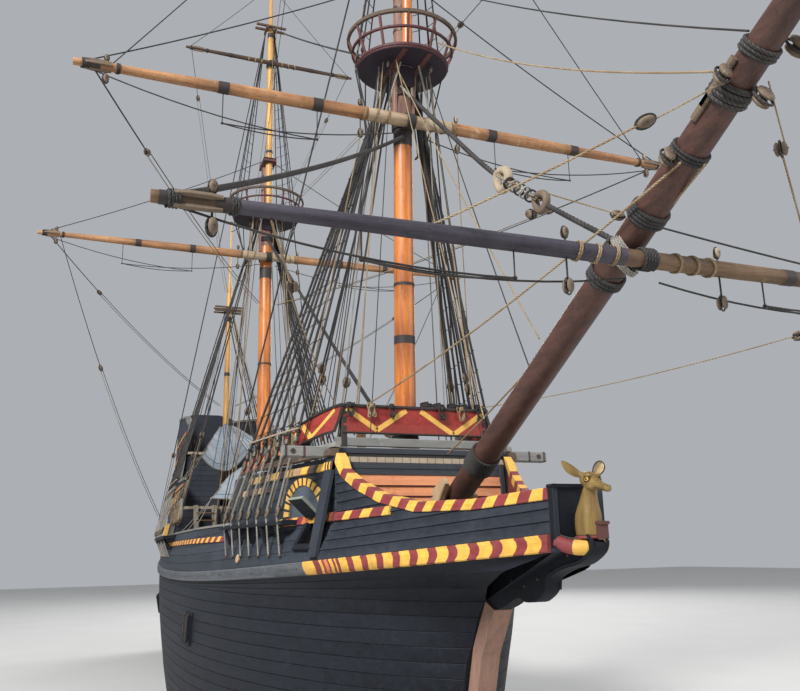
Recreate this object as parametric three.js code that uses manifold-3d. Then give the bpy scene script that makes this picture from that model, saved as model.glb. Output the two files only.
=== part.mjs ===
// Three-masted wooden galleon, afloat, at full size in millimetres.
// X runs forward, Y to port and Z up. The origin is amidships on the centreline, at the waterline.
import * as THREE from "three";
import { mergeVertices } from "three/addons/utils/BufferGeometryUtils.js";
import Module from "manifold-3d";

const wasm = await Module();
wasm.setup();

// Gaps
const SEAT = 0.3;
const SIDE_GAP = 0.5;
const PIN_GAP = 0.4;
const DECK_MARGIN = 35;
const ROUND_SIDES = 24;

// Hull
const KEEL_Z = -4000;
const KEEL_HALF = 150;
const KEEL_DEPTH = 330;
const MIDSHIP_X = 2000;
const SHEER_LOW_Z = 3180;
const SHEER_CURVE = 2.4e-6;
const WALE_DEPTH = 220;
const WALE_PROUD = 70;
const STERN_X = -12400;
const BEAK_HEAD_X = 15450;
const PLANK_WALL = 120;

// Decks and castles
const CASTLE_FRONT_X = 10900;
const CASTLE_AFT_X = 6000;
const CASTLE_DECK_Z = 5180;
const HALF_DECK_X = -4400;
const HALF_DECK_Z = 5180;
const POOP_X = -8600;
const POOP_DECK_Z = 7500;
const WAIST_RAIL_Z = 4250;
const DECK_THICK = 90;
const BULKHEAD_THICK = 80;
const TRANSOM_THICK = 120;
const TAFFRAIL_Z = 9900;

// Masts and spars
const FOREMAST_X = 9680;
const MAINMAST_X = -2510;
const MIZZEN_X = -10100;
const BOWSPRIT_HEEL = [10700, 0, 3700];
const BOWSPRIT_STEEVE = THREE.MathUtils.degToRad(28);
const BOWSPRIT_LENGTH = 10900;
const SPRITSAIL_CROSSING = 7200;
const FOREMAST_RAKE = THREE.MathUtils.degToRad(2);
const MAINMAST_RAKE = THREE.MathUtils.degToRad(-1.5);

// One water level of the hull: half-breadths aft, amidships and forward, and how full the ends are.
// z, aft end x, aft half, middle half, fore end x, fore half, bow power, bow bluntness, run power
const LEVELS = [
  [-4000, -9600, 150, 155, 8400, 150, 2.0, 1.0, 2.0],
  [-3700, -9710, 150, 1050, 9300, 150, 1.9, 1.0, 1.5],
  [-3200, -9893, 150, 1800, 10100, 150, 1.9, 0.95, 1.5],
  [-2400, -10186, 150, 2450, 10850, 150, 2.0, 0.9, 1.6],
  [-1200, -10625, 220, 2930, 11550, 150, 2.0, 0.85, 1.8],
  [0, -11064, 560, 3120, 12050, 150, 2.1, 0.8, 2.0],
  [1200, -11503, 1150, 3180, 12400, 150, 2.2, 0.77, 2.3],
  [2200, -11870, 1600, 3130, 12750, 150, 2.3, 0.75, 2.6],
  [2850, -12108, 1850, 3080, 13200, 160, 2.4, 0.8, 2.6],
  [3450, -12362, 1980, 3000, 15500, 330, 2.4, 1.0, 2.6],
  [4120, -12643, 1930, 2860, 15500, 320, 1.9, 1.0, 2.5],
  [5100, -13055, 1800, 2640, 14300, 500, 2.5, 1.0, 2.4],
  [6150, -13496, 1660, 2300, 14000, 350, 2.4, 1.0, 2.3],
  [7500, -14063, 1500, 2050, 14000, 300, 2.4, 1.0, 2.2],
  [10200, -15197, 1220, 1650, 14000, 300, 2.4, 1.0, 2.2],
];

// Frame stations along the sheer, from the transom to the beak head.
const STATIONS = [
  STERN_X, -10500, POOP_X, -6400, HALF_DECK_X, -2000, 500, 3200, CASTLE_AFT_X, 7500, 9200, 10250,
  CASTLE_FRONT_X, 11500, 12100, 13000, 14200, BEAK_HEAD_X,
];

function levelHalf(level, x) {
  const [, aftX, aftHalf, midHalf, foreX, foreHalf, bowPower, bluntness, runPower] = level;
  if (x >= MIDSHIP_X) {
    const t = Math.min((x - MIDSHIP_X) / (foreX - MIDSHIP_X), 1);
    return foreHalf + (midHalf - foreHalf) * (1 - t ** bowPower) ** bluntness;
  }
  const t = Math.min((MIDSHIP_X - x) / (MIDSHIP_X - aftX), 1);
  return aftHalf + (midHalf - aftHalf) * (1 - t ** runPower);
}

function bracket(z) {
  let k = 0;
  while (k < LEVELS.length - 2 && z > LEVELS[k + 1][0]) k += 1;
  const share = THREE.MathUtils.clamp((z - LEVELS[k][0]) / (LEVELS[k + 1][0] - LEVELS[k][0]), 0, 1);
  return [LEVELS[k], LEVELS[k + 1], share];
}

// Half-breadth of the ship's outer skin.
function halfAt(x, z) {
  const [low, high, share] = bracket(z);
  return THREE.MathUtils.lerp(levelHalf(low, x), levelHalf(high, x), share);
}

function endX(z, column) {
  const [low, high, share] = bracket(z);
  return THREE.MathUtils.lerp(low[column], high[column], share);
}

const aftX = (z) => endX(z, 1);
const foreX = (z) => endX(z, 4);

const sheerCurve = (x) => SHEER_LOW_Z + SHEER_CURVE * x * x;

// Height of the solid hull's top, straight between two stations.
function sheerAt(x) {
  let k = 0;
  while (k < STATIONS.length - 2 && x > STATIONS[k + 1]) k += 1;
  const share = (x - STATIONS[k]) / (STATIONS[k + 1] - STATIONS[k]);
  return THREE.MathUtils.lerp(sheerCurve(STATIONS[k]), sheerCurve(STATIONS[k + 1]), share);
}

// Straight line between the points of a short table of pairs.
function alongTable(table, x) {
  let k = 0;
  while (k < table.length - 2 && x > table[k + 1][0]) k += 1;
  const share = (x - table[k][0]) / (table[k + 1][0] - table[k][0]);
  return THREE.MathUtils.lerp(table[k][1], table[k + 1][1], THREE.MathUtils.clamp(share, 0, 1));
}

// Meshes from points

function signedVolume(points, faces) {
  let total = 0;
  for (const [a, b, c] of faces) {
    const [p, q, r] = [a, b, c].map((i) => new THREE.Vector3(...points[i]));
    total += p.dot(q.cross(r));
  }
  return total / 6;
}

function closedGeometry(points, faces) {
  const outward = signedVolume(points, faces) > 0 ? faces : faces.map(([a, b, c]) => [a, c, b]);
  const geometry = new THREE.BufferGeometry();
  geometry.setAttribute("position", new THREE.Float32BufferAttribute(points.flat(), 3));
  geometry.setIndex(outward.flat());
  return geometry;
}

// A closed skin through stations. Each station is two lists of points, left and right, of one length.
function loftBetween(stations) {
  const n = stations[0].left.length;
  const points = stations.flatMap((s) => [...s.left, ...s.right]);
  const faces = [];
  const quad = (a, b, c, d) => faces.push([a, b, c], [a, c, d]);
  for (let s = 0; s < stations.length - 1; s += 1) {
    const here = s * 2 * n;
    const next = here + 2 * n;
    for (let j = 0; j < n - 1; j += 1) {
      quad(here + j, here + j + 1, next + j + 1, next + j);
      quad(here + n + j, next + n + j, next + n + j + 1, here + n + j + 1);
    }
    quad(here + n, here, next, next + n);
    quad(here + n - 1, here + 2 * n - 1, next + 2 * n - 1, next + n - 1);
  }
  const last = (stations.length - 1) * 2 * n;
  for (let j = 0; j < n - 1; j += 1) {
    quad(j, n + j, n + j + 1, j + 1);
    quad(last + n + j, last + j, last + j + 1, last + n + j + 1);
  }
  return closedGeometry(points, faces);
}

// The same surface with nothing but its corners, and each corner once.
function bare(geometry) {
  const corners = geometry.clone();
  corners.deleteAttribute("normal");
  corners.deleteAttribute("uv");
  return mergeVertices(corners, 0.001);
}

function toSolid(geometry) {
  const merged = bare(geometry);
  return new wasm.Manifold(new wasm.Mesh({
    numProp: 3,
    vertProperties: new Float32Array(merged.attributes.position.array),
    triVerts: new Uint32Array(merged.index.array),
  }));
}

function toGeometry(solid) {
  const mesh = solid.getMesh();
  const geometry = new THREE.BufferGeometry();
  const points = [];
  for (let i = 0; i < mesh.numVert; i += 1) {
    for (let k = 0; k < 3; k += 1) points.push(mesh.vertProperties[i * mesh.numProp + k]);
  }
  geometry.setAttribute("position", new THREE.Float32BufferAttribute(points, 3));
  geometry.setIndex(new THREE.BufferAttribute(new Uint32Array(mesh.triVerts), 1));
  return geometry;
}

function joined(...geometries) {
  return toGeometry(geometries.slice(1).reduce((sum, g) => sum.add(toSolid(g)), toSolid(geometries[0])));
}

function cut(geometry, ...tools) {
  return toGeometry(tools.reduce((left, tool) => left.subtract(toSolid(tool)), toSolid(geometry)));
}

function block(x0, x1, y0, y1, z0, z1) {
  const box = new THREE.BoxGeometry(x1 - x0, y1 - y0, z1 - z0);
  return box.translate((x0 + x1) / 2, (y0 + y1) / 2, (z0 + z1) / 2);
}

// A turned shape about Z from pairs of radius and height.
function turned(pairs, sides = ROUND_SIDES) {
  return new THREE.LatheGeometry(pairs.map(([r, z]) => new THREE.Vector2(r, z)), sides).rotateX(Math.PI / 2);
}

// A ring about Z with a rectangular section.
function ring(inner, outer, z0, z1, sides = ROUND_SIDES) {
  return turned([[inner, z0], [outer, z0], [outer, z1], [inner, z1], [inner, z0]], sides);
}

function pole(pairs, sides = ROUND_SIDES) {
  const [first, last] = [pairs[0], pairs[pairs.length - 1]];
  return turned([[0, first[1]], ...pairs, [0, last[1]]], sides);
}

const UPWARD = new THREE.Vector3(0, 0, 1);

// A plank or bar between two points, with its section width across Y.
function bar(from, to, width, depth) {
  const a = new THREE.Vector3(...from);
  const b = new THREE.Vector3(...to);
  const along = b.clone().sub(a);
  const geometry = new THREE.BoxGeometry(width, depth, along.length());
  const turn = new THREE.Quaternion().setFromUnitVectors(UPWARD, along.clone().normalize());
  return geometry.applyQuaternion(turn).translate((a.x + b.x) / 2, (a.y + b.y) / 2, (a.z + b.z) / 2);
}

// Materials

const PAINT = {
  tarred: [0x24262c, 0.75],
  bare: [0x8a7460, 0.85],
  red: [0x96322d, 0.6],
  yellow: [0xe1af3c, 0.6],
  deck: [0xa9977c, 0.85],
  varnish: [0xcd7d32, 0.35],
  weathered: [0x8f6038, 0.7],
  purple: [0x5a4640, 0.7],
  spar: [0x5f4137, 0.6],
  grey: [0x77756c, 0.8],
  maroon: [0x3a2428, 0.7],
  khaki: [0x967d41, 0.6],
  clapboard: [0xd78255, 0.6],
  cloth: [0x78828f, 0.95],
};

const ship = new THREE.Group();

function add(name, paint, geometry, place = null) {
  const [color, roughness] = PAINT[paint];
  const mesh = new THREE.Mesh(geometry, new THREE.MeshStandardMaterial({ color, roughness, metalness: 0 }));
  mesh.name = name;
  if (place) place(mesh);
  ship.add(mesh);
  return mesh;
}

const SIDES = [["starboard", -1], ["port", 1]];

// Hull

function hullStation(sheerX) {
  const share = (sheerX - STERN_X) / (BEAK_HEAD_X - STERN_X);
  const top = sheerCurve(sheerX);
  const heights = [...LEVELS.slice(0, 9).map((level) => level[0]), top - WALE_DEPTH, top];
  const left = heights.map((z) => {
    const x = z > LEVELS[8][0] ? sheerX : THREE.MathUtils.lerp(aftX(z), foreX(z), share);
    return [x, halfAt(x, z), z];
  });
  return { left, right: left.map(([x, y, z]) => [x, -y, z]) };
}

// Gunports a side: middle x and z of the opening, its width and height, how far its frame stands out of
// the skin, and how far its lid stands open.
const LOWER_PORTS = [
  { x: 3900, z: 1950, width: 560, height: 500, proud: 45, open: 0 },
  { x: -6600, z: 1980, width: 560, height: 500, proud: 45, open: 0 },
];
const CASTLE_PORT = {
  x: 10330, z: 3890, width: 450, height: 420, proud: 75, open: THREE.MathUtils.degToRad(100),
};
const PORT_DEPTH = 700;
const FRAME_WIDTH = 110;
const FRAME_DEPTH = 200;
const LID_THICK = 50;
const LID_GAP = 6;
const LID_LAP = 30;
const KNUCKLE = 25;

// Places a shape drawn about the origin, with its face toward +Y, on the ship's skin.
function onSkin(geometry, { x, z }, side) {
  const step = 150;
  const slopeX = (halfAt(x + step, z) - halfAt(x - step, z)) / (2 * step);
  const slopeZ = (halfAt(x, z + step) - halfAt(x, z - step)) / (2 * step);
  const yaw = Math.atan(slopeX);
  const lean = -Math.atan(slopeZ);
  geometry.rotateX(lean).rotateZ(yaw).translate(x, halfAt(x, z), z);
  return side < 0 ? mirrored(geometry) : geometry;
}

function mirrored(geometry) {
  const index = Array.from(geometry.index.array);
  const flipped = geometry.clone().scale(1, -1, 1);
  for (let i = 0; i < index.length; i += 3) [index[i + 1], index[i + 2]] = [index[i + 2], index[i + 1]];
  flipped.setIndex(index);
  return flipped;
}

const boxAt = (w, d, h, x, y, z) => new THREE.BoxGeometry(w, d, h).translate(x, y, z);

function portFrame({ width, height, proud }) {
  const rim = 2 * FRAME_WIDTH;
  return boxAt(width + rim, FRAME_DEPTH, height + rim, 0, proud - FRAME_DEPTH / 2, 0);
}

function portHole({ width, height, proud }) {
  return boxAt(width, PORT_DEPTH, height, 0, proud + 50 - PORT_DEPTH / 2, 0);
}

// The lid is drawn about its hinge line, closed, then swung open and carried to the top of its port.
function portLid({ width, height, proud, open }) {
  const lap = width + 2 * LID_LAP;
  const plateY = LID_GAP + LID_THICK / 2 - KNUCKLE - PIN_GAP;
  const plate = boxAt(lap, LID_THICK, height + 2 * LID_LAP, 0, plateY, -height / 2 - LID_LAP - KNUCKLE);
  const knuckle = new THREE.CylinderGeometry(KNUCKLE, KNUCKLE, lap * 0.8, 16).rotateZ(Math.PI / 2);
  const strap = boxAt(lap * 0.8, KNUCKLE, KNUCKLE * 2, 0, KNUCKLE / 2, -KNUCKLE);
  return joined(plate, knuckle, strap).rotateX(open)
    .translate(0, proud + KNUCKLE + PIN_GAP, height / 2 + LID_LAP + KNUCKLE);
}

function hullBody() {
  let hull = toSolid(loftBetween(STATIONS.map(hullStation)));
  for (const [, side] of SIDES) {
    for (const port of LOWER_PORTS) {
      hull = hull.add(toSolid(onSkin(portFrame(port), port, side)));
      hull = hull.subtract(toSolid(onSkin(portHole(port), port, side)));
    }
  }
  return toGeometry(hull);
}

add("hull", "tarred", hullBody());

for (const [name, side] of SIDES) {
  LOWER_PORTS.forEach((port, i) => {
    add(`gunport_lid_${name}_${i + 1}`, "tarred", onSkin(portLid(port), port, side));
  });
}

// Keel, stem and sternpost: one backbone around the hull's lower edge

const SKIN_LEVELS = LEVELS.slice(0, 9);

function outlineSlab(pairs, halfWidth) {
  const shape = new THREE.Shape(pairs.map(([x, z]) => new THREE.Vector2(x, z)));
  const slab = new THREE.ExtrudeGeometry(shape, { depth: halfWidth * 2, bevelEnabled: false });
  return bare(slab.translate(0, 0, -halfWidth).rotateX(Math.PI / 2));
}

const STEM_DEPTH = 270;
const POST_DEPTH = 330;
const STERNPOST_HEAD = SKIN_LEVELS[8][0];

function backbone() {
  const low = KEEL_Z - KEEL_DEPTH;
  const [firstLevel] = SKIN_LEVELS;
  const stemFace = SKIN_LEVELS.map((level) => [level[4] + STEM_DEPTH, level[0] - STEM_DEPTH * 0.4]);
  const stemSeat = SKIN_LEVELS.map((level) => [level[4] + SIDE_GAP, level[0]]);
  const postSeat = SKIN_LEVELS.map((level) => [level[1] - SIDE_GAP, level[0]]);
  const postFace = [...postSeat].reverse().map(([x, z]) => [x - POST_DEPTH, z]);
  stemSeat[0][1] -= SIDE_GAP;
  postSeat[0][1] -= SIDE_GAP;
  return outlineSlab([
    ...postFace, [firstLevel[1] - POST_DEPTH, low], [firstLevel[4], low], ...stemFace.slice(1),
    ...[...stemSeat].reverse(), ...postSeat,
  ], KEEL_HALF);
}

add("keel_stem_and_sternpost", "bare", backbone());

const KNEE_HALF = 110;
const KNEE_TOP = 3690;

// Knee of the head, under the beak, with the lump of its lower scroll: x and z.
const KNEE_OUTLINE = [
  [13470, 2743], [13700, 2800], [14100, 2950], [14260, 2880], [14560, 2900], [14830, 3030], [14860, 3200], [15250, 3330],
  [15650, 3390], [15900, 3500], [15960, 3620], [15850, KNEE_TOP], [15560, 3680],
];

const HEAD_BOARD_HALF = 370;
const HEAD_BOARD_THICK = 95;
const HEAD_BOARD_LOW = 3540;
const HEAD_BOARD_TOP = 4350;

// The knee carries the board that closes the beak's fore end.
function knee() {
  const seat = [[BEAK_HEAD_X + 10, 3530], [13220, 2855], [13220, 2843]];
  const timber = outlineSlab([...KNEE_OUTLINE, ...seat], KNEE_HALF);
  const boardX = BEAK_HEAD_X + SIDE_GAP;
  const board = block(
    boardX, boardX + HEAD_BOARD_THICK, -HEAD_BOARD_HALF, HEAD_BOARD_HALF, HEAD_BOARD_LOW, HEAD_BOARD_TOP,
  );
  return joined(timber, board);
}

add("knee_of_the_head", "tarred", knee());

// Rudder

const RUDDER_AXIS_BACK = POST_DEPTH + SIDE_GAP;
const RUDDER_ROUND = 80;
const RUDDER_THICK = 150;

// The rudder hangs on a raked line behind the sternpost, and is drawn upright about that line.
function rudderPlace(mesh) {
  const [low, high] = [SKIN_LEVELS[0], SKIN_LEVELS[8]];
  const rake = Math.atan2(high[1] - low[1], high[0] - low[0]);
  const back = (RUDDER_AXIS_BACK * Math.cos(rake) + RUDDER_ROUND + PIN_GAP) / Math.cos(rake);
  mesh.position.set(low[1] - back, 0, low[0]);
  mesh.rotation.y = rake;
}

function rudder() {
  const blade = outlineSlab([
    [0, 60], [-1050, 60], [-1080, 400], [-760, 3400], [-640, 4700], [-470, 5200], [-430, 6900], [0, 6900],
  ], RUDDER_THICK / 2);
  const stock = pole([[RUDDER_ROUND, 60], [RUDDER_ROUND, 6900]]);
  return joined(blade, stock);
}

add("rudder", "tarred", rudder(), rudderPlace);

// Wales and side planking

function between(x0, x1, extra = []) {
  const inner = [...STATIONS, ...extra].filter((x) => x > x0 + 60 && x < x1 - 60);
  return [x0, ...inner.sort((a, b) => a - b), x1];
}

// A strake or wall that follows the ship's side: rows of points from low to high, outer and inner.
function sideWall({ x0, x1, low, high, side, thick, proud = 0, rows = 5, raked = false, extra = [] }) {
  const stations = between(x0, x1, extra).map((x) => {
    const left = [];
    const right = [];
    for (let j = 0; j < rows; j += 1) {
      const z = THREE.MathUtils.lerp(low(x), high(x), j / (rows - 1));
      const px = raked && x === x0 ? aftX(z) : x;
      const y = halfAt(px, z) + proud;
      left.push([px, side * y, z]);
      right.push([px, side * (y - thick), z]);
    }
    return { left, right };
  });
  return loftBetween(stations);
}

for (const [name, side] of SIDES) {
  add(`wale_${name}`, "grey", sideWall({
    x0: STERN_X, x1: BEAK_HEAD_X, side, rows: 2, thick: WALE_PROUD, proud: WALE_PROUD + SIDE_GAP,
    low: (x) => sheerAt(x) - WALE_DEPTH, high: (x) => sheerAt(x),
  }));
}

// Top edge of the beak's side, which sweeps up to the forecastle: x and z.
const BEAK_EDGE = [
  [10900, 5060], [11100, 4810], [11500, 4570], [12100, 4330], [13000, 4140], [14200, 4110], [15450, 4170],
];
const BEAK_WALL = 90;
const BEAK_RAIL_HEIGHT = 150;
const BEAK_RAIL_PROUD = 35;
const beakEdge = (x) => alongTable(BEAK_EDGE, x);

function beakRailTop(x) {
  const slope = (beakEdge(x + 50) - beakEdge(x - 50)) / 100;
  return beakEdge(x) + SEAT + BEAK_RAIL_HEIGHT * Math.hypot(1, slope);
}

const beakPoints = BEAK_EDGE.map(([x]) => x);

for (const [name, side] of SIDES) {
  add(`beak_side_${name}`, "tarred", sideWall({
    x0: CASTLE_FRONT_X + SIDE_GAP, x1: BEAK_HEAD_X, side, thick: BEAK_WALL, extra: beakPoints,
    low: (x) => sheerAt(x) + SEAT, high: beakEdge,
  }));
  add(`beak_rail_${name}`, "yellow", sideWall({
    x0: CASTLE_FRONT_X + SIDE_GAP, x1: BEAK_HEAD_X, side, rows: 2, extra: beakPoints,
    thick: BEAK_WALL + 2 * BEAK_RAIL_PROUD, proud: BEAK_RAIL_PROUD,
    low: (x) => beakEdge(x) + SEAT, high: beakRailTop,
  }));
}

const PLATFORM_THICK = 70;

function beakPlatform() {
  const stations = between(CASTLE_FRONT_X + 60, BEAK_HEAD_X - 40).map((x) => {
    const low = sheerAt(x) + SEAT;
    const y = halfAt(x, low + PLATFORM_THICK) - BEAK_WALL - DECK_MARGIN;
    return {
      left: [[x, y, low], [x, y, low + PLATFORM_THICK]],
      right: [[x, -y, low], [x, -y, low + PLATFORM_THICK]],
    };
  });
  return loftBetween(stations);
}

add("beak_platform", "deck", beakPlatform());

// Castles

function bulkhead(x0, x1, zHigh, wall = PLANK_WALL) {
  const low = Math.max(sheerAt(x0), sheerAt(x1)) + SEAT;
  const heights = [0, 0.25, 0.5, 0.75, 1].map((share) => THREE.MathUtils.lerp(low, zHigh, share));
  const stations = [x0, x1].map((x) => {
    const left = heights.map((z) => [x, Math.min(halfAt(x0, z), halfAt(x1, z)) - wall - DECK_MARGIN, z]);
    return { left, right: left.map(([a, b, c]) => [a, -b, c]) };
  });
  return loftBetween(stations);
}

function deckPlate(x0, x1, top, aftRaked = false) {
  const stations = between(x0, x1).map((x) => {
    const left = [top - DECK_THICK, top].map((z) => {
      const px = aftRaked && x === x0 ? aftX(z) + SIDE_GAP : x;
      return [px, halfAt(px, z) - PLANK_WALL - DECK_MARGIN, z];
    });
    return { left, right: left.map(([a, b, c]) => [a, -b, c]) };
  });
  return loftBetween(stations);
}

const DOOR_WIDTH = 820;
const DOOR_HEIGHT = 1560;
const DOOR_THICK = 50;
const DOOR_KNUCKLE = 20;
const DOOR_SILL = 60;
const DOOR_EDGE_GAP = 8;

// A doorway with its left edge, seen from outside, at y0. The jamb beside the hinge just clears the knuckle.
function doorway(x0, x1, y0, sill) {
  const hingeJamb = y0 - DOOR_KNUCKLE - PIN_GAP;
  return block(x0 - 100, x1 + 100, hingeJamb, y0 + DOOR_WIDTH + DOOR_EDGE_GAP, sill, sill + DOOR_HEIGHT);
}

// The door is drawn about its hinge line, closed, with its leaf along +Y and its outer face at x = 0.
function door(outward) {
  const low = DOOR_EDGE_GAP;
  const high = DOOR_HEIGHT - DOOR_EDGE_GAP;
  const inner = -outward * DOOR_THICK;
  const leaf = block(Math.min(0, inner), Math.max(0, inner), 0, DOOR_WIDTH, low, high);
  return joined(leaf, pole([[DOOR_KNUCKLE, low], [DOOR_KNUCKLE, high]], 20));
}

const mastHole = (x, radius) => pole([[radius, 0], [radius, 9000]], 24).translate(x, 0, 0);

const BOWSPRIT_RADIUS = 200;
const bowspritRadii = [[BOWSPRIT_RADIUS, 0], [192, 6000], [185, 8500], [140, BOWSPRIT_LENGTH]];

function bowspritPlace(geometry) {
  return geometry.rotateY(Math.PI / 2 - BOWSPRIT_STEEVE).translate(...BOWSPRIT_HEEL);
}

// Forecastle

const CASTLE_WALL = {
  x0: CASTLE_AFT_X + SIDE_GAP, x1: CASTLE_FRONT_X, low: (x) => sheerAt(x) + SEAT, high: () => CASTLE_DECK_Z,
};

function castleSide(side) {
  const wall = sideWall({ ...CASTLE_WALL, side, thick: PLANK_WALL });
  const framed = joined(wall, onSkin(portFrame(CASTLE_PORT), CASTLE_PORT, side));
  return cut(framed, onSkin(portHole(CASTLE_PORT), CASTLE_PORT, side));
}

for (const [name, side] of SIDES) add(`forecastle_side_${name}`, "tarred", castleSide(side));

function bowspritClear() {
  const radius = BOWSPRIT_RADIUS + PIN_GAP;
  return bowspritPlace(pole([[radius, -200], [radius, 3000]]));
}

const UNDER_CASTLE_DECK = CASTLE_DECK_Z - DECK_THICK - SEAT;
add("forecastle_front_bulkhead", "clapboard", cut(
  bulkhead(CASTLE_FRONT_X - BULKHEAD_THICK, CASTLE_FRONT_X, UNDER_CASTLE_DECK), bowspritClear(),
));

const AFT_DOOR = {
  x: CASTLE_AFT_X + SIDE_GAP, y: -400, sill: sheerAt(CASTLE_AFT_X + BULKHEAD_THICK) + DOOR_SILL,
};
add("forecastle_aft_bulkhead", "red", cut(
  bulkhead(AFT_DOOR.x, AFT_DOOR.x + BULKHEAD_THICK, UNDER_CASTLE_DECK),
  doorway(AFT_DOOR.x, AFT_DOOR.x + BULKHEAD_THICK, AFT_DOOR.y, AFT_DOOR.sill),
));
add("forecastle_door", "red", door(-1), (mesh) => mesh.position.set(AFT_DOOR.x, AFT_DOOR.y, AFT_DOOR.sill));

add("forecastle_deck", "deck", cut(
  deckPlate(CASTLE_AFT_X + SIDE_GAP, CASTLE_FRONT_X - 10, CASTLE_DECK_Z), mastHole(FOREMAST_X + 180, 250),
));

// Painted breastwork around the forecastle deck: top and lower edge of its side, and its posts.
const BREAST_FRONT_X = 10450;
const BREAST_AFT_X = 6250;
const BREAST_TOP_Z = 6150;
const BREAST_DEPTH = 490;
const BREAST_WALL = 60;
const POST = 110;
const BREAST_FALL = 600;
const BREAST_BEAM = { low: 5440, high: 5580, deep: 50 };
const BREAST_POSTS = [BREAST_FRONT_X - POST / 2 - 12, 9100, 7700, BREAST_AFT_X + POST / 2 + 12];

function breastTop(x) {
  const share = THREE.MathUtils.smoothstep(BREAST_FRONT_X - x, 0, BREAST_FRONT_X - BREAST_AFT_X);
  return BREAST_TOP_Z - BREAST_FALL * share;
}

const breastLow = (x) => Math.max(breastTop(x) - BREAST_DEPTH, CASTLE_DECK_Z + 60);

function breastwork() {
  const pieces = [];
  for (const [, side] of SIDES) {
    pieces.push(sideWall({
      x0: BREAST_AFT_X, x1: BREAST_FRONT_X, side, thick: BREAST_WALL, rows: 3,
      low: breastLow, high: breastTop,
    }));
    for (const x of BREAST_POSTS) {
      const y = side * (halfAt(x, breastTop(x)) - POST / 2 - 22);
      const high = breastTop(x) + 40;
      pieces.push(block(x - POST / 2, x + POST / 2, y - POST / 2, y + POST / 2, CASTLE_DECK_Z + SEAT, high));
    }
  }
  const half = halfAt(BREAST_FRONT_X, BREAST_TOP_Z) - 45;
  const frontX = BREAST_FRONT_X - BREAST_WALL - 15;
  const boardLow = BREAST_TOP_Z - BREAST_DEPTH + 10;
  const { low, high, deep } = BREAST_BEAM;
  pieces.push(block(frontX, BREAST_FRONT_X - 15, -half, half, boardLow, BREAST_TOP_Z - 8));
  pieces.push(block(frontX - deep, BREAST_FRONT_X - 25, -half, half, low, high));
  return joined(...pieces);
}

add("forecastle_breastwork", "red", breastwork());

const CATHEAD = { x0: 10500, x1: 10700, half: 2570, thick: 190 };
add("cathead_beam", "weathered", block(
  CATHEAD.x0, CATHEAD.x1, -CATHEAD.half, CATHEAD.half, CASTLE_DECK_Z + SEAT, CASTLE_DECK_Z + CATHEAD.thick,
));

// The lids of the forecastle ports hang open.
for (const [name, side] of SIDES) {
  add(`forecastle_port_lid_${name}`, "tarred", onSkin(portLid(CASTLE_PORT), CASTLE_PORT, side));
}

// Waist and after castle

const WAIST_WALL = {
  x0: HALF_DECK_X + SIDE_GAP, x1: CASTLE_AFT_X, low: (x) => sheerAt(x) + SEAT, high: () => WAIST_RAIL_Z,
};

for (const [name, side] of SIDES) {
  add(`waist_side_${name}`, "tarred", sideWall({ ...WAIST_WALL, side, thick: PLANK_WALL }));
}

// Top of the after castle's side, which steps up at the poop: x and z.
const AFTER_EDGE = [[STERN_X, 9750], [POOP_X - 2, 8650], [POOP_X, 6350], [HALF_DECK_X, 6150]];
const AFTER_WALL = {
  x0: STERN_X, x1: HALF_DECK_X, rows: 7, raked: true, extra: [POOP_X - 2],
  low: (x) => sheerAt(x) + SEAT, high: (x) => alongTable(AFTER_EDGE, x),
};
const MIZZEN_CHANNEL_Z = 5250;
const CHANNEL_THICK = 90;
const CHANNEL_BITE = 60;

// A channel follows the side and stands out from it; its inner edge bites into the planking.
function channel(x0, x1, z, reach, side) {
  return sideWall({
    x0, x1, side, rows: 2, thick: reach + CHANNEL_BITE, proud: reach,
    low: () => z, high: () => z + CHANNEL_THICK,
  });
}

for (const [name, side] of SIDES) {
  const wall = sideWall({ ...AFTER_WALL, side, thick: PLANK_WALL });
  const mizzenChannel = channel(-11500, -9500, MIZZEN_CHANNEL_Z, 260, side);
  add(`after_castle_side_${name}`, "tarred", joined(wall, mizzenChannel));
}

function transom() {
  const rows = [3540, 5100, 6150, 7500, 8600, 9750].map((z) => [z, halfAt(aftX(z), z)]);
  const topHalf = rows[rows.length - 1][1];
  rows.push([TAFFRAIL_Z, topHalf * 0.82], [TAFFRAIL_Z + 130, topHalf * 0.45]);
  const stations = [SIDE_GAP, SIDE_GAP + TRANSOM_THICK].map((back) => ({
    left: rows.map(([z, y]) => [aftX(z) - back, y, z]),
    right: rows.map(([z, y]) => [aftX(z) - back, -y, z]),
  }));
  return loftBetween(stations);
}

add("transom", "tarred", transom());

const HALF_DOOR = {
  x: HALF_DECK_X - SIDE_GAP, y: 500, sill: sheerAt(HALF_DECK_X - BULKHEAD_THICK) + DOOR_SILL,
};
add("half_deck_bulkhead", "red", cut(
  bulkhead(HALF_DOOR.x - BULKHEAD_THICK, HALF_DOOR.x, HALF_DECK_Z - DECK_THICK - SEAT),
  doorway(HALF_DOOR.x - BULKHEAD_THICK, HALF_DOOR.x, HALF_DOOR.y, HALF_DOOR.sill),
));
add("half_deck_door", "red", door(1), (mesh) => mesh.position.set(HALF_DOOR.x, HALF_DOOR.y, HALF_DOOR.sill));

const MIZZEN_HOLE = 165;
add("half_deck", "deck", cut(
  deckPlate(STERN_X, HALF_DECK_X - SIDE_GAP, HALF_DECK_Z, true), mastHole(MIZZEN_X, MIZZEN_HOLE),
));

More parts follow.
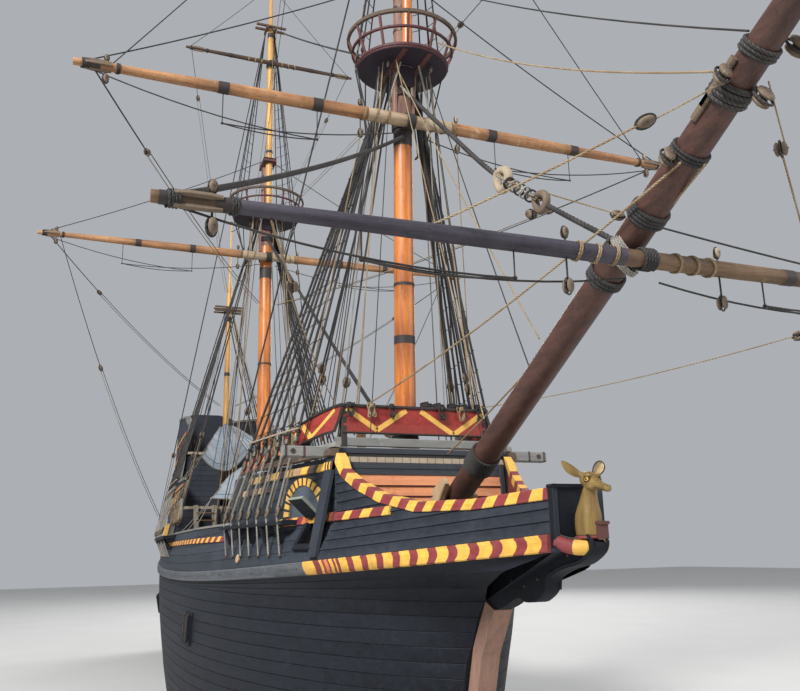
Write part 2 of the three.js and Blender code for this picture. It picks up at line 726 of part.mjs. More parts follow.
function poopBulkhead() {
  const rows = [0, 0.5, 1].map((share) => THREE.MathUtils.lerp(
    HALF_DECK_Z + SEAT, POOP_DECK_Z - DECK_THICK - SEAT, share,
  ));
  const stations = [POOP_X - 150 - BULKHEAD_THICK, POOP_X - 150].map((x) => {
    const left = rows.map((z) => [x, halfAt(POOP_X - 230, z) - PLANK_WALL - DECK_MARGIN, z]);
    return { left, right: left.map(([a, b, c]) => [a, -b, c]) };
  });
  const way = block(POOP_X - 400, POOP_X, -380, 380, HALF_DECK_Z + 80, HALF_DECK_Z + 1700);
  return cut(loftBetween(stations), way);
}

add("poop_bulkhead", "red", poopBulkhead());
add("poop_deck", "deck", cut(
  deckPlate(STERN_X, POOP_X - 20, POOP_DECK_Z, true), mastHole(MIZZEN_X, MIZZEN_HOLE),
));

// Fore and main channels stand on the planking, cut clear of it.
const CHANNEL_Z = 4080;
const grown = (wall, side) => sideWall({ ...wall, side, thick: PLANK_WALL * 3, proud: SIDE_GAP });

for (const [name, side] of SIDES) {
  add(`fore_channel_${name}`, "tarred", cut(
    channel(6450, 9650, CHANNEL_Z, 340, side), grown(CASTLE_WALL, side),
  ));
  add(`main_channel_${name}`, "tarred", cut(
    channel(-5600, -1500, CHANNEL_Z, 380, side), grown(WAIST_WALL, side), grown(AFTER_WALL, side),
  ));
}

const HATCH = { x0: 1500, x1: 3200, half: 700, height: 260, rim: 110, floor: 200 };

function hatch() {
  const low = Math.max(sheerAt(HATCH.x0), sheerAt(HATCH.x1)) + SEAT;
  const coaming = block(HATCH.x0, HATCH.x1, -HATCH.half, HATCH.half, low, low + HATCH.height);
  const inner = HATCH.half - HATCH.rim;
  const well = block(HATCH.x0 + HATCH.rim, HATCH.x1 - HATCH.rim, -inner, inner, low + HATCH.floor, low + 400);
  return cut(coaming, well);
}

add("main_hatch", "deck", hatch());

// Masts. Each is drawn upright over the waterline and then raked about Y.
// foot radius, head radius, heights of top, cap, crosstrees and truck, top's floor and hoop, topmast radius
const FORE = {
  name: "fore", x: FOREMAST_X, rake: FOREMAST_RAKE, foot: 210, head: 178, top: 13350, cap: 15350,
  trees: 19700, truck: 23300, floor: 950, hoop: 1165, topmast: 105,
};
const MAIN = {
  name: "main", x: MAINMAST_X, rake: MAINMAST_RAKE, foot: 235, head: 195, top: 15150, cap: 17350,
  trees: 22800, truck: 27300, floor: 1140, hoop: 1335, topmast: 120,
};
const MIZZEN = {
  name: "mizzen", x: MIZZEN_X, rake: 0, foot: 130, head: 105, top: 13850, cap: 15100, truck: 17900,
};

const raked = (geometry, mast) => geometry.rotateY(mast.rake).translate(mast.x, 0, 0);

// The lowest height at which a mast's foot stands clear of the deck all round.
function stepHeight({ x, rake, foot }) {
  const shift = x + sheerCurve(x) * Math.sin(rake);
  const need = (reach) => {
    const deck = sheerAt(shift + reach * Math.cos(rake)) + SEAT;
    return (deck + reach * Math.sin(rake)) / Math.cos(rake);
  };
  return Math.max(need(-foot), need(foot));
}

const topmastX = (mast) => mast.head + mast.topmast + 25;
const parrelRadius = (mast) => mast.head + 12;
const CAP_THICK = 170;
const TOP_THICK = 110;
const HOOP_RISE = 720;
const STANCHIONS = 12;

// Outlines of the spars: radius and height. The radius at a height is read off them.
const lowerOutline = (mast) => [
  [mast.foot, stepHeight(mast)], [mast.foot - 5, mast.top * 0.55], [parrelRadius(mast), mast.top - 2200],
  [parrelRadius(mast), mast.top - 700], [mast.head, mast.top - 500], [mast.head, mast.cap],
];
const topmastOutline = ({ topmast: r, top: low, cap, trees, truck }) => [
  [r, low + TOP_THICK + SEAT], [r, cap + 1200], [r * 0.9, trees], [r * 0.6, trees + 300],
  [r * 0.42, truck], [r * 0.7, truck + 20], [r * 0.7, truck + 90],
];
const mizzenOutline = ({ foot, head, top: low, cap, truck }) => [
  [foot, stepHeight(MIZZEN)], [head, low], [head, cap], [head * 0.45, cap + 10], [head * 0.35, truck],
];
const radiusAt = (outline, z) => alongTable(outline.map(([r, height]) => [height, r]), z);

function lowerMast(mast) {
  const shaft = pole(lowerOutline(mast));
  const forward = topmastX(mast);
  const reach = mast.topmast + 80;
  const half = reach + 20;
  const cap = block(-mast.head - 70, forward + reach, -half, half, mast.cap - CAP_THICK, mast.cap);
  const holeRadius = mast.topmast + SIDE_GAP;
  const hole = pole([[holeRadius, mast.cap - 400], [holeRadius, mast.cap + 200]]).translate(forward, 0, 0);
  return raked(cut(joined(shaft, cap), hole), mast);
}

function top(mast) {
  const low = mast.top;
  const hoopLow = low + HOOP_RISE - 80;
  const pieces = [
    ring(mast.head + SIDE_GAP, mast.floor, low, low + TOP_THICK),
    ring(mast.hoop - 60, mast.hoop, hoopLow, hoopLow + 80),
    ring((mast.floor + mast.hoop) / 2 - 35, (mast.floor + mast.hoop) / 2 + 15, low + 370, low + 420),
  ];
  for (let i = 0; i < STANCHIONS; i += 1) {
    const turn = (i + 0.5) * (2 * Math.PI / STANCHIONS);
    const [c, s] = [Math.cos(turn), Math.sin(turn)];
    pieces.push(bar(
      [c * (mast.floor - 60), s * (mast.floor - 60), low + TOP_THICK / 2],
      [c * (mast.hoop - 30), s * (mast.hoop - 30), hoopLow + 40], 50, 50,
    ));
  }
  return raked(joined(...pieces), mast);
}

function crosstrees(mast, z, reach) {
  return [
    block(-reach * 0.5, reach * 0.5, mast.topmast * 0.4, mast.topmast * 0.4 + 60, z, z + 70),
    block(-reach * 0.5, reach * 0.5, -mast.topmast * 0.4 - 60, -mast.topmast * 0.4, z, z + 70),
    block(-150, -90, -reach, reach, z + 65, z + 125),
    block(90, 150, -reach, reach, z + 65, z + 125),
  ];
}

function topmast(mast) {
  const shaft = pole(topmastOutline(mast));
  return raked(joined(shaft, ...crosstrees(mast, mast.trees, 560)).translate(topmastX(mast), 0, 0), mast);
}

for (const mast of [FORE, MAIN]) {
  add(`${mast.name}mast`, "varnish", lowerMast(mast));
  add(`${mast.name}_top`, "maroon", top(mast));
  add(`${mast.name}_topmast`, "varnish", topmast(mast));
}

function mizzenMast() {
  const { head, cap } = MIZZEN;
  const shaft = pole(mizzenOutline(MIZZEN));
  const trees = crosstrees({ topmast: 160 }, MIZZEN.top, 620);
  const capBlock = block(-head - 40, head + 40, -head - 40, head + 40, cap - 110, cap);
  return raked(joined(shaft, ...trees, capBlock), MIZZEN);
}

add("mizzenmast", "varnish", mizzenMast());

// Bowsprit, with the round chock on which the spritsail yard turns

const CHOCK_RADIUS = 110;
const CHOCK_DROP = 35;
const bowspritRadius = (along) => radiusAt(bowspritRadii, along);
const chockFace = bowspritRadius(SPRITSAIL_CROSSING) + CHOCK_DROP;

// Shapes drawn with +Z along the spar and +X to its under side.
function bowsprit() {
  const spar = pole(bowspritRadii);
  const chock = pole([[CHOCK_RADIUS, 100], [CHOCK_RADIUS, chockFace]]).rotateY(Math.PI / 2)
    .translate(0, 0, SPRITSAIL_CROSSING);
  return bowspritPlace(joined(spar, chock));
}

add("bowsprit", "spar", bowsprit());

function yardSpar(half, middle, end) {
  return pole([[end, -half], [middle * 0.92, -half * 0.5], [middle, -half * 0.12], [middle, half * 0.12],
    [middle * 0.92, half * 0.5], [end, half]], 16).rotateX(Math.PI / 2);
}

function spritsailYard() {
  const middle = 100;
  const centre = chockFace + PIN_GAP + 60 + middle;
  const spar = yardSpar(5400, middle, 62).translate(centre, 0, SPRITSAIL_CROSSING);
  const pad = pole([[CHOCK_RADIUS, chockFace + PIN_GAP], [CHOCK_RADIUS, centre]]).rotateY(Math.PI / 2)
    .translate(0, 0, SPRITSAIL_CROSSING);
  return bowspritPlace(joined(spar, pad));
}

add("spritsail_yard", "purple", spritsailYard());

// Yards with their parrels, on a lower mast or on its topmast.
const PARREL_RISE = 55;

function yard(mast, { height, half, middle, end, onTopmast }) {
  const around = radiusAt(onTopmast ? topmastOutline(mast) : lowerOutline(mast), height - PARREL_RISE);
  const centre = around + 45 + middle;
  const halfFacet = Math.PI / ROUND_SIDES;
  const inner = (around + PIN_GAP) / Math.cos(halfFacet);
  const collar = ring(inner, around + 42, -PARREL_RISE, PARREL_RISE).rotateZ(halfFacet);
  const chock = block(around + 20, centre, -130, 130, -50, 50);
  const shape = joined(yardSpar(half, middle, end).translate(centre, 0, 0), collar, chock);
  return raked(shape.translate(onTopmast ? topmastX(mast) : 0, 0, height), mast);
}

// Yards: name, mast, height, half length, middle and end radius, and whether it is on the topmast
const YARDS = [
  { name: "fore_yard", mast: FORE, height: 12050, half: 6350, middle: 128, end: 66, onTopmast: false },
  { name: "main_yard", mast: MAIN, height: 13600, half: 7380, middle: 138, end: 68, onTopmast: false },
  { name: "fore_topsail_yard", mast: FORE, height: 16300, half: 2700, middle: 72, end: 42, onTopmast: true },
  { name: "main_topsail_yard", mast: MAIN, height: 21200, half: 3100, middle: 78, end: 45, onTopmast: true },
];

for (const row of YARDS) add(row.name, "weathered", yard(row.mast, row));

// Main stays, each with a collar round what it leads from and to

function mastPoint(mast, z) {
  return new THREE.Vector3(mast.x + Math.sin(mast.rake) * z, 0, Math.cos(mast.rake) * z);
}

const COLLAR = 110;

function collarOn(mast, z, radius) {
  return raked(ring(radius + SIDE_GAP, radius + 50, z, z + COLLAR), mast);
}

function rope(from, to, radius) {
  const along = new THREE.Vector3().subVectors(to, from);
  const turn = new THREE.Quaternion().setFromUnitVectors(UPWARD, along.clone().normalize());
  const bar = pole([[radius, 0], [radius, along.length()]], 10).applyQuaternion(turn);
  return bar.translate(from.x, from.y, from.z);
}

// A stay from one mast to another; an end is its mast, its height there and the mast's outline.
function stayBetween(from, to, radius) {
  const fromRadius = radiusAt(from.outline, from.height);
  const toRadius = radiusAt(to.outline, to.height);
  const start = mastPoint(from.mast, from.height + COLLAR / 2);
  const end = mastPoint(to.mast, to.height + COLLAR / 2);
  start.x += fromRadius + radius * 0.8;
  end.x -= toRadius + radius * 0.8;
  const high = collarOn(from.mast, from.height, fromRadius);
  const low = collarOn(to.mast, to.height, toRadius);
  return joined(high, low, rope(start, end, radius));
}

const foreLow = { mast: FORE, height: 5650, outline: lowerOutline(FORE) };
const mainHigh = { mast: MAIN, height: 14300, outline: lowerOutline(MAIN) };
const mainLow = { mast: MAIN, height: 6100, outline: lowerOutline(MAIN) };
const mizzenHigh = { mast: MIZZEN, height: 13300, outline: mizzenOutline(MIZZEN) };
add("main_stay", "maroon", stayBetween(mainHigh, foreLow, 48));
add("mizzen_stay", "maroon", stayBetween(mizzenHigh, mainLow, 28));

const FORE_STAY_FOOT = 6900;

function foreStay() {
  const head = 12750;
  const start = mastPoint(FORE, head + COLLAR / 2);
  start.x += parrelRadius(FORE) + 35;
  const spar = bowspritRadius(FORE_STAY_FOOT);
  const collar = bowspritPlace(ring(spar + SIDE_GAP, spar + 50, FORE_STAY_FOOT, FORE_STAY_FOOT + 110));
  const [c, s] = [Math.cos(BOWSPRIT_STEEVE), Math.sin(BOWSPRIT_STEEVE)];
  const rise = spar + 25;
  const end = new THREE.Vector3(
    BOWSPRIT_HEEL[0] + c * FORE_STAY_FOOT - s * rise, 0, BOWSPRIT_HEEL[2] + s * FORE_STAY_FOOT + c * rise,
  );
  return joined(collarOn(FORE, head, parrelRadius(FORE)), collar, rope(start, end, 42));
}

add("fore_stay", "maroon", foreStay());

// Awnings: plain sheets over a ridge, hung from the mast behind them

const CLOTH_THICK = 25;

function awning(stations) {
  return loftBetween(stations.map(([x, ridge, eave, half, sag]) => {
    const middle = (ridge + eave) / 2 - sag;
    const left = [[half, eave], [half * 0.5, middle], [0, ridge], [-half * 0.5, middle], [-half, eave]]
      .map(([y, z]) => [x, y, z]);
    return { left, right: left.map(([a, b, c]) => [a, b, c + CLOTH_THICK]) };
  }));
}

const WAIST_PEAK_Z = 6700;
const HALF_DECK_PEAK_Z = 8850;
const mainFace = mastPoint(MAIN, WAIST_PEAK_Z).x + radiusAt(lowerOutline(MAIN), WAIST_PEAK_Z) + SIDE_GAP;
const mizzenFace = MIZZEN_X + radiusAt(mizzenOutline(MIZZEN), HALF_DECK_PEAK_Z) + SIDE_GAP;
// Each awning's stations: x, height of its ridge and of its eaves, half its width, and how far it sags between.
const WAIST_AWNING = [
  [mainFace, WAIST_PEAK_Z, 6450, 600, 30], [-400, 5950, 5750, 1600, 70], [1800, 5080, 5030, 2350, 25],
];
const HALF_DECK_AWNING = [
  [mizzenFace, HALF_DECK_PEAK_Z, 8750, 250, 30], [-7600, 8050, 7860, 930, 110], [-5400, 7200, 6950, 1600, 650],
];
add("waist_awning", "cloth", awning(WAIST_AWNING));
add("half_deck_awning", "cloth", awning(HALF_DECK_AWNING));

// Figurehead: a hind's head and neck in the round

function ellipsoid(rx, ry, rz, x, y, z, pitch = 0) {
  return bare(new THREE.SphereGeometry(1, 12, 9).scale(rx, ry, rz)).rotateY(pitch).translate(x, y, z);
}

function figurehead() {
  const boardFace = BEAK_HEAD_X + SIDE_GAP + HEAD_BOARD_THICK;
  const ear = (side) => ellipsoid(40, 60, 150, 0, 0, 0).rotateX(-side * 0.9).rotateY(-0.3)
    .translate(15740, side * 165, 4490);
  const body = joined(
    ellipsoid(190, 165, 380, 15760, 0, 3960, 0.12), ellipsoid(140, 110, 220, 15790, 0, 4260, 0.1),
    ellipsoid(190, 110, 115, 15860, 0, 4370, 0.15), ellipsoid(140, 72, 72, 16010, 0, 4310, 0.2),
    block(boardFace, 15850, -100, 100, 3600, 3900), ear(1), ear(-1),
  );
  const back = block(15000, boardFace + SIDE_GAP, -600, 600, 3000, 5000);
  return cut(body, block(15000, 16500, -500, 500, 3000, KNEE_TOP + SEAT), back);
}

add("figurehead", "khaki", figurehead());

export default ship;
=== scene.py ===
"""A wooden galleon afloat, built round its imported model, with its planking, paint, rigging and awnings.

Metres throughout. X runs forward, Y to port and Z up, with the origin amidships at the waterline.
"""
import math
import random

import bmesh
import bpy
import numpy as np
from mathutils import Matrix, Vector


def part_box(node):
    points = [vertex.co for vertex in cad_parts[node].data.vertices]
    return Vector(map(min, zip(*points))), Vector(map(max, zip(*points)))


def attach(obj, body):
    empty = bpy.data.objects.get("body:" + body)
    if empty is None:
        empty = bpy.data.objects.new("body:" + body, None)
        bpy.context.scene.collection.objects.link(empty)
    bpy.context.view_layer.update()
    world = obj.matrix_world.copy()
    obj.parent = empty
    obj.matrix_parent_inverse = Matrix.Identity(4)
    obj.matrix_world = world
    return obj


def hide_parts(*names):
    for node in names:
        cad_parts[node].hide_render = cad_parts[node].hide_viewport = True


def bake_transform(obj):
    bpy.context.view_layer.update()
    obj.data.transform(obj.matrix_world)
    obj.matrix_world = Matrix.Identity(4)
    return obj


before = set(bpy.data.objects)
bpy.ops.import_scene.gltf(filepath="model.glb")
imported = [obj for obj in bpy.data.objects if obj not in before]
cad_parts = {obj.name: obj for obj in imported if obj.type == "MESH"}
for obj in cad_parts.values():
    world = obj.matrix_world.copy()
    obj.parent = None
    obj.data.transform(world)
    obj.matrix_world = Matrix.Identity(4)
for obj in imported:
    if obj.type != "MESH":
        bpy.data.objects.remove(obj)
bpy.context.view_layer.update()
random.seed(1577)

# Lines of the ship's side, as the model has them
SHEER_LOW = 3.18
SHEER_CURVE = 0.0024
WALE_DEPTH = 0.22
WALE_PROUD = 0.07
STERN_X = -12.4
BEAK_HEAD_X = 15.45
CASTLE_FRONT_X = 10.9
CASTLE_AFT_X = 6.0
CASTLE_DECK_Z = 5.18
HALF_DECK_X = -4.4
POOP_X = -8.6
WAIST_RAIL_Z = 4.25
MIDSHIP_X = 2.0
# One row for each water level: height, aft end x, its half width, half width amidships, fore end x, its
# half
# width, how long the bow stays full, how blunt it is, and how long the run aft stays full
LINES = [
    (-4.0, -9.6, 0.15, 0.155, 8.4, 0.15, 2.0, 1.0, 2.0),
    (-3.7, -9.71, 0.15, 1.05, 9.3, 0.15, 1.9, 1.0, 1.5),
    (-3.2, -9.893, 0.15, 1.8, 10.1, 0.15, 1.9, 0.95, 1.5),
    (-2.4, -10.186, 0.15, 2.45, 10.85, 0.15, 2.0, 0.9, 1.6),
    (-1.2, -10.625, 0.22, 2.93, 11.55, 0.15, 2.0, 0.85, 1.8),
    (0.0, -11.064, 0.56, 3.12, 12.05, 0.15, 2.1, 0.8, 2.0),
    (1.2, -11.503, 1.15, 3.18, 12.4, 0.15, 2.2, 0.77, 2.3),
    (2.2, -11.87, 1.6, 3.13, 12.75, 0.15, 2.3, 0.75, 2.6),
    (2.85, -12.108, 1.85, 3.08, 13.2, 0.16, 2.4, 0.8, 2.6),
    (3.45, -12.362, 1.98, 3.0, 15.5, 0.33, 2.4, 1.0, 2.6),
    (4.12, -12.643, 1.93, 2.86, 15.5, 0.32, 1.9, 1.0, 2.5),
    (5.1, -13.055, 1.8, 2.64, 14.3, 0.5, 2.5, 1.0, 2.4),
    (6.15, -13.496, 1.66, 2.3, 14.0, 0.35, 2.4, 1.0, 2.3),
    (7.5, -14.063, 1.5, 2.05, 14.0, 0.3, 2.4, 1.0, 2.2),
    (10.2, -15.197, 1.22, 1.65, 14.0, 0.3, 2.4, 1.0, 2.2),
]
SKIN_TOP_Z = 2.85
KEEL_Z = -4.0
BEAK_EDGE = [(10.9, 5.06), (11.1, 4.81), (11.5, 4.57), (12.1, 4.33), (13.0, 4.14), (14.2, 4.11),
             (15.45, 4.17)]
SIDES = (("starboard", -1), ("port", 1))

# Camera: where it stands, which way it faces, and its lens for a picture 800 pixels wide
CAMERA_PLACE = (24.45, -5.9, 3.6)
CAMERA_YAW = math.radians(21.8)
CAMERA_PITCH = math.radians(13.9)
CAMERA_ROLL = math.radians(1.23)
CAMERA_LENS = 36 * 827 / 800


def set_camera():
    """Makes the camera that sees the ship as the photograph does."""
    heading = Vector((-math.cos(CAMERA_YAW), math.sin(CAMERA_YAW), 0))
    ahead = heading * math.cos(CAMERA_PITCH) + Vector((0, 0, math.sin(CAMERA_PITCH)))
    right = ahead.cross(Vector((0, 0, 1))).normalized()
    up = right.cross(ahead)
    c, s = math.cos(CAMERA_ROLL), math.sin(CAMERA_ROLL)
    right, up = right * c - up * s, up * c + right * s
    data = bpy.data.cameras.new("camera")
    data.lens = CAMERA_LENS
    data.sensor_width = 36
    data.clip_end = 500
    camera = bpy.data.objects.new("camera", data)
    turn = Matrix((right, up, -ahead)).transposed().to_4x4()
    camera.matrix_world = Matrix.Translation(CAMERA_PLACE) @ turn
    bpy.context.scene.collection.objects.link(camera)
    bpy.context.scene.camera = camera


set_camera()


# Lines of the side

def level_half(row, x):
    """Half breadth of the hull at x, at the level that the row describes."""
    _, aft_x, aft_half, mid_half, fore_x, fore_half, bow, blunt, run = row
    ahead = np.clip((x - MIDSHIP_X) / (fore_x - MIDSHIP_X), 0, 1)
    behind = np.clip((MIDSHIP_X - x) / (MIDSHIP_X - aft_x), 0, 1)
    fore = fore_half + (mid_half - fore_half) * (1 - ahead ** bow) ** blunt
    aft = aft_half + (mid_half - aft_half) * (1 - behind ** run)
    return np.where(x >= MIDSHIP_X, fore, aft)


def curved(a, b, m, n, t):
    """A smooth way from a to b at the share t, which leaves at the slope m and comes in at the slope n."""
    fall = (1 - t) ** 2
    return a * (1 + 2 * t) * fall + m * t * fall + b * t * t * (3 - 2 * t) + n * t * t * (t - 1)


def through_levels(values, z):
    """A smooth curve through one value for each water level, read at the heights z."""
    heights = np.array([row[0] for row in LINES])
    steps = np.diff(heights)
    slopes = np.diff(values, axis=0) / steps.reshape((-1,) + (1,) * (values.ndim - 1))
    inner = (slopes[1:] + slopes[:-1]) / 2
    inner = np.where(slopes[1:] * slopes[:-1] > 0, inner, 0)
    slope = np.concatenate([slopes[:1], inner, slopes[-1:]])
    k = np.clip(np.searchsorted(heights, z, side="right") - 1, 0, len(heights) - 2)
    gap = steps[k]
    t = np.clip((z - heights[k]) / gap, 0, 1)

    def at(table, row):
        return np.take_along_axis(table, row[None], axis=0)[0] if table.ndim > 1 else table[row]

    a, b, m, n = at(values, k), at(values, k + 1), at(slope, k) * gap, at(slope, k + 1) * gap
    return curved(a, b, m, n, t)


def half_breadth(x, z):
    """Half the ship's width over its planking."""
    x, z = np.broadcast_arrays(np.asarray(x, float), np.asarray(z, float))
    flat_x, flat_z = x.ravel(), z.ravel()
    widths = np.stack([level_half(row, flat_x) for row in LINES])
    return through_levels(widths, flat_z).reshape(x.shape)


def level_end(z, column):
    return np.interp(z, [row[0] for row in LINES], [row[column] for row in LINES])


def sheer(x):
    return SHEER_LOW + SHEER_CURVE * np.asarray(x, float) ** 2


def beak_edge(x):
    xs, zs = zip(*BEAK_EDGE)
    return np.interp(x, xs, zs)


# Meshes

# One turn of a rope's strands, over the run that its material reads, and in radii of the rope
LAY_LENGTH = 0.16
LAY_RADII = 7.0
STRANDS = 3
WELD_DISTANCE = 0.0002


def grid_of(first, second):
    """Every pair of two runs, as places on a sheet."""
    return np.stack(np.meshgrid(first, second, indexing="ij"), axis=-1)


class Shape:
    """Sheets of points gathered into one piece, each with its paint and its run in metres."""

    def __init__(self):
        self.points, self.faces, self.paints, self.places = [], [], [], []
        self.count = 0

    def sheet(self, points, paint=0, wrap=False, places=None, flip=False):
        """Adds a grid of points, rows by columns. wrap joins the last column to the first."""
        points = np.asarray(points, float)
        rows, columns = points.shape[:2]
        if places is None:
            places = grid_of(np.arange(rows), np.arange(columns + 1))
        index = self.count + np.arange(rows * columns).reshape(rows, columns)
        across = columns if wrap else columns - 1
        ring = np.concatenate([index, index[:, :1]], axis=1)[:, :across + 1]
        corner = [ring[:-1, :-1], ring[:-1, 1:], ring[1:, 1:], ring[1:, :-1]]
        place = [places[:-1, :across], places[:-1, 1:across + 1], places[1:, 1:across + 1],
                 places[1:, :across]]
        if flip:
            corner, place = corner[::-1], place[::-1]
        self.faces += np.stack(corner, axis=-1).reshape(-1, 4).tolist()
        self.places.append(np.stack(place, axis=2).reshape(-1, 2).astype(float))
        self.paints.append(np.broadcast_to(paint, (rows - 1, across)).ravel())
        self.points.append(points.reshape(-1, 3))
        self.count += rows * columns
        return index

    def cap(self, indices, paint):
        """Closes a ring of points that are already there."""
        self.faces.append([int(i) for i in indices])
        self.places.append(np.zeros((len(indices), 2)))
        self.paints.append(np.array([paint]))

    def roll(self, points, paint=0, places=None, end=None):
        """Adds a grid rolled into a bar and closes its ends, in the bar's own paints or in the paint end."""
        index = self.sheet(points, paint, wrap=True, places=places)
        own = np.broadcast_to(paint, (len(index) - 1, index.shape[1]))
        self.cap(index[0][::-1], own[0, 0] if end is None else end)
        self.cap(index[-1], own[-1, 0] if end is None else end)

    def make(self, name, paints, body, slot, sharp=32, solid=True):
        """Turns the sheets into a Blender object that rides on a body."""
        mesh = bpy.data.meshes.new(name)
        mesh.from_pydata(np.concatenate(self.points).tolist(), [], self.faces)
        for paint in paints:
            mesh.materials.append(paint)
        mesh.polygons.foreach_set("material_index", np.concatenate(self.paints).astype(np.int32))
        layer = mesh.uv_layers.new(name="run")
        layer.data.foreach_set("uv", np.concatenate(self.places).astype(np.float32).ravel())
        work = bmesh.new()
        work.from_mesh(mesh)
        bmesh.ops.remove_doubles(work, verts=work.verts, dist=WELD_DISTANCE)
        if solid:
            bmesh.ops.recalc_face_normals(work, faces=work.faces)
        work.to_mesh(mesh)
        work.free()
        mesh.polygons.foreach_set("use_smooth", np.ones(len(mesh.polygons), bool))
        mesh.set_sharp_from_angle(angle=math.radians(sharp))
        mesh.update()
        piece = bpy.data.objects.new(name, mesh)
        bpy.context.scene.collection.objects.link(piece)
        if body:
            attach(piece, body)
        return piece


def athwart(y):
    """A step to port."""
    return np.array([0, y, 0])


def upward(z):
    """A step up."""
    return np.array([0, 0, z])


def unit(v):
    v = np.asarray(v, float)
    return v / np.linalg.norm(v, axis=-1, keepdims=True)


def along(path):
    """Distance from the start at each point of a path."""
    steps = np.linalg.norm(np.diff(path, axis=0), axis=1)
    return np.concatenate([[0.0], np.cumsum(steps)])


def frames(path, up=None):
    """Two directions square to a path at each of its points, level with up or turning least."""
    heading = unit(np.gradient(path, axis=0))
    if up is not None:
        side = unit(np.cross(np.broadcast_to(np.asarray(up, float), heading.shape), heading))
        return side, np.cross(heading, side)
    side = np.empty_like(heading)
    spare = [0, 0, 1] if abs(heading[0][2]) < 0.9 else [1, 0, 0]
    last = np.cross(spare, heading[0])
    for i, ahead in enumerate(heading):
        last = last - ahead * (last @ ahead)
        last = last / np.linalg.norm(last)
        side[i] = last
    return side, np.cross(heading, side)


def circle(sides):
    """Angles round a bar, one for each of its sides."""
    return np.linspace(0, 2 * math.pi, sides, endpoint=False)


def full_turn(count):
    """Angles from the start of a loop round to the same place."""
    return np.linspace(0, 2 * math.pi, count)[:, None]


def round_bar(shape, path, reach, sides, paint, run=None):
    """A bar round a path. reach is how far each point stands out, run is the length that the paint reads."""
    side, top = frames(path)
    turn = circle(sides)
    rings = path[:, None] + reach[..., None] * (
        np.cos(turn)[None, :, None] * side[:, None] + np.sin(turn)[None, :, None] * top[:, None])
    shape.roll(rings, paint, None if run is None else grid_of(run, np.linspace(0, 1, sides + 1)))


def tube(shape, path, radius, sides, paint):
    """A round bar along a path. radius is one number or one for each point."""
    path = np.asarray(path, float)
    reach = np.broadcast_to(np.asarray(radius, float), (len(path),))[:, None]
    round_bar(shape, path, reach, sides, paint, along(path))


def laid_rope(shape, path, radius, paint, sides=12):
    """A three-strand rope whose strands are real shapes."""
    lay = radius * LAY_RADII
    path = spaced(np.asarray(path, float), lay / 8)
    run = along(path)
    twist = run[:, None] * 2 * math.pi / lay
    bulge = radius * (0.72 + 0.28 * np.abs(np.cos(STRANDS / 2 * (circle(sides)[None] - twist))))
    round_bar(shape, path, bulge, sides, paint, run * LAY_LENGTH / lay)


def spaced(path, step):
    """The same path with its points an even step apart."""
    run = along(path)
    count = max(int(run[-1] / step), 2)
    at = np.linspace(0, run[-1], count + 1)
    return np.stack([np.interp(at, run, path[:, k]) for k in range(3)], axis=-1)


def smooth_path(points, count):
    """A rounded curve through a few points."""
    points = np.asarray(points, float)
    run = along(points)
    slope = np.gradient(points, run, axis=0)
    at = np.linspace(0, run[-1], count)
    k = np.clip(np.searchsorted(run, at, side="right") - 1, 0, len(run) - 2)
    gap = (run[k + 1] - run[k])[:, None]
    t = ((at - run[k]) / gap[:, 0])[:, None]
    a, b, m, n = points[k], points[k + 1], slope[k] * gap, slope[k + 1] * gap
    return curved(a, b, m, n, t)


def hanging(a, b, sag, count):
    """A line from a to b that hangs down by sag in its middle."""
    a, b = np.asarray(a, float), np.asarray(b, float)
    t = np.linspace(0, 1, count)[:, None]
    return a + (b - a) * t - upward(4 * sag) * t * (1 - t)


def square_to(axis):
    """Two directions square to an axis and to each other."""
    side = unit(np.cross(axis, [1, 0, 0] if abs(axis[0]) < 0.9 else [0, 1, 0]))
    return side, np.cross(axis, side)


def turned(shape, profile, foot, axis, sides, paint):
    """A lathe shape: pairs of radius and distance along an axis from its foot."""
    foot, axis = np.asarray(foot, float), unit(axis)
    side, top = square_to(axis)
    radii, heights = np.array(profile, float).T
    turn = circle(sides)
    rings = foot + heights[:, None, None] * axis + radii[:, None, None] * (
        np.cos(turn)[None, :, None] * side + np.sin(turn)[None, :, None] * top)
    shape.roll(rings, paint, grid_of(heights, np.linspace(0, 1, sides + 1)))


def beam(shape, path, wide, high, paint, up=(0, 0, 1), chamfer=0.012):
    """A squared timber along a path, with its corners planed off."""
    path = np.asarray(path, float)
    side, top = frames(path, up)
    wide = np.broadcast_to(np.asarray(wide, float), (len(path),)) / 2
    high = np.broadcast_to(np.asarray(high, float), (len(path),)) / 2
    corners = [(1, -1, 0, 1), (1, 1, 0, -1), (1, 1, -1, 0), (-1, 1, 1, 0), (-1, 1, 0, -1), (-1, -1, 0, 1),
               (-1, -1, 1, 0), (1, -1, -1, 0)]
    ring = [path + side * (sx * wide + cx * chamfer)[:, None] + top * (sz * high + cz * chamfer)[:, None]
            for sx, sz, cx, cz in corners]
    shape.roll(np.stack(ring, axis=1), paint, grid_of(along(path), np.linspace(0, 1, len(ring) + 1)))


def ball(shape, centre, radii, axes, paint, rows, sides):
    """A rounded lump with its own three radii. axes are the directions of those radii."""
    axes = np.eye(3) if axes is None else np.asarray(axes, float)
    lean = np.linspace(-0.47 * math.pi, 0.47 * math.pi, rows)
    turn = circle(sides)
    local = np.stack([np.cos(lean)[:, None] * np.cos(turn), np.cos(lean)[:, None] * np.sin(turn),
                      np.broadcast_to(np.sin(lean)[:, None], (rows, sides))],
                     axis=-1) * np.asarray(radii, float)
    shape.roll(local @ axes + np.asarray(centre, float), paint)


# Shader helpers and the effects that several materials share

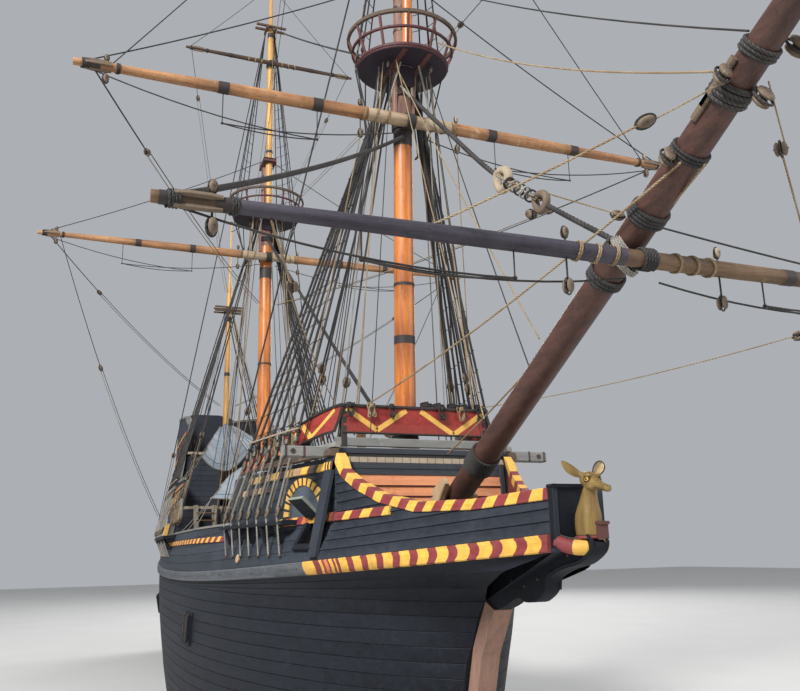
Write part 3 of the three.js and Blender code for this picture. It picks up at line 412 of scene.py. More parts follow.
def put(tree, kind, inputs=None, **settings):
    """Adds a node. An input is a number, a colour or another node's output."""
    node = tree.nodes.new(kind)
    for key, value in settings.items():
        setattr(node, key, value)
    for key, value in (inputs or {}).items():
        if isinstance(value, bpy.types.NodeSocket):
            tree.links.new(value, node.inputs[key])
        else:
            node.inputs[key].default_value = value
    return node


# Blender numbers the sockets of its mix node: the share, then two colours, and the colour that comes out
MIX_SHARE, MIX_FIRST, MIX_SECOND, MIX_RESULT = 0, 6, 7, 2


def mixed(tree, share, a, b):
    """A mix of two colours."""
    inputs = {MIX_SHARE: share, MIX_FIRST: a, MIX_SECOND: b}
    return put(tree, "ShaderNodeMix", inputs, data_type="RGBA").outputs[MIX_RESULT]


def maths(tree, operation, a, b=0.0, c=0.0, clamp=False):
    node = put(tree, "ShaderNodeMath", {0: a, 1: b, 2: c}, operation=operation, use_clamp=clamp)
    return node.outputs[0]


def ramp(tree, value, low, high):
    """0 under low, 1 over high."""
    node = put(tree, "ShaderNodeMapRange", {"Value": value, "From Min": low, "From Max": high}, clamp=True)
    return node.outputs["Result"]


def stretched(tree, vector, scale):
    return put(tree, "ShaderNodeMapping", {"Vector": vector, "Scale": scale}).outputs["Vector"]


def noise(tree, vector, scale, detail, rough):
    settings = {"Vector": vector, "Scale": scale, "Detail": detail, "Roughness": rough}
    return put(tree, "ShaderNodeTexNoise", settings).outputs["Fac"]


def new_group(name, inputs, outputs):
    """An empty effect with its named ways in and out. Gives the group and its two end nodes."""
    tree = bpy.data.node_groups.new(name, "ShaderNodeTree")
    for label, kind, value in inputs:
        socket = tree.interface.new_socket(label, in_out="INPUT", socket_type=kind)
        if value is not None:
            socket.default_value = value
    for label, kind in outputs:
        tree.interface.new_socket(label, in_out="OUTPUT", socket_type=kind)
    return tree, tree.nodes.new("NodeGroupInput").outputs, tree.nodes.new("NodeGroupOutput").inputs


FLOAT, VECTOR = "NodeSocketFloat", "NodeSocketVector"


def build_wood_grain():
    """Long fibres with darker streaks and drying cracks. The place comes in squeezed along the grain."""
    tree, inlet, outlet = new_group(
        "wood_grain", [("Place", VECTOR, None), ("Fineness", FLOAT, 14.0)],
        [("Fibre", FLOAT), ("Streak", FLOAT), ("Crack", FLOAT), ("Height", FLOAT)])
    fibre = noise(tree, inlet["Place"], maths(tree, "MULTIPLY", inlet["Fineness"], 4.0), 6.0, 0.7)
    streak = noise(tree, inlet["Place"], inlet["Fineness"], 3.0, 0.5)
    split = noise(tree, inlet["Place"], maths(tree, "MULTIPLY", inlet["Fineness"], 1.7), 2.0, 0.4)
    crack = ramp(tree, maths(tree, "ABSOLUTE", maths(tree, "SUBTRACT", split, 0.5)), 0.006, 0.0)
    height = maths(tree, "SUBTRACT", fibre, maths(tree, "MULTIPLY", crack, 0.8))
    for label, value in (("Fibre", fibre), ("Streak", streak), ("Crack", crack), ("Height", height)):
        tree.links.new(value, outlet[label])
    return tree


def build_edge_wear_and_hollow_shade():
    """Where paint rubs off: raised edges, scuffed patches; and painted shade and grime in hollows."""
    tree, inlet, outlet = new_group(
        "edge_wear", [("Place", VECTOR, None), ("Amount", FLOAT, 0.5)],
        [("Worn", FLOAT), ("Hollow Shade And Dirt", FLOAT), ("Fade", FLOAT)])
    pointed = tree.nodes.new("ShaderNodeNewGeometry").outputs["Pointiness"]
    rough = noise(tree, inlet["Place"], 9.0, 8.0, 0.65)
    patch = noise(tree, inlet["Place"], 1.3, 5.0, 0.6)
    edge = ramp(tree, maths(tree, "MULTIPLY_ADD", rough, 0.12, pointed), 0.575, 0.62)
    level = maths(tree, "MULTIPLY_ADD", inlet["Amount"], -0.25, 0.78)
    scuff = ramp(tree, maths(tree, "MULTIPLY_ADD", rough, 0.45, maths(tree, "MULTIPLY", patch, 0.7)), 0.0,
                 1.0)
    tree.links.new(level, scuff.node.inputs["From Min"])
    tree.links.new(maths(tree, "ADD", level, 0.05), scuff.node.inputs["From Max"])
    worn = maths(tree, "MAXIMUM", scuff, maths(tree, "MULTIPLY", edge, inlet["Amount"]))
    # Hollows darken: painted shade, standing also for grime gathered there.
    hollow = ramp(tree, pointed, 0.5, 0.44)
    hollow_shade_and_dirt = maths(tree, "MULTIPLY", hollow, maths(tree, "MULTIPLY_ADD", rough, 0.8, 0.3), clamp=True)
    for label, value in (("Worn", worn), ("Hollow Shade And Dirt", hollow_shade_and_dirt), ("Fade", patch)):
        tree.links.new(value, outlet[label])
    return tree


def build_plank_rows():
    """Planks laid edge to edge: the seams between them and a shade for each plank."""
    tree, inlet, outlet = new_group("plank_rows", [("Run", VECTOR, None), ("Width", FLOAT, 0.2),
                                                   ("Length", FLOAT, 5.0), ("Seam", FLOAT, 0.008)],
                                    [("Seam", FLOAT), ("Tone", FLOAT), ("Height", FLOAT)])
    bricks = put(tree, "ShaderNodeTexBrick", {"Vector": inlet["Run"], "Color1": (0, 0, 0, 1),
                                              "Color2": (1, 1, 1, 1), "Mortar": (0.5, 0.5, 0.5, 1),
                                              "Scale": 1.0, "Mortar Size": inlet["Seam"],
                                              "Mortar Smooth": 0.25, "Bias": 0.0,
                                              "Brick Width": inlet["Length"], "Row Height": inlet["Width"]},
                 offset=0.37, squash=1.0)
    tree.links.new(bricks.outputs["Fac"], outlet["Seam"])
    tree.links.new(bricks.outputs["Color"], outlet["Tone"])
    tree.links.new(maths(tree, "SUBTRACT", 1.0, bricks.outputs["Fac"]), outlet["Height"])
    return tree


def build_rain_streaks():
    """Pale and dark runs that water leaves down an upright face."""
    tree, inlet, outlet = new_group("rain_streaks", [("Place", VECTOR, None)],
                                    [("Pale", FLOAT), ("Dark", FLOAT)])
    runs = noise(tree, stretched(tree, inlet["Place"], (3.2, 3.2, 0.35)), 1.6, 5.0, 0.62)
    tree.links.new(ramp(tree, runs, 0.56, 0.74), outlet["Pale"])
    tree.links.new(ramp(tree, runs, 0.46, 0.3), outlet["Dark"])
    return tree


def build_rope_lay():
    """Three strands laid round each other, with loose yarn fibres and a mask of the grooves for painted
    shade.
    """
    tree, inlet, outlet = new_group("rope_lay", [("Run", VECTOR, None), ("Turn", FLOAT, 0.15)],
                                    [("Height", FLOAT), ("Groove Shade", FLOAT), ("Yarn", FLOAT)])
    parts = put(tree, "ShaderNodeSeparateXYZ", {"Vector": inlet["Run"]}).outputs
    turns = maths(tree, "DIVIDE", parts["X"], inlet["Turn"])
    phase = maths(tree, "FRACT", maths(tree, "MULTIPLY", maths(tree, "SUBTRACT", parts["Y"], turns), 3.0))
    crown = maths(tree, "SINE", maths(tree, "MULTIPLY", phase, math.pi))
    yarn = noise(tree, stretched(tree, inlet["Run"], (90.0, 24.0, 1.0)), 1.0, 3.0, 0.6)
    tree.links.new(maths(tree, "MULTIPLY_ADD", yarn, 0.25, crown), outlet["Height"])
    # Groove Shade is 1 down between the strands, where painted shade goes.
    tree.links.new(ramp(tree, crown, 0.5, 0.05), outlet["Groove Shade"])
    tree.links.new(yarn, outlet["Yarn"])
    return tree


def build_canvas_weave():
    """Threads over and under each other."""
    tree, inlet, outlet = new_group("canvas_weave", [("Run", VECTOR, None), ("Threads", FLOAT, 350.0)],
                                    [("Height", FLOAT)])
    parts = put(tree, "ShaderNodeSeparateXYZ", {"Vector": inlet["Run"]}).outputs
    warp = maths(tree, "SINE", maths(tree, "MULTIPLY", parts["X"], inlet["Threads"]))
    weft = maths(tree, "SINE", maths(tree, "MULTIPLY", parts["Y"], inlet["Threads"]))
    tree.links.new(maths(tree, "MULTIPLY", warp, weft), outlet["Height"])
    return tree


EFFECTS = {
    "grain": build_wood_grain(), "wear": build_edge_wear_and_hollow_shade(), "planks": build_plank_rows(),
    "rain": build_rain_streaks(), "lay": build_rope_lay(), "weave": build_canvas_weave(),
}


def effect(tree, name, inputs):
    """The outputs of one of the shared effects, placed in a material with its own values."""
    return put(tree, "ShaderNodeGroup", inputs, node_tree=EFFECTS[name]).outputs


def new_material(name):
    """Gives an empty material, its tree, its shader, the place on the model and the run over the piece."""
    material = bpy.data.materials.new(name)
    material.use_nodes = True
    tree = material.node_tree
    shader = next(node for node in tree.nodes if node.type == "BSDF_PRINCIPLED")
    place = put(tree, "ShaderNodeTexCoord").outputs["Object"]
    run = put(tree, "ShaderNodeUVMap", uv_map="run").outputs["UV"]
    return material, tree, shader, place, run


def raise_by(tree, shader, height, distance):
    """Bumps the surface by a height, whose whole range is a distance in metres."""
    before = shader.inputs["Normal"].links
    inputs = {"Height": height, "Distance": distance, "Strength": 1.0}
    if before:
        inputs["Normal"] = before[0].from_socket
    tree.links.new(put(tree, "ShaderNodeBump", inputs).outputs["Normal"], shader.inputs["Normal"])


def colour(r, g, b):
    """A colour named by its 0 to 255 parts, made linear."""
    return tuple((v / 255 / 12.92 if v <= 10 else ((v / 255 + 0.055) / 1.055) ** 2.4) for v in (r, g,
            b)) + (1.0,)


def lying(tree, place, lie):
    """The run along and across planks that lie on a deck, athwart a wall, upright or athwart a deck."""
    parts = put(tree, "ShaderNodeSeparateXYZ", {"Vector": place}).outputs
    first, second = {"deck": "XY", "across": "YZ", "upright": "ZY", "slats": "YX"}[lie]
    return put(tree, "ShaderNodeCombineXYZ", {"X": parts[first], "Y": parts[second]}).outputs["Vector"]


def timber(name, fresh, aged, grain_scale, fineness, rough, wear, dark, seam=(20, 19, 20), coat=0.0,
           planks=None, lie=None, spread=0.35, bump=0.0025, streaks=0.25, shine=0.3):
    """Wood, painted or bare, with its grain, planks, worn edges, rain marks, and shade and grime painted in
    hollows.

    Its hues are those of fresh and of aged wood, of the dark streaks and of the seams. rough is the least and
    the most roughness. planks gives their width, length and seam, and lie tells how they lie on a piece that
    the model made, which has no run over it.
    """
    material, tree, shader, place, run = new_material(name)
    fresh, aged, dark, seam = (colour(*hue) for hue in (fresh, aged, dark, seam))
    grain = effect(tree, "grain", {"Place": stretched(tree, place, grain_scale), "Fineness": fineness})
    wear_and_shade_of = effect(tree, "wear", {"Place": place, "Amount": wear})
    rain = effect(tree, "rain", {"Place": place})
    shade = mixed(tree, ramp(tree, grain["Streak"], 0.36, 0.64), dark, fresh)
    shade = mixed(tree, maths(tree, "MULTIPLY", wear_and_shade_of["Fade"], spread), shade, aged)
    shade = mixed(tree, maths(tree, "MULTIPLY", rain["Dark"], streaks), shade, seam)
    shade = mixed(tree, maths(tree, "MULTIPLY", rain["Pale"], streaks * 0.6), shade, aged)
    if planks:
        width, length, line = planks
        rows = effect(tree, "planks", {"Run": lying(tree, place, lie) if lie else run, "Width": width,
                                       "Length": length, "Seam": line})
        shade = mixed(tree, maths(tree, "MULTIPLY", rows["Tone"], spread), shade, aged)
        shade = mixed(tree, rows["Seam"], shade, seam)
        raise_by(tree, shader, rows["Height"], 0.008)
    shade = mixed(tree, maths(tree, "MULTIPLY", grain["Crack"], 0.7), shade, seam)
    shade = mixed(tree, wear_and_shade_of["Worn"], shade, aged)
    # Painted shade, with grime, darkens the hollows to the seam hue.
    shade = mixed(tree, wear_and_shade_of["Hollow Shade And Dirt"], shade, seam)
    tree.links.new(shade, shader.inputs["Base Color"])
    low, high = rough
    roughness = maths(tree, "MULTIPLY_ADD", grain["Fibre"], (high - low) * 0.8, low)
    roughness = maths(tree, "MULTIPLY_ADD", wear_and_shade_of["Worn"], 0.2, roughness, clamp=True)
    tree.links.new(roughness, shader.inputs["Roughness"])
    shader.inputs["Specular IOR Level"].default_value = shine
    if coat:
        shader.inputs["Coat Weight"].default_value = coat
        shader.inputs["Coat Roughness"].default_value = 0.3
    raise_by(tree, shader, grain["Height"], bump)
    return material


# Grain squeezed along the keel, across the ship, and up a mast
FORE_AND_AFT = (0.07, 1.0, 1.0)
ATHWART = (1.0, 0.07, 1.0)
UPRIGHT = (1.0, 1.0, 0.07)

TARRED = timber("tarred_planking", (20, 22, 28), (38, 42, 50), FORE_AND_AFT, 16, (0.45, 0.78), 0.2,
                dark=(13, 14, 19), spread=0.3, streaks=0.3, shine=0.15)
SLATE = timber("slate_planking", (33, 37, 45), (58, 63, 71), FORE_AND_AFT, 16, (0.5, 0.8), 0.35,
               dark=(23, 26, 33), spread=0.35, streaks=0.35, shine=0.2)
BLACK_BOARD = timber("black_boards", (36, 40, 48), (66, 70, 76), ATHWART, 16, (0.5, 0.8), 0.4,
                     dark=(25, 28, 34))
YELLOW = timber("yellow_paint", (226, 176, 66), (196, 158, 96), FORE_AND_AFT, 18, (0.45, 0.7), 0.35,
                dark=(206, 152, 48), seam=(96, 66, 40), spread=0.4, bump=0.0015)
MAROON = timber("maroon_paint", (136, 44, 52), (118, 72, 66), FORE_AND_AFT, 18, (0.45, 0.7), 0.4,
                dark=(112, 34, 42), seam=(52, 24, 26), spread=0.4, bump=0.0015)
ORANGE_BAND = timber("orange_paint", (206, 116, 62), (176, 122, 88), FORE_AND_AFT, 18, (0.45, 0.7), 0.4,
                     dark=(186, 92, 48), seam=(90, 44, 30), spread=0.4, bump=0.0015)
RED = timber("red_paint", (152, 46, 40), (128, 62, 52), FORE_AND_AFT, 14, (0.42, 0.68), 0.35,
             dark=(128, 36, 34), seam=(58, 24, 24), spread=0.4, bump=0.0015)
INNER_RED = timber("inner_red_paint", (128, 50, 42), (110, 66, 54), FORE_AND_AFT, 14, (0.5, 0.75), 0.4,
                   dark=(104, 38, 34), seam=(46, 22, 22), planks=(0.2, 4.2, 0.006))
CLAPBOARD = timber("orange_clapboards", (218, 132, 84), (196, 150, 116), ATHWART, 12, (0.45, 0.7), 0.3,
                   dark=(198, 112, 66), seam=(104, 42, 34), spread=0.45)
# Strips under each lapped board of the forecastle front: painted shade of the gaps.
GAP_SHADE_RED = timber("painted_shade_under_laps", (96, 30, 32), (80, 44, 40), ATHWART, 12, (0.5, 0.8), 0.3,
                  dark=(70, 22, 24))
GREY_WOOD = timber("grey_weathered_wood", (104, 104, 102), (140, 136, 128), FORE_AND_AFT, 18, (0.6, 0.9),
                   0.5, dark=(74, 74, 74), seam=(42, 40, 40), spread=0.5, bump=0.004)
DARK_GREY_WOOD = timber("dark_grey_wale", (72, 76, 82), (104, 106, 108), FORE_AND_AFT, 18, (0.6, 0.9), 0.4,
                   dark=(50, 53, 58), seam=(34, 34, 36), spread=0.45, bump=0.004)
INNER_DARK = timber("dark_inner_boards", (34, 38, 46), (62, 66, 72), FORE_AND_AFT, 14, (0.5, 0.8), 0.35,
                    dark=(24, 27, 34), seam=(14, 15, 18), planks=(0.2, 4.2, 0.006), shine=0.2)
GREY_ACROSS = timber("grey_weathered_beam", (98, 102, 106), (136, 134, 128), ATHWART, 18, (0.6, 0.9), 0.5,
                     dark=(70, 74, 78), seam=(42, 40, 40), spread=0.5, bump=0.004)
BROWN_PLANK = timber("dark_brown_plank", (62, 50, 46), (96, 80, 68), FORE_AND_AFT, 16, (0.55, 0.85), 0.5,
                     dark=(42, 34, 32), seam=(24, 20, 20), spread=0.4, bump=0.003)
TAN_WOOD = timber("tan_chock_wood", (170, 136, 96), (190, 166, 134), UPRIGHT, 12, (0.5, 0.8), 0.4,
                  dark=(128, 96, 64), seam=(60, 44, 34), spread=0.4)
SPRIT_DARK = timber("dark_blue_grey_yard", (52, 50, 62), (84, 78, 84), ATHWART, 12, (0.5, 0.8), 0.3,
                    dark=(36, 34, 44), seam=(20, 20, 24), spread=0.4, bump=0.004)
SPRIT_BROWN = timber("brown_yard", (108, 82, 58), (134, 112, 86), ATHWART, 12, (0.5, 0.8), 0.3,
                     dark=(72, 52, 38), seam=(34, 26, 22), spread=0.45, bump=0.004)
DECK = timber("deck_planking", (150, 132, 108), (176, 164, 144), FORE_AND_AFT, 18, (0.6, 0.9), 0.3,
              dark=(118, 100, 80), seam=(30, 26, 24), planks=(0.16, 5.2, 0.007), spread=0.45)
VARNISHED = timber("varnished_mast", (206, 122, 50), (180, 128, 78), UPRIGHT, 11, (0.28, 0.5), 0.12,
                   coat=0.25, dark=(158, 78, 30), seam=(74, 38, 20), spread=0.35, bump=0.0035, streaks=0.2)
MIZZEN_PINE = timber("yellow_varnished_mast", (206, 158, 84), (186, 152, 100), UPRIGHT, 11, (0.3, 0.55),
                     0.15, coat=0.2, dark=(170, 118, 56), seam=(84, 52, 26), spread=0.35, bump=0.003)
MAST_FOOT = timber("reddish_mast_foot", (134, 70, 46), (130, 88, 66), UPRIGHT, 11, (0.35, 0.6), 0.3,
                   coat=0.1, dark=(98, 46, 32), seam=(50, 28, 20))
YARD_WOOD = timber("weathered_yard", (162, 112, 70), (178, 146, 112), ATHWART, 12, (0.45, 0.75), 0.35,
                   dark=(110, 66, 40), seam=(54, 34, 24), spread=0.45, bump=0.004)
YARD_PALE = timber("pale_yard", (150, 126, 98), (176, 160, 138), ATHWART, 12, (0.5, 0.8), 0.4,
                   dark=(106, 84, 62), seam=(50, 38, 30), spread=0.45, bump=0.004)
DARK_YARD = timber("dark_thin_yard", (66, 48, 38), (100, 78, 60), ATHWART, 12, (0.5, 0.8), 0.4,
                   dark=(44, 32, 26))
BOWSPRIT_WOOD = timber("brown_bowsprit", (70, 44, 38), (104, 72, 60), FORE_AND_AFT, 10, (0.4, 0.7), 0.2,
                       coat=0.1, dark=(44, 28, 26), seam=(26, 18, 18), spread=0.4, bump=0.004)
BLACK_PAINT = timber("black_mast_band", (32, 30, 32), (66, 58, 54), UPRIGHT, 14, (0.4, 0.65), 0.35,
                     dark=(22, 20, 22), bump=0.0015)
TOP_WOOD = timber("dark_top_wood", (74, 38, 38), (104, 66, 60), UPRIGHT, 12, (0.45, 0.75), 0.4,
                  dark=(46, 26, 28), seam=(22, 18, 18), spread=0.4)
TOP_FLOOR = timber("dark_top_floor", (34, 26, 36), (54, 44, 54), FORE_AND_AFT, 12, (0.5, 0.8), 0.2,
                   dark=(26, 20, 28), seam=(14, 12, 16))
TOP_DARK = timber("dark_red_top_rim", (70, 30, 36), (92, 56, 56), UPRIGHT, 12, (0.45, 0.75), 0.3,
                  dark=(46, 22, 28), seam=(20, 16, 18), spread=0.3)
STEM_WOOD = timber("pinkish_brown_stem", (128, 92, 80), (150, 120, 104), UPRIGHT, 10, (0.55, 0.85), 0.4,
                   dark=(88, 62, 56), seam=(40, 30, 30), spread=0.5, bump=0.004)
LID_GREEN = timber("greenish_lid_edge", (110, 124, 112), (140, 146, 132), FORE_AND_AFT, 14, (0.5, 0.8), 0.4,
                   dark=(84, 98, 90), seam=(40, 44, 42))
BLOCK_WOOD = timber("dark_block_wood", (70, 56, 48), (120, 104, 86), UPRIGHT, 20, (0.4, 0.7), 0.5,
                    dark=(44, 36, 32), seam=(26, 22, 20))
PALE_BLOCK = timber("pale_block_wood", (146, 130, 108), (170, 156, 136), UPRIGHT, 20, (0.5, 0.8), 0.4,
                    dark=(106, 90, 72), seam=(50, 42, 36))
NICHE_BLUE = timber("blue_grey_niche", (62, 72, 84), (88, 96, 104), FORE_AND_AFT, 14, (0.5, 0.8), 0.35,
                    dark=(44, 52, 62))
FIGURE_GOLD = timber("figurehead_khaki_gold", (138, 112, 60), (128, 106, 66), UPRIGHT, 7, (0.4, 0.65), 0.3,
                     dark=(98, 76, 40), seam=(70, 54, 34), spread=0.55, bump=0.003)
FIGURE_DARK = timber("figurehead_dark_lines", (44, 34, 30), (70, 54, 40), UPRIGHT, 10, (0.4, 0.6), 0.2,
                     dark=(30, 24, 22), bump=0.001)
# Near black, as painted shade: the lining of the ports and the holes of blocks and deadeyes.
PAINTED_SHADE_INSIDE = timber("dark_port_inside", (14, 14, 16), (26, 26, 28), FORE_AND_AFT, 10, (0.7, 0.9), 0.1,
                     dark=(9, 9, 11), seam=(6, 6, 7))


def iron_material():
    """Black iron with rust in its pits."""
    material, tree, shader, place, _ = new_material("rusty_black_iron")
    wear_and_shade_of = effect(tree, "wear", {"Place": place, "Amount": 0.6})
    pits = noise(tree, place, 60.0, 5.0, 0.6)
    rust = ramp(tree, maths(tree, "MULTIPLY_ADD", pits, 0.5, maths(tree, "MULTIPLY", wear_and_shade_of["Fade"], 0.6)),
                0.5, 0.7)
    shade = mixed(tree, rust, colour(34, 34, 37), colour(86, 50, 34))
    shade = mixed(tree, wear_and_shade_of["Worn"], shade, colour(92, 78, 70))
    tree.links.new(shade, shader.inputs["Base Color"])
    tree.links.new(maths(tree, "MULTIPLY_ADD", rust, 0.3, 0.45), shader.inputs["Roughness"])
    tree.links.new(maths(tree, "MULTIPLY_ADD", rust, -0.7, 0.8), shader.inputs["Metallic"])
    raise_by(tree, shader, pits, 0.0015)
    return material


def rope_material(name, *hues):
    """Laid rope. Its hues are those of strands, of painted shade in the grooves and of bleached rope."""
    material, tree, shader, place, run = new_material(name)
    strand, groove, bleached = (colour(*hue_parts) for hue_parts in hues)
    lay = effect(tree, "lay", {"Run": run, "Turn": LAY_LENGTH})
    patch = noise(tree, place, 2.2, 4.0, 0.6)
    shade = mixed(tree, ramp(tree, patch, 0.4, 0.66), strand, bleached)
    shade = mixed(tree, maths(tree, "MULTIPLY", lay["Yarn"], 0.5), shade, groove)
    # Painted shade: the grooves between the strands darken to the groove hue.
    shade = mixed(tree, lay["Groove Shade"], shade, groove)
    tree.links.new(shade, shader.inputs["Base Color"])
    tree.links.new(maths(tree, "MULTIPLY_ADD", lay["Yarn"], 0.3, 0.6), shader.inputs["Roughness"])
    raise_by(tree, shader, lay["Height"], 0.006)
    return material


def canvas_material(name, *hues):
    """Sailcloth. Its hues are those of cloth, of stains, and of dark runs and painted shade in the weave."""
    material, tree, shader, place, run = new_material(name)
    cloth, stained, rain_run_and_weave_shade = (colour(*hue_parts) for hue_parts in hues)
    weave = effect(tree, "weave", {"Run": run, "Threads": 900.0})
    cloud = noise(tree, place, 1.1, 6.0, 0.62)
    creases = noise(tree, stretched(tree, place, (1.4, 0.8, 2.6)), 1.5, 3.0, 0.5)
    rain = effect(tree, "rain", {"Place": place})
    shade = mixed(tree, ramp(tree, cloud, 0.36, 0.68), cloth, stained)
    shade = mixed(tree, maths(tree, "MULTIPLY", rain["Dark"], 0.35), shade, rain_run_and_weave_shade)
    # Painted shade: the weave's relief darkens the cloth a little towards the dark hue.
    shade = mixed(tree, maths(tree, "MULTIPLY_ADD", weave["Height"], 0.06, 0.06), shade, rain_run_and_weave_shade)
    tree.links.new(shade, shader.inputs["Base Color"])
    tree.links.new(maths(tree, "MULTIPLY_ADD", cloud, 0.2, 0.68), shader.inputs["Roughness"])
    shader.inputs["Sheen Weight"].default_value = 0.15
    shader.inputs["Sheen Roughness"].default_value = 0.5
    raise_by(tree, shader, creases, 0.05)
    raise_by(tree, shader, weave["Height"], 0.0004)
    return material


def glass_material():
    """Small leaded panes, dark as painted shade of the cabin behind them."""
    material, tree, shader, place, _ = new_material("old_window_glass")
    ripple = noise(tree, place, 7.0, 3.0, 0.5)
    # Painted shade: the dark hue stands for the unlit cabin behind the glass, with paler ripples.
    shade = mixed(tree, ramp(tree, ripple, 0.3, 0.7), colour(24, 32, 36), colour(52, 62, 64))
    tree.links.new(shade, shader.inputs["Base Color"])
    tree.links.new(maths(tree, "MULTIPLY_ADD", ripple, 0.14, 0.08), shader.inputs["Roughness"])
    raise_by(tree, shader, ripple, 0.01)
    return material


def eye_material(name, *hues):
    """The shiny paint of an eye, with its hue and its rim's."""
    material, tree, shader, place, _ = new_material(name)
    hue, rim = (colour(*hue_parts) for hue_parts in hues)
    speck = noise(tree, place, 40.0, 4.0, 0.6)
    tree.links.new(mixed(tree, ramp(tree, speck, 0.4, 0.7), hue, rim), shader.inputs["Base Color"])
    tree.links.new(maths(tree, "MULTIPLY_ADD", speck, 0.2, 0.15), shader.inputs["Roughness"])
    return material


IRON = iron_material()
TARRED_ROPE = rope_material("tarred_rope", (38, 35, 35), (16, 15, 16), (66, 60, 56))
HEMP_ROPE = rope_material("tan_hemp_rope", (150, 124, 88), (70, 54, 38), (178, 160, 128))
GREY_ROPE = rope_material("grey_lanyard_rope", (134, 128, 118), (62, 58, 54), (176, 172, 162))
CANVAS = canvas_material("blue_grey_canvas", (112, 124, 136), (140, 148, 154), (62, 70, 80))
GLASS = glass_material()
EYE_YELLOW = eye_material("painted_eye_yellow", (214, 168, 54), (180, 132, 44))
EYE_BLACK = eye_material("painted_eye_black", (14, 13, 13), (26, 24, 22))


# Shapes that follow the ship's side

# How far a piece stands off what it sits on, and off the piece at its end
SEAT_GAP = 0.0003
END_GAP = 0.0005
# Directions of a piece that lies across the ship: its length, its width and its height
ACROSS_SHIP = ((0, 1, 0), (1, 0, 0), (0, 0, 1))


def side_point(x, z, side, out):
    """A point on the side at x and z, out from it athwart the ship."""
    x, z, out = np.broadcast_arrays(np.asarray(x, float), np.asarray(z, float), np.asarray(out, float))
    return np.stack([x, side * (half_breadth(x, z) + out), z], axis=-1)


def level(z):
    """A height that is the same all along the ship."""
    return lambda x: z + 0.0 * np.asarray(x, float)


def on_sheer(x):
    """Where a wall's planking starts, just over the deck edge."""
    return sheer(x) + SEAT_GAP


def on_skin(points, x, z, side):
    """Carries points drawn about the origin, with +Y out of the ship, to a place on its side."""
    step = 0.15
    yaw = math.atan(float(half_breadth(x + step, z) - half_breadth(x - step, z)) / (2 * step))
    lean = -math.atan(float(half_breadth(x, z + step) - half_breadth(x, z - step)) / (2 * step))
    turn = np.array(Matrix.Rotation(yaw, 3, "Z") @ Matrix.Rotation(lean, 3, "X"))
    placed = np.asarray(points, float) @ turn.T + np.array([x, float(half_breadth(x, z)), z])
    return placed * np.array([1, side, 1])


def moved(shape, start, carry):
    """Moves every sheet that was added from number start on by a function of its points."""
    shape.points[start:] = [carry(points) for points in shape.points[start:]]


def plank_profile(low, high, width, lap, groove):
    """Heights and depths of a planked face, in planks. lap makes each plank overlap the next."""
    count = max(int(round((high - low) / width)), 1)
    steps = []
    for k in range(count):
        steps += [(k, -groove), (k + 0.05, lap), (k + 0.95, 0.0)]
    return steps + [(count, -groove)], count


def side_wall(shape, xs, low, high, side, thick, width, inner, edge, lap=0.0, groove=0.007):
    """A wall of planks along the ship's side, closed all round. low and high are functions of x."""
    xs = np.asarray(xs, float)
    lows, highs = low(xs), high(xs)
    steps, count = plank_profile(0, float(np.max(highs - lows)), width, lap, groove)
    loop_z, loop_out, loop_run, paints = [], [], [], []
    for k, out in steps:
        loop_z.append(np.minimum(lows + k * width, highs))
        loop_out.append(np.full(len(xs), out))
        loop_run.append(k * width)
        paints.append(0)
    loop_z[-1] = highs
    paints[-1] = edge
    for share in (1, 0.66, 0.33, 0):
        loop_z.append(lows + (highs - lows) * share)
        loop_out.append(np.full(len(xs), -thick))
        loop_run.append(count * width + 0.2 + (1 - share) * 1.2)
        paints.append(inner)
    paints[-1] = edge
    z = np.stack(loop_z, axis=1)
    out = np.stack(loop_out, axis=1)
    x = np.broadcast_to(xs[:, None], z.shape)
    run = np.array(loop_run + [loop_run[-1] + 0.12])
    shape.roll(side_point(x, z, side, out), np.array(paints), grid_of(xs, run), edge)


RAIL_SECTION = [(0.0, 0.0), (0.0, 0.72), (0.07, 0.97), (0.3, 1.0), (0.5, 1.03), (0.7, 1.0), (0.93, 0.97),
                (1.0, 0.72), (1.0, 0.0)]


def rail(shape, edges, paints, low, high, side, proud, depth=0.0, lean=0.0, bulge=0.0, parts=2):
    """A rail along the side, painted in bands between edges. lean slants them, bulge curves their ends."""
    xs = [edges[0]]
    for a, b in zip(edges, edges[1:]):
        xs += list(np.linspace(a, b, parts + 1)[1:])
    xs = np.array(xs)
    share = np.array([s for s, _ in RAIL_SECTION] + [1.0, 0.0])
    out = np.array([o * proud for _, o in RAIL_SECTION] + [-depth, -depth])
    ends = np.minimum(np.minimum(xs - xs[0], xs[-1] - xs) / 0.15, 1.0)[:, None]
    x = xs[:, None] + ends * (lean * (share - 0.5) + bulge * (1 - (2 * share - 1) ** 2))
    z = low(x) + (high(x) - low(x)) * share
    cells = np.repeat(paints, parts)[:, None] * np.ones(len(share), int)
    run = np.concatenate([[0], np.cumsum(np.abs(np.diff(share)) * 0.2 + 0.02), [1.0]])
    shape.roll(side_point(x, z, side, np.broadcast_to(out, z.shape)), cells, grid_of(xs, run))


def plain_rail(shape, xs, paint, low, high, side, proud, depth=0.0):
    """A rail in one paint."""
    rail(shape, xs, [paint] * (len(xs) - 1), low, high, side, proud, depth, parts=1)


def banded_rail(shape, xs, low, high, side, proud, lean):
    """A rail in the third and fourth paints by turns."""
    rail(shape, xs, [(3, 4)[k % 2] for k in range(len(xs) - 1)], low, high, side, proud, lean=lean, parts=1)


def block(shape, centre, size, axes=None, paint=0, chamfer=0.008):
    """A squared piece of wood about a centre. axes are its length, width and height directions."""
    axes = np.eye(3) if axes is None else np.asarray(axes, float)
    half = axes[0] * size[0] / 2
    centre = np.asarray(centre, float)
    beam(shape, [centre - half, centre + half], size[1], size[2], paint, up=axes[2], chamfer=chamfer)


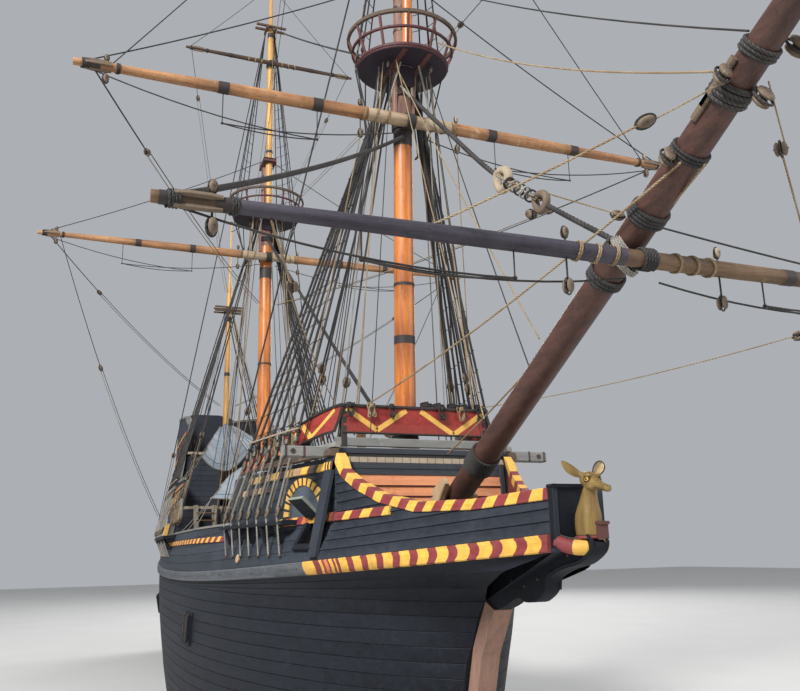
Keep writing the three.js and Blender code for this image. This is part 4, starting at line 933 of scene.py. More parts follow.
def even(x0, x1, step):
    return np.linspace(x0, x1, max(int(math.ceil((x1 - x0) / step)), 1) + 1)


def bolt(shape, place, normal, radius, paint=0):
    """A domed bolt head."""
    turned(shape, [(radius, 0.0), (radius * 0.95, radius * 0.35), (radius * 0.5, radius * 0.7)], place,
           normal, 8, paint)


def cut_window(piece, low, high):
    """Takes out of a skin what lies inside a box, cut cleanly along the box's upright and level sides."""
    work = bmesh.new()
    work.from_mesh(piece.data)

    def inside(face, margin):
        middle = face.calc_center_median()
        return all(low[k] - margin < middle[k] < high[k] + margin for k in range(3))

    for axis in (0, 2):
        for value in (low[axis], high[axis]):
            faces = [face for face in work.faces if inside(face, 0.6)]
            edges = list({edge for face in faces for edge in face.edges})
            verts = list({vert for face in faces for vert in face.verts})
            place = [0.0, 0.0, 0.0]
            place[axis] = value
            normal = [0.0, 0.0, 0.0]
            normal[axis] = 1.0
            bmesh.ops.bisect_plane(work, geom=faces + edges + verts, plane_co=place, plane_no=normal)
    bmesh.ops.delete(work, geom=[face for face in work.faces if inside(face, 0.0)], context="FACES")
    work.to_mesh(piece.data)
    work.free()


def cut_port(piece, port, side, reach):
    """Opens a skin where a gunport stands."""
    x, z, width, height, _ = port
    y = side * float(half_breadth(x, z))
    low, high = (x - width / 2, y - reach, z - height / 2), (x + width / 2, y + reach, z + height / 2)
    cut_window(piece, low, high)


# Hull

TARRED_STRAKES = timber("tarred_strakes", (22, 25, 32), (44, 49, 58), FORE_AND_AFT, 16, (0.42, 0.75), 0.3,
                        dark=(14, 16, 21), planks=(0.2, 6.3, 0.002), spread=0.2, streaks=0.3, shine=0.15)
SLATE_STRAKES = timber("slate_strakes", (40, 45, 53), (66, 72, 80), FORE_AND_AFT, 16, (0.5, 0.8), 0.35,
                       dark=(28, 32, 39), planks=(0.2, 4.6, 0.002), spread=0.3, streaks=0.35, shine=0.2)
WEEDY = timber("underwater_planks", (40, 44, 38), (74, 76, 60), FORE_AND_AFT, 16, (0.5, 0.85), 0.5,
               dark=(26, 30, 26), planks=(0.2, 6.3, 0.003), spread=0.5, streaks=0.3)
STRAKES = 36
# Lower gunports and forecastle ports: x, z, width, height, how far the frame stands out
LOWER_PORTS = [(3.9, 1.95, 0.56, 0.5, 0.045), (-6.6, 1.98, 0.56, 0.5, 0.045)]
CASTLE_PORT = (10.33, 3.89, 0.45, 0.42, 0.075)
FRAME_WIDTH = 0.11
# The head of a port's frame stands back so the lid can lift over it
HEAD_SET_BACK = 0.014
LID_THICK = 0.05
LID_LAP = 0.03
LID_OPEN = math.radians(100)
KNUCKLE = 0.025
HINGE_GAP = 0.0004


def build_hull():
    """The hull's planked skin, strake by strake, with its deck, its ends and its open gunports."""
    heights = np.linspace(KEEL_Z, SKIN_TOP_Z, 500)
    halves = half_breadth(MIDSHIP_X, heights)
    girth = np.concatenate([[0], np.cumsum(np.hypot(np.diff(heights), np.diff(halves)))])
    edges = np.interp(np.linspace(0, girth[-1], STRAKES + 1), girth, heights)
    shares = np.linspace(0, 1, 100)
    sheer_x = STERN_X + shares * (BEAK_HEAD_X - STERN_X)
    shape = Shape()
    for _, side in SIDES:
        rows_x, rows_z, rows_out, run, paints = [], [], [], [], []
        for k in range(STRAKES):
            gap = edges[k + 1] - edges[k]
            for share, out in ((0.0, -0.011), (0.05, 0.0), (0.95, 0.0)):
                z = edges[k] + gap * share
                rows_z.append(np.full(len(shares), z))
                rows_x.append(level_end(z, 1) + shares * (level_end(z, 4) - level_end(z, 1)))
                rows_out.append(out if 0 < k else 0.0)
                run.append((k + share) * 0.2)
                paints.append(2 if z < -0.02 else 0)
        top = sheer(sheer_x)
        level_x = level_end(SKIN_TOP_Z, 1) + shares * (level_end(SKIN_TOP_Z, 4) - level_end(SKIN_TOP_Z, 1))
        for part in range(3):
            for share, out in ((0.0, -0.009), (0.07, 0.0), (0.93, 0.0)):
                t = (part + share) / 3
                rows_z.append(SKIN_TOP_Z + (top - WALE_DEPTH - SKIN_TOP_Z) * t)
                rows_x.append(level_x + (sheer_x - level_x) * t)
                rows_out.append(out)
                run.append((STRAKES + part + share) * 0.2)
                paints.append(0)
        for t in (0.0, 1.0):
            rows_z.append(top - WALE_DEPTH * (1 - t))
            rows_x.append(sheer_x)
            rows_out.append(0.0)
            run.append((STRAKES + 3 + t) * 0.2)
            paints.append(0)
        x, z = np.stack(rows_x), np.stack(rows_z)
        out = np.array(rows_out)[:, None] * np.ones_like(x)
        places = np.stack([x, np.array(run)[:, None] * np.ones_like(x)], axis=-1)
        places = np.concatenate([places, places[:, -1:]], axis=1)
        shape.sheet(side_point(x, z, side, out), np.array(paints[:-1])[:, None], places=places,
                    flip=side > 0)
    across = np.linspace(-1, 1, 17)
    deck_y = across[None] * half_breadth(sheer_x, sheer(sheer_x))[:, None]
    deck = np.stack([np.broadcast_to(sheer_x[:, None], deck_y.shape), deck_y,
                     np.broadcast_to(sheer(sheer_x)[:, None], deck_y.shape)], axis=-1)
    places = np.stack([np.concatenate([deck[..., 0], deck[:, -1:, 0]], 1),
                       np.concatenate([deck_y, deck_y[:, -1:]], 1)], -1)
    shape.sheet(deck, 1, places=places)
    for t, column in ((0.0, 1), (1.0, 4)):
        end_x = sheer_x[-1 if t else 0]
        z = np.concatenate([edges, [sheer(end_x) - WALE_DEPTH, sheer(end_x)]])
        x = np.concatenate([level_end(edges, column), [end_x, end_x]])
        y = half_breadth(x, z)
        end = np.stack([np.stack([x, s * y, z], -1) for s in (-1, 1)], axis=1)
        shape.sheet(end, 0, flip=t > 0)
    hull = shape.make("hull_planking", [TARRED_STRAKES, DECK, WEEDY], "hull", "tarred_planking",
                      solid=False)
    for port in LOWER_PORTS:
        for _, side in SIDES:
            cut_port(hull, port, side, 0.3)
    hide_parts("hull")


def port_frame(shape, port, side, depth):
    """The frame round a gunport and the lined recess behind it, its lining near black as painted shade."""
    x, z, width, height, proud = port
    start = len(shape.points)
    rim = FRAME_WIDTH
    for s in (-1, 1):
        stand = proud - HEAD_SET_BACK if s > 0 else proud
        block(shape, (0, stand / 2 - 0.01, s * (height + rim) / 2),
              (width + 2 * rim, stand + 0.02, rim), paint=0)
        block(shape, (s * (width + rim) / 2, proud / 2 - 0.012, 0),
              (rim, proud + 0.02, height + 0.002), paint=0)
        # Lining near black: painted shade inside the port.
        block(shape, (0, -depth / 2, s * (height / 2 + 0.015)), (width, depth, 0.03), paint=1,
              chamfer=0.001)
        block(shape, (s * (width / 2 + 0.015), -depth / 2, 0), (0.03, depth, height), paint=1,
              chamfer=0.001)
        for t in (-1, 1):
            place = (s * (width + rim) / 2, proud - HEAD_SET_BACK if t > 0 else proud,
                     t * (height + rim) / 2)
            bolt(shape, place, (0, 1, 0), 0.014, 2)
    # The back board: painted shade at the back of the recess.
    block(shape, (0, -depth + 0.01, 0), (width, 0.02, height), paint=1, chamfer=0.001)
    moved(shape, start, lambda points: on_skin(points, x, z, side))


def build_port_frames():
    for name, side in SIDES:
        for number, port in enumerate(LOWER_PORTS, 1):
            shape = Shape()
            port_frame(shape, port, side, 0.62)
            shape.make(f"gunport_frame_{name}_{number}", [TARRED, PAINTED_SHADE_INSIDE, IRON], "hull",
                       "tarred_planking")


def build_lid(name, port, side, angle, node, edge_paint):
    """A planked lid with its straps, hinge and ring, swung open by an angle about its hinge."""
    x, z, width, height, proud = port
    shape = Shape()
    start = len(shape.points)
    lap_w, lap_h = width + 2 * LID_LAP, height + 2 * LID_LAP
    plate_y = 0.006 + LID_THICK / 2 - KNUCKLE - HINGE_GAP
    top = -KNUCKLE
    plank = lap_h / 3
    for k in range(3):
        centre = (0, plate_y, top - plank * (k + 0.5))
        block(shape, centre, (lap_w, LID_THICK, plank - 0.004), paint=0, chamfer=0.006)
    for s in (-1, 1):
        strap_x = s * lap_w * 0.28
        block(shape, (strap_x, plate_y + LID_THICK / 2 + 0.003, top - lap_h * 0.42),
              (0.05, 0.007, lap_h * 0.82), paint=1, chamfer=0.002)
        for k in range(3):
            bolt(shape, (strap_x, plate_y + LID_THICK / 2 + 0.006, top - lap_h * (0.12 + 0.3 * k)),
                 (0, 1, 0), 0.012, 1)
        turned(shape, [(KNUCKLE, 0), (KNUCKLE, 0.09)], (strap_x - 0.045, 0, 0), (1, 0, 0), 12, 1)
        block(shape, (strap_x, 0.006, -0.02), (0.05, 0.02, 0.05), paint=1, chamfer=0.002)
        block(shape, (s * (lap_w / 2 - 0.004), plate_y, top - lap_h / 2), (0.012, LID_THICK + 0.004, lap_h),
              paint=2, chamfer=0.002)
    block(shape, (0, plate_y, top - lap_h + 0.004), (lap_w, LID_THICK + 0.004, 0.012), paint=2,
          chamfer=0.002)
    ring = [(0.035 * math.cos(a), plate_y + LID_THICK / 2 + 0.012, top - lap_h * 0.7 + 0.035 * math.sin(a))
            for a in np.linspace(0, 1.95 * math.pi, 14)]
    tube(shape, ring, 0.006, 6, 1)
    turn = np.array(Matrix.Rotation(angle, 3, "X"))
    hinge = np.array([0, proud + KNUCKLE + HINGE_GAP, height / 2 + LID_LAP + KNUCKLE])
    moved(shape, start, lambda points: on_skin(points @ turn.T + hinge, x, z, side))
    lid = shape.make(name, [TARRED, IRON, edge_paint], node, "lid_paint" if angle else "tarred_planking")
    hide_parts(node)


def build_lids():
    for name, side in SIDES:
        for number, port in enumerate(LOWER_PORTS, 1):
            node = f"gunport_lid_{name}_{number}"
            build_lid(f"{node}_planked", port, side, 0.0, node, TARRED)
        node = f"forecastle_port_lid_{name}"
        build_lid(f"{node}_planked", CASTLE_PORT, side, LID_OPEN, node, LID_GREEN)


build_hull()
build_port_frames()
build_lids()


# Wales and beak

WALE_GREY, WALE_YELLOW, WALE_MAROON, WALE_ORANGE = range(4)
# Where the wale's painted bands start, and where they become even
BANDS_START_X = 10.52
EVEN_BANDS_X = 11.58


def banded_wale_edges():
    """Where the lower rail's paint changes, from the castle's front to the beak's head, and its colours."""
    edges, paints = [STERN_X, BANDS_START_X], [WALE_GREY]
    for x, paint in ((10.84, WALE_YELLOW), (11.02, WALE_MAROON), (11.1, WALE_YELLOW), (11.16, WALE_MAROON),
                     (11.26, WALE_ORANGE), (11.31, WALE_MAROON), (11.4, WALE_YELLOW), (11.46, WALE_MAROON),
                     (11.5, WALE_YELLOW), (EVEN_BANDS_X, WALE_MAROON)):
        edges.append(x)
        paints.append(paint)
    for k in range(11):
        edges += [EVEN_BANDS_X + 0.353 * k + 0.2, EVEN_BANDS_X + 0.353 * (k + 1)]
        paints += [WALE_YELLOW, WALE_MAROON]
    edges[-1] = BEAK_HEAD_X
    return edges, paints


def build_wales():
    edges, paints = banded_wale_edges()
    low = lambda x: sheer(x) - WALE_DEPTH
    for name, side in SIDES:
        shape = Shape()
        plain_rail(shape, even(STERN_X, BANDS_START_X, 0.45), WALE_GREY, low, sheer, side, WALE_PROUD)
        rail(shape, edges[1:], paints[1:], low, sheer, side, WALE_PROUD + 0.002, bulge=0.075, parts=3)
        for x in even(STERN_X + 0.4, 10.3, 0.62):
            z = float(sheer(x)) - WALE_DEPTH / 2
            bolt(shape, side_point(x, z, side, WALE_PROUD), (0, side, 0), 0.016, 4)
        wale = shape.make(f"wale_{name}_painted", [DARK_GREY_WOOD, YELLOW, MAROON, ORANGE_BAND, IRON],
                          "hull", "grey_wale")
        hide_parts(f"wale_{name}")


def beak_rail_low(x):
    return beak_edge(x) + SEAT_GAP


def beak_rail_high(x):
    slope = (beak_edge(x + 0.05) - beak_edge(x - 0.05)) / 0.1
    return beak_edge(x) + 0.15 * np.hypot(1, slope)


# The beak's clinker planks are as wide as this and run with the sheer
BEAK_PLANK = 0.155
MIDDLE_RAIL_HEIGHT = 0.14


def middle_rail_low(x):
    """Under side of the rail that runs from the forecastle's side into the beak's upper rail."""
    return 4.06 + 0.018 * (np.asarray(x, float) - 8.8)


def build_beak():
    """The beak's sides with their painted rails."""
    xs = np.unique(np.concatenate([even(CASTLE_FRONT_X + END_GAP, BEAK_HEAD_X, 0.14),
                                   [x for x, _ in BEAK_EDGE[1:]]]))
    xs[0] = CASTLE_FRONT_X + END_GAP
    edges = [CASTLE_FRONT_X + END_GAP, 11.12, 11.26, 11.44, 11.62, 11.8, 12.0, 12.2, 12.44, 12.64]
    edges += [12.64 + k * 0.196 for k in range(1, 15)] + [BEAK_HEAD_X]
    paints = [k % 2 for k in range(len(edges) - 1)]
    middle = [CASTLE_FRONT_X + 0.02, 11.2, 11.41, 11.7, 11.97, 12.28, 12.42]
    for name, side in SIDES:
        shape = Shape()
        side_wall(shape, xs, on_sheer, beak_edge, side, 0.09, BEAK_PLANK, lap=0.02, groove=0.0,
                  inner=1, edge=0)
        planks = shape.make(f"beak_side_{name}_planks", [SLATE, INNER_RED], "hull", "tarred_planking")
        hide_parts(f"beak_side_{name}")
        shape = Shape()
        rail(shape, edges, paints, beak_rail_low, beak_rail_high, side, 0.035, depth=0.125,
             lean=0.085, parts=2)
        banded = shape.make(f"beak_rail_{name}_banded", [YELLOW, MAROON], "hull", "yellow_paint")
        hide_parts(f"beak_rail_{name}")
        shape = Shape()
        rail(shape, middle, [1, 0, 1, 0, 1, 0], middle_rail_low,
             lambda x: middle_rail_low(x) + MIDDLE_RAIL_HEIGHT, side, 0.045, lean=0.085, parts=2)
        shape.make(f"beak_middle_rail_{name}", [YELLOW, MAROON], "hull", "yellow_paint")


build_wales()
build_beak()


# Forecastle

def side_band(shape, inner, outer, paints, side, low_out, high_out):
    """A raised strip on the ship's side between two lines of x and z."""
    inner, outer = np.asarray(inner, float), np.asarray(outer, float)
    ring = [side_point(line[:, 0], line[:, 1], side, out)
            for line, out in ((inner, low_out), (inner, high_out), (outer, high_out), (outer, low_out))]
    shape.roll(np.stack(ring, axis=1), np.asarray(paints)[:, None])


def side_stroke(shape, start, end, width, side, out, paint):
    """A painted stroke on the side from one x and z to another."""
    a, b = np.array(start, float), np.array(end, float)
    across = np.array([-(b - a)[1], (b - a)[0]])
    across = across / np.linalg.norm(across) * width / 2
    line = a + (b - a) * np.linspace(0, 1, 5)[:, None]
    side_band(shape, line - across, line + across, [paint] * 4, side, 0.0, out)


def cross_wall(shape, x, rows, half, thick, paints, inner, lap=0.0):
    """A wall of level boards that looks ahead. rows are the boards' edges from low to high."""
    loop = []
    for k, (low, high) in enumerate(zip(rows, rows[1:])):
        loop += [(low, 0.0, paints[k]), (low, lap, paints[k]), (high - 0.004, 0.004, paints[k])]
    loop += [(rows[-1], 0.0, paints[-1]), (rows[-1], -thick, inner), (rows[0], -thick, inner)]
    z = np.array([row[0] for row in loop])
    out = np.array([row[1] for row in loop])
    y = np.linspace(-1, 1, 9)[:, None] * half(z)[None]
    points = np.stack([np.broadcast_to(x + out, y.shape), y, np.broadcast_to(z, y.shape)], axis=-1)
    places = np.concatenate([points, points[:, :1]], axis=1)[..., 1:]
    shape.roll(points, np.array([row[2] for row in loop]), places)


ARCH_X, ARCH_HALF, ARCH_FOOT_Z, ARCH_RISE, ARCH_BAND = 9.78, 0.78, 4.24, 0.66, 0.13


def build_forecastle_sides():
    xs = even(CASTLE_AFT_X + END_GAP, CASTLE_FRONT_X, 0.2)
    for name, side in SIDES:
        shape = Shape()
        side_wall(shape, xs, on_sheer, level(CASTLE_DECK_Z), side, 0.12, 0.2, inner=1, edge=0)
        wall = shape.make(f"forecastle_side_{name}_planks", [SLATE_STRAKES, INNER_RED], "hull",
                          "tarred_planking")
        cut_port(wall, CASTLE_PORT, side, 0.35)
        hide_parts(f"forecastle_side_{name}")
        shape = Shape()
        port_frame(shape, CASTLE_PORT, side, 0.2)
        shape.make(f"forecastle_port_frame_{name}", [TARRED, PAINTED_SHADE_INSIDE, IRON], "hull", "tarred_planking")
        build_castle_trim(name, side)


def build_castle_trim(name, side):
    """Corner board, arch over its niche, banded rails and the oval discs under them."""
    shape = Shape()
    turn = np.linspace(0, math.pi, 41)
    wave = np.stack([np.cos(turn), np.sin(turn)], axis=-1)
    middle = np.array([ARCH_X, ARCH_FOOT_Z])
    outer = middle + wave * np.array([ARCH_HALF, ARCH_RISE])
    inner = middle + wave * np.array([ARCH_HALF - ARCH_BAND * 1.5, ARCH_RISE - ARCH_BAND])
    ticks = [3 if k % 3 == 1 else 0 for k in range(40)]
    side_band(shape, inner, outer, ticks, side, 0.0, 0.03)
    base = np.stack([inner[:, 0], np.full(41, ARCH_FOOT_Z - 0.05)], axis=-1)
    side_band(shape, base, inner, [4] * 40, side, 0.0, 0.012)
    side_band(shape, [(ARCH_X + ARCH_HALF + 0.04, 4.28), (ARCH_X + ARCH_HALF + 0.04, 4.9)],
              [(ARCH_X + ARCH_HALF + 0.16, 4.28), (ARCH_X + ARCH_HALF + 0.16, 4.9)], [5], side, 0.0, 0.03)
    side_band(shape, [(10.66, 3.52), (10.66, 5.2)], [(10.895, 3.52), (10.895, 5.2)], [5], side, 0.0, 0.06)
    edges = [8.72, 8.98, 9.16, 9.4, 9.62, 9.84, 10.08, 10.3, 10.46, 10.66]
    rail(shape, edges, [0, 3, 2, 0, 1, 2, 0, 2, 0], middle_rail_low,
         lambda x: middle_rail_low(x) + MIDDLE_RAIL_HEIGHT, side, 0.05, lean=0.05)
    fine = [10.66, 10.7, 10.73, 10.77, 10.8, 10.84, 10.895]
    rail(shape, fine, [0, 3, 2, 3, 0, 1], middle_rail_low, lambda x: middle_rail_low(x) + 0.15, side,
         0.075, parts=1)
    high = [7.3, 7.72, 8.06, 8.3, 8.62, 8.86, 9.2, 9.44, 9.82, 10.06, 10.4, 10.64]
    rail(shape, high, [6, 0, 7, 6, 0, 7, 0, 6, 0, 7, 0], level(4.95), level(5.09), side, 0.06,
         lean=0.09)
    fine = [10.64, 10.68, 10.72, 10.76, 10.81, 10.85, 10.895]
    rail(shape, fine, [0, 3, 0, 3, 0, 7], level(4.95), level(5.1), side, 0.08, parts=1)
    low = [6.9, 7.25, 7.6, 8.0, 8.35]
    rail(shape, low, [6, 7, 6, 7], level(4.74), level(4.86), side, 0.05, lean=0.07)
    for x, z, size in ((10.72, 3.62, 0.1), (7.55, 3.5, 0.085)):
        start = len(shape.points)
        turned(shape, [(size, 0.0), (size, 0.03), (size * 0.8, 0.045), (size * 0.3, 0.03)], (0, 0, 0),
               (0, 1, 0), 18, 6)
        moved(shape, start, lambda points: on_skin(points * np.array([0.75, 1, 1]), x, z, side))
    paints = [YELLOW, MAROON, ORANGE_BAND, BLACK_PAINT, NICHE_BLUE, SLATE, TAN_WOOD, BROWN_PLANK]
    shape.make(f"forecastle_trim_{name}", paints, "hull", "yellow_paint")
    shape = Shape()
    xs = even(8.05, 10.9, 0.3)
    for low_z, thick, proud, paint in ((5.19, 0.13, 0.15, 0), (5.34, 0.09, 0.1, 1)):
        plain_rail(shape, xs, paint, level(low_z), level(low_z + thick), side, proud)
    shape.make(f"forecastle_side_plank_{name}", [BROWN_PLANK, GREY_WOOD], "hull", "bare_timber")


def build_front_bulkhead():
    """The forecastle's front: lapped boards and their painted shade, corner posts and wedges round the
    bowsprit.
    """
    rows = [3.47, 3.62, 3.8, 3.98, 4.16, 4.34, 4.52, 4.7, 4.88]
    half = lambda z: half_breadth(CASTLE_FRONT_X, z) - 0.158
    shape = Shape()
    cross_wall(shape, CASTLE_FRONT_X - 0.02, rows, half, 0.06, [0] * 8, inner=3, lap=0.034)
    # A dark red strip under each lapped board: painted shade.
    for k in rows[1:-1]:
        width = float(half(k)) * 2
        block(shape, (CASTLE_FRONT_X + 0.001, 0, k - 0.011), (width, 0.012, 0.02), ACROSS_SHIP,
              paint=1, chamfer=0.001)
    cross_wall(shape, CASTLE_FRONT_X - 0.012, [4.88, 4.985, 5.09], half, 0.068, [2, 2], inner=3, lap=0.012)
    for s in (-1, 1):
        y = s * (float(half(4.3)) - 0.02)
        beam(shape, [(CASTLE_FRONT_X + 0.01, y * 1.02, 3.6), (CASTLE_FRONT_X + 0.01, y * 0.97, 5.09)], 0.09,
             0.05, 2, up=(1, 0, 0))
    wall = shape.make("forecastle_front_boards", [CLAPBOARD, GAP_SHADE_RED, BLACK_BOARD, INNER_RED], "hull",
                      "orange_clapboard", sharp=20)
    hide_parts("forecastle_front_bulkhead")
    shape = Shape()
    for foot, head, size in (((12.02, -0.33, 4.42), (12.3, -0.3, 4.66), 0.3),
                             ((11.86, -0.3, 4.34), (12.06, -0.3, 4.46), 0.2),
                             ((11.82, 0.3, 4.28), (12.1, 0.3, 4.5), 0.3),
                             ((11.62, 0.33, 4.2), (11.9, 0.3, 4.38), 0.22)):
        beam(shape, [foot, head], [0.13, 0.1], [size, size * 0.4], 0, up=(0, 0, 1), chamfer=0.015)
    shape.make("bowsprit_wedges", [TAN_WOOD], "hull", "bare_timber")


BREAST_X0, BREAST_X1, BREAST_TOP, BREAST_DEEP = 6.25, 10.45, 6.15, 0.49
BREAST_POSTS = (10.383, 9.1, 7.7, 6.317)


def breast_top(x):
    share = np.clip((BREAST_X1 - np.asarray(x, float)) / (BREAST_X1 - BREAST_X0), 0, 1)
    return BREAST_TOP - 0.6 * share * share * (3 - 2 * share)


def breast_low(x):
    return np.maximum(breast_top(x) - BREAST_DEEP, CASTLE_DECK_Z + 0.06)


def build_breastwork():
    """The painted breastwork over the forecastle: planks, rails, strokes of paint and posts."""
    shape = Shape()
    xs = even(BREAST_X0, BREAST_X1, 0.175)
    front_y = float(half_breadth(BREAST_X1, BREAST_TOP)) - 0.045
    for _, side in SIDES:
        side_wall(shape, xs, breast_low, breast_top, side, 0.06, 0.25, inner=0, edge=2, groove=0.004)
        plain_rail(shape, xs, 2, lambda x: breast_top(x) - 0.02, lambda x: breast_top(x) + 0.035, side,
                   0.03, 0.09)
        plain_rail(shape, xs, 2, lambda x: breast_low(x) - 0.02, lambda x: breast_low(x) + 0.03, side, 0.02)
        step = 0.58
        for k in range(7):
            start = BREAST_X1 - 0.2 - k * step
            top_z, low_z = float(breast_top(start)) - 0.05, float(breast_low(start)) + 0.05
            far = start - step
            far_top, far_low = float(breast_top(far)) - 0.05, float(breast_low(far)) + 0.05
            ends = ((start, low_z), (far, far_top)) if k % 2 else ((start, top_z), (far, far_low))
            side_stroke(shape, *ends, 0.1, side, 0.004, 1 if k < 3 else 4)
        for x in BREAST_POSTS:
            y = side * (float(half_breadth(x, breast_top(x))) - 0.055 - 0.022)
            foot = (x, y, CASTLE_DECK_Z + 0.001)
            beam(shape, [foot, (x, y, float(breast_top(x)) + 0.04)], 0.11, 0.11, 3, up=(1, 0, 0),
                 chamfer=0.012)
    low = BREAST_TOP - BREAST_DEEP + 0.01
    cross_wall(shape, BREAST_X1 - 0.015, [low, low + 0.16, low + 0.32, BREAST_TOP - 0.008], level(front_y),
               0.06, [0, 0, 0], inner=0)
    face_x = BREAST_X1 - 0.012
    for left, right, apex, deep in ((-0.96, -0.14, -0.55, 0.82), (0.06, 0.97, 0.53, 0.9)):
        for end in (left, right):
            a = np.array([face_x, end * front_y, BREAST_TOP - 0.05])
            b = np.array([face_x, apex * front_y, BREAST_TOP - 0.03 - deep * BREAST_DEEP])
            beam(shape, [a, b], 0.095, 0.008, 1, up=(1, 0, 0), chamfer=0.002)
    block(shape, (BREAST_X1 - 0.03, 0, BREAST_TOP + 0.005), (2 * front_y + 0.1, 0.1, 0.05), ACROSS_SHIP, 2)
    block(shape, (BREAST_X1 - 0.04, 0, low - 0.005), (2 * front_y + 0.04, 0.09, 0.03), ACROSS_SHIP, 3)
    block(shape, (BREAST_X1 - 0.06, 0, 5.5), (2 * front_y + 0.3, 0.07, 0.16), ACROSS_SHIP, 5, chamfer=0.014)
    block(shape, (BREAST_X1 + 0.28, 0, 5.3), (2 * float(half_breadth(10.85, 5.2)) - 0.1, 0.1, 0.1),
          ACROSS_SHIP, 6)
    block(shape, (BREAST_X1 + 0.36, 0, 5.14), (2 * float(half_breadth(10.9, 5.1)) - 0.2, 0.14, 0.09),
          ACROSS_SHIP, 6)
    paints = [RED, YELLOW, BLACK_PAINT, BLACK_PAINT, ORANGE_BAND, GREY_ACROSS, BLACK_BOARD]
    wall = shape.make("breastwork_painted", paints, "hull", "red_paint")
    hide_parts("forecastle_breastwork")


def build_cathead():
    """The beam athwart the forecastle that the anchors hang from, with its irons."""
    shape = Shape()
    block(shape, (10.6, 0, CASTLE_DECK_Z + 0.095), (5.14, 0.2, 0.19), ACROSS_SHIP, 0, chamfer=0.02)
    for s in (-1, 1):
        turned(shape, [(0.045, 0), (0.045, 0.012), (0.02, 0.012)], (10.699, s * 2.4, CASTLE_DECK_Z + 0.1),
               (1, 0, 0), 14, 1)
        for y in (2.52, 2.2):
            block(shape, (10.6, s * y, CASTLE_DECK_Z + 0.095), (0.04, 0.206, 0.196), ACROSS_SHIP, 1,
                  chamfer=0.02)
    beam_piece = shape.make("cathead_timber", [GREY_ACROSS, IRON], "hull", "weathered_spar")
    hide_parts("cathead_beam")


build_forecastle_sides()
build_front_bulkhead()
build_breastwork()
build_cathead()


# Waist and after castle

# Upper face of the channels over the side, and how far each stands out
CHANNEL_TOP, MIZZEN_CHANNEL_TOP = 4.17, 5.34
FORE_CHANNEL_REACH, MAIN_CHANNEL_REACH, MIZZEN_CHANNEL_REACH = 0.34, 0.38, 0.26
AFTER_TOP = [(STERN_X, 9.75), (POOP_X - 0.002, 8.65), (POOP_X, 6.35), (HALF_DECK_X, 6.15)]


def after_top(x):
    xs, zs = zip(*AFTER_TOP)
    return np.interp(x, xs, zs)


def stern_lean(points):
    """Rakes what lies aft of the last frame, as the transom leans."""
    share = np.clip((-10.5 - points[..., 0]) / (-10.5 - STERN_X), 0, 1)
    height = points[..., 2]
    moved_x = points[..., 0] + share * (level_end(height, 1) - STERN_X)
    narrower = half_breadth(moved_x, height) / np.maximum(half_breadth(points[..., 0], height), 0.1)
    wide = np.where(share > 0, narrower, 1.0)
    return np.stack([moved_x, points[..., 1] * wide, height], axis=-1)


def zigzag(shape, x0, x1, low, high, step, side, paint):
    """Strokes up and down along the side between two heights."""
    count = int(round((x1 - x0) / step))
    xs = np.linspace(x0, x1, count + 1)
    for k in range(count):
        a, b = (low, high) if k % 2 else (high, low)
        side_stroke(shape, (xs[k], a), (xs[k + 1], b), 0.09, side, 0.006, paint)


def build_waist():
    """The waist's sides with their rail, their band of paint and the timbers inside."""
    xs = even(HALF_DECK_X + END_GAP, CASTLE_AFT_X, 0.35)
    for name, side in SIDES:
        shape = Shape()
        side_wall(shape, xs, on_sheer, level(WAIST_RAIL_Z - 0.05), side, 0.12, 0.2, inner=1,
                  edge=0)
        plain_rail(shape, xs, 2, level(WAIST_RAIL_Z - 0.05), level(WAIST_RAIL_Z), side, 0.03, 0.15)
        bands = even(HALF_DECK_X + 0.02, CASTLE_AFT_X - 0.02, 0.26)
        banded_rail(shape, bands, level(3.86), level(3.98), side, 0.035, 0.06)
        for x in even(HALF_DECK_X + 0.5, CASTLE_AFT_X - 0.5, 1.05):
            y = side * (float(half_breadth(x, 3.8)) - 0.17)
            foot = (x, y, float(sheer(x)) + 0.002)
            beam(shape, [foot, (x, y * 0.985, WAIST_RAIL_Z - 0.05)], 0.13, 0.1, 5, up=(1, 0, 0))
        paints = [SLATE_STRAKES, INNER_RED, GREY_WOOD, YELLOW, MAROON, RED]
        wall = shape.make(f"waist_side_{name}_planks", paints, "hull", "tarred_planking")
        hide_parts(f"waist_side_{name}")


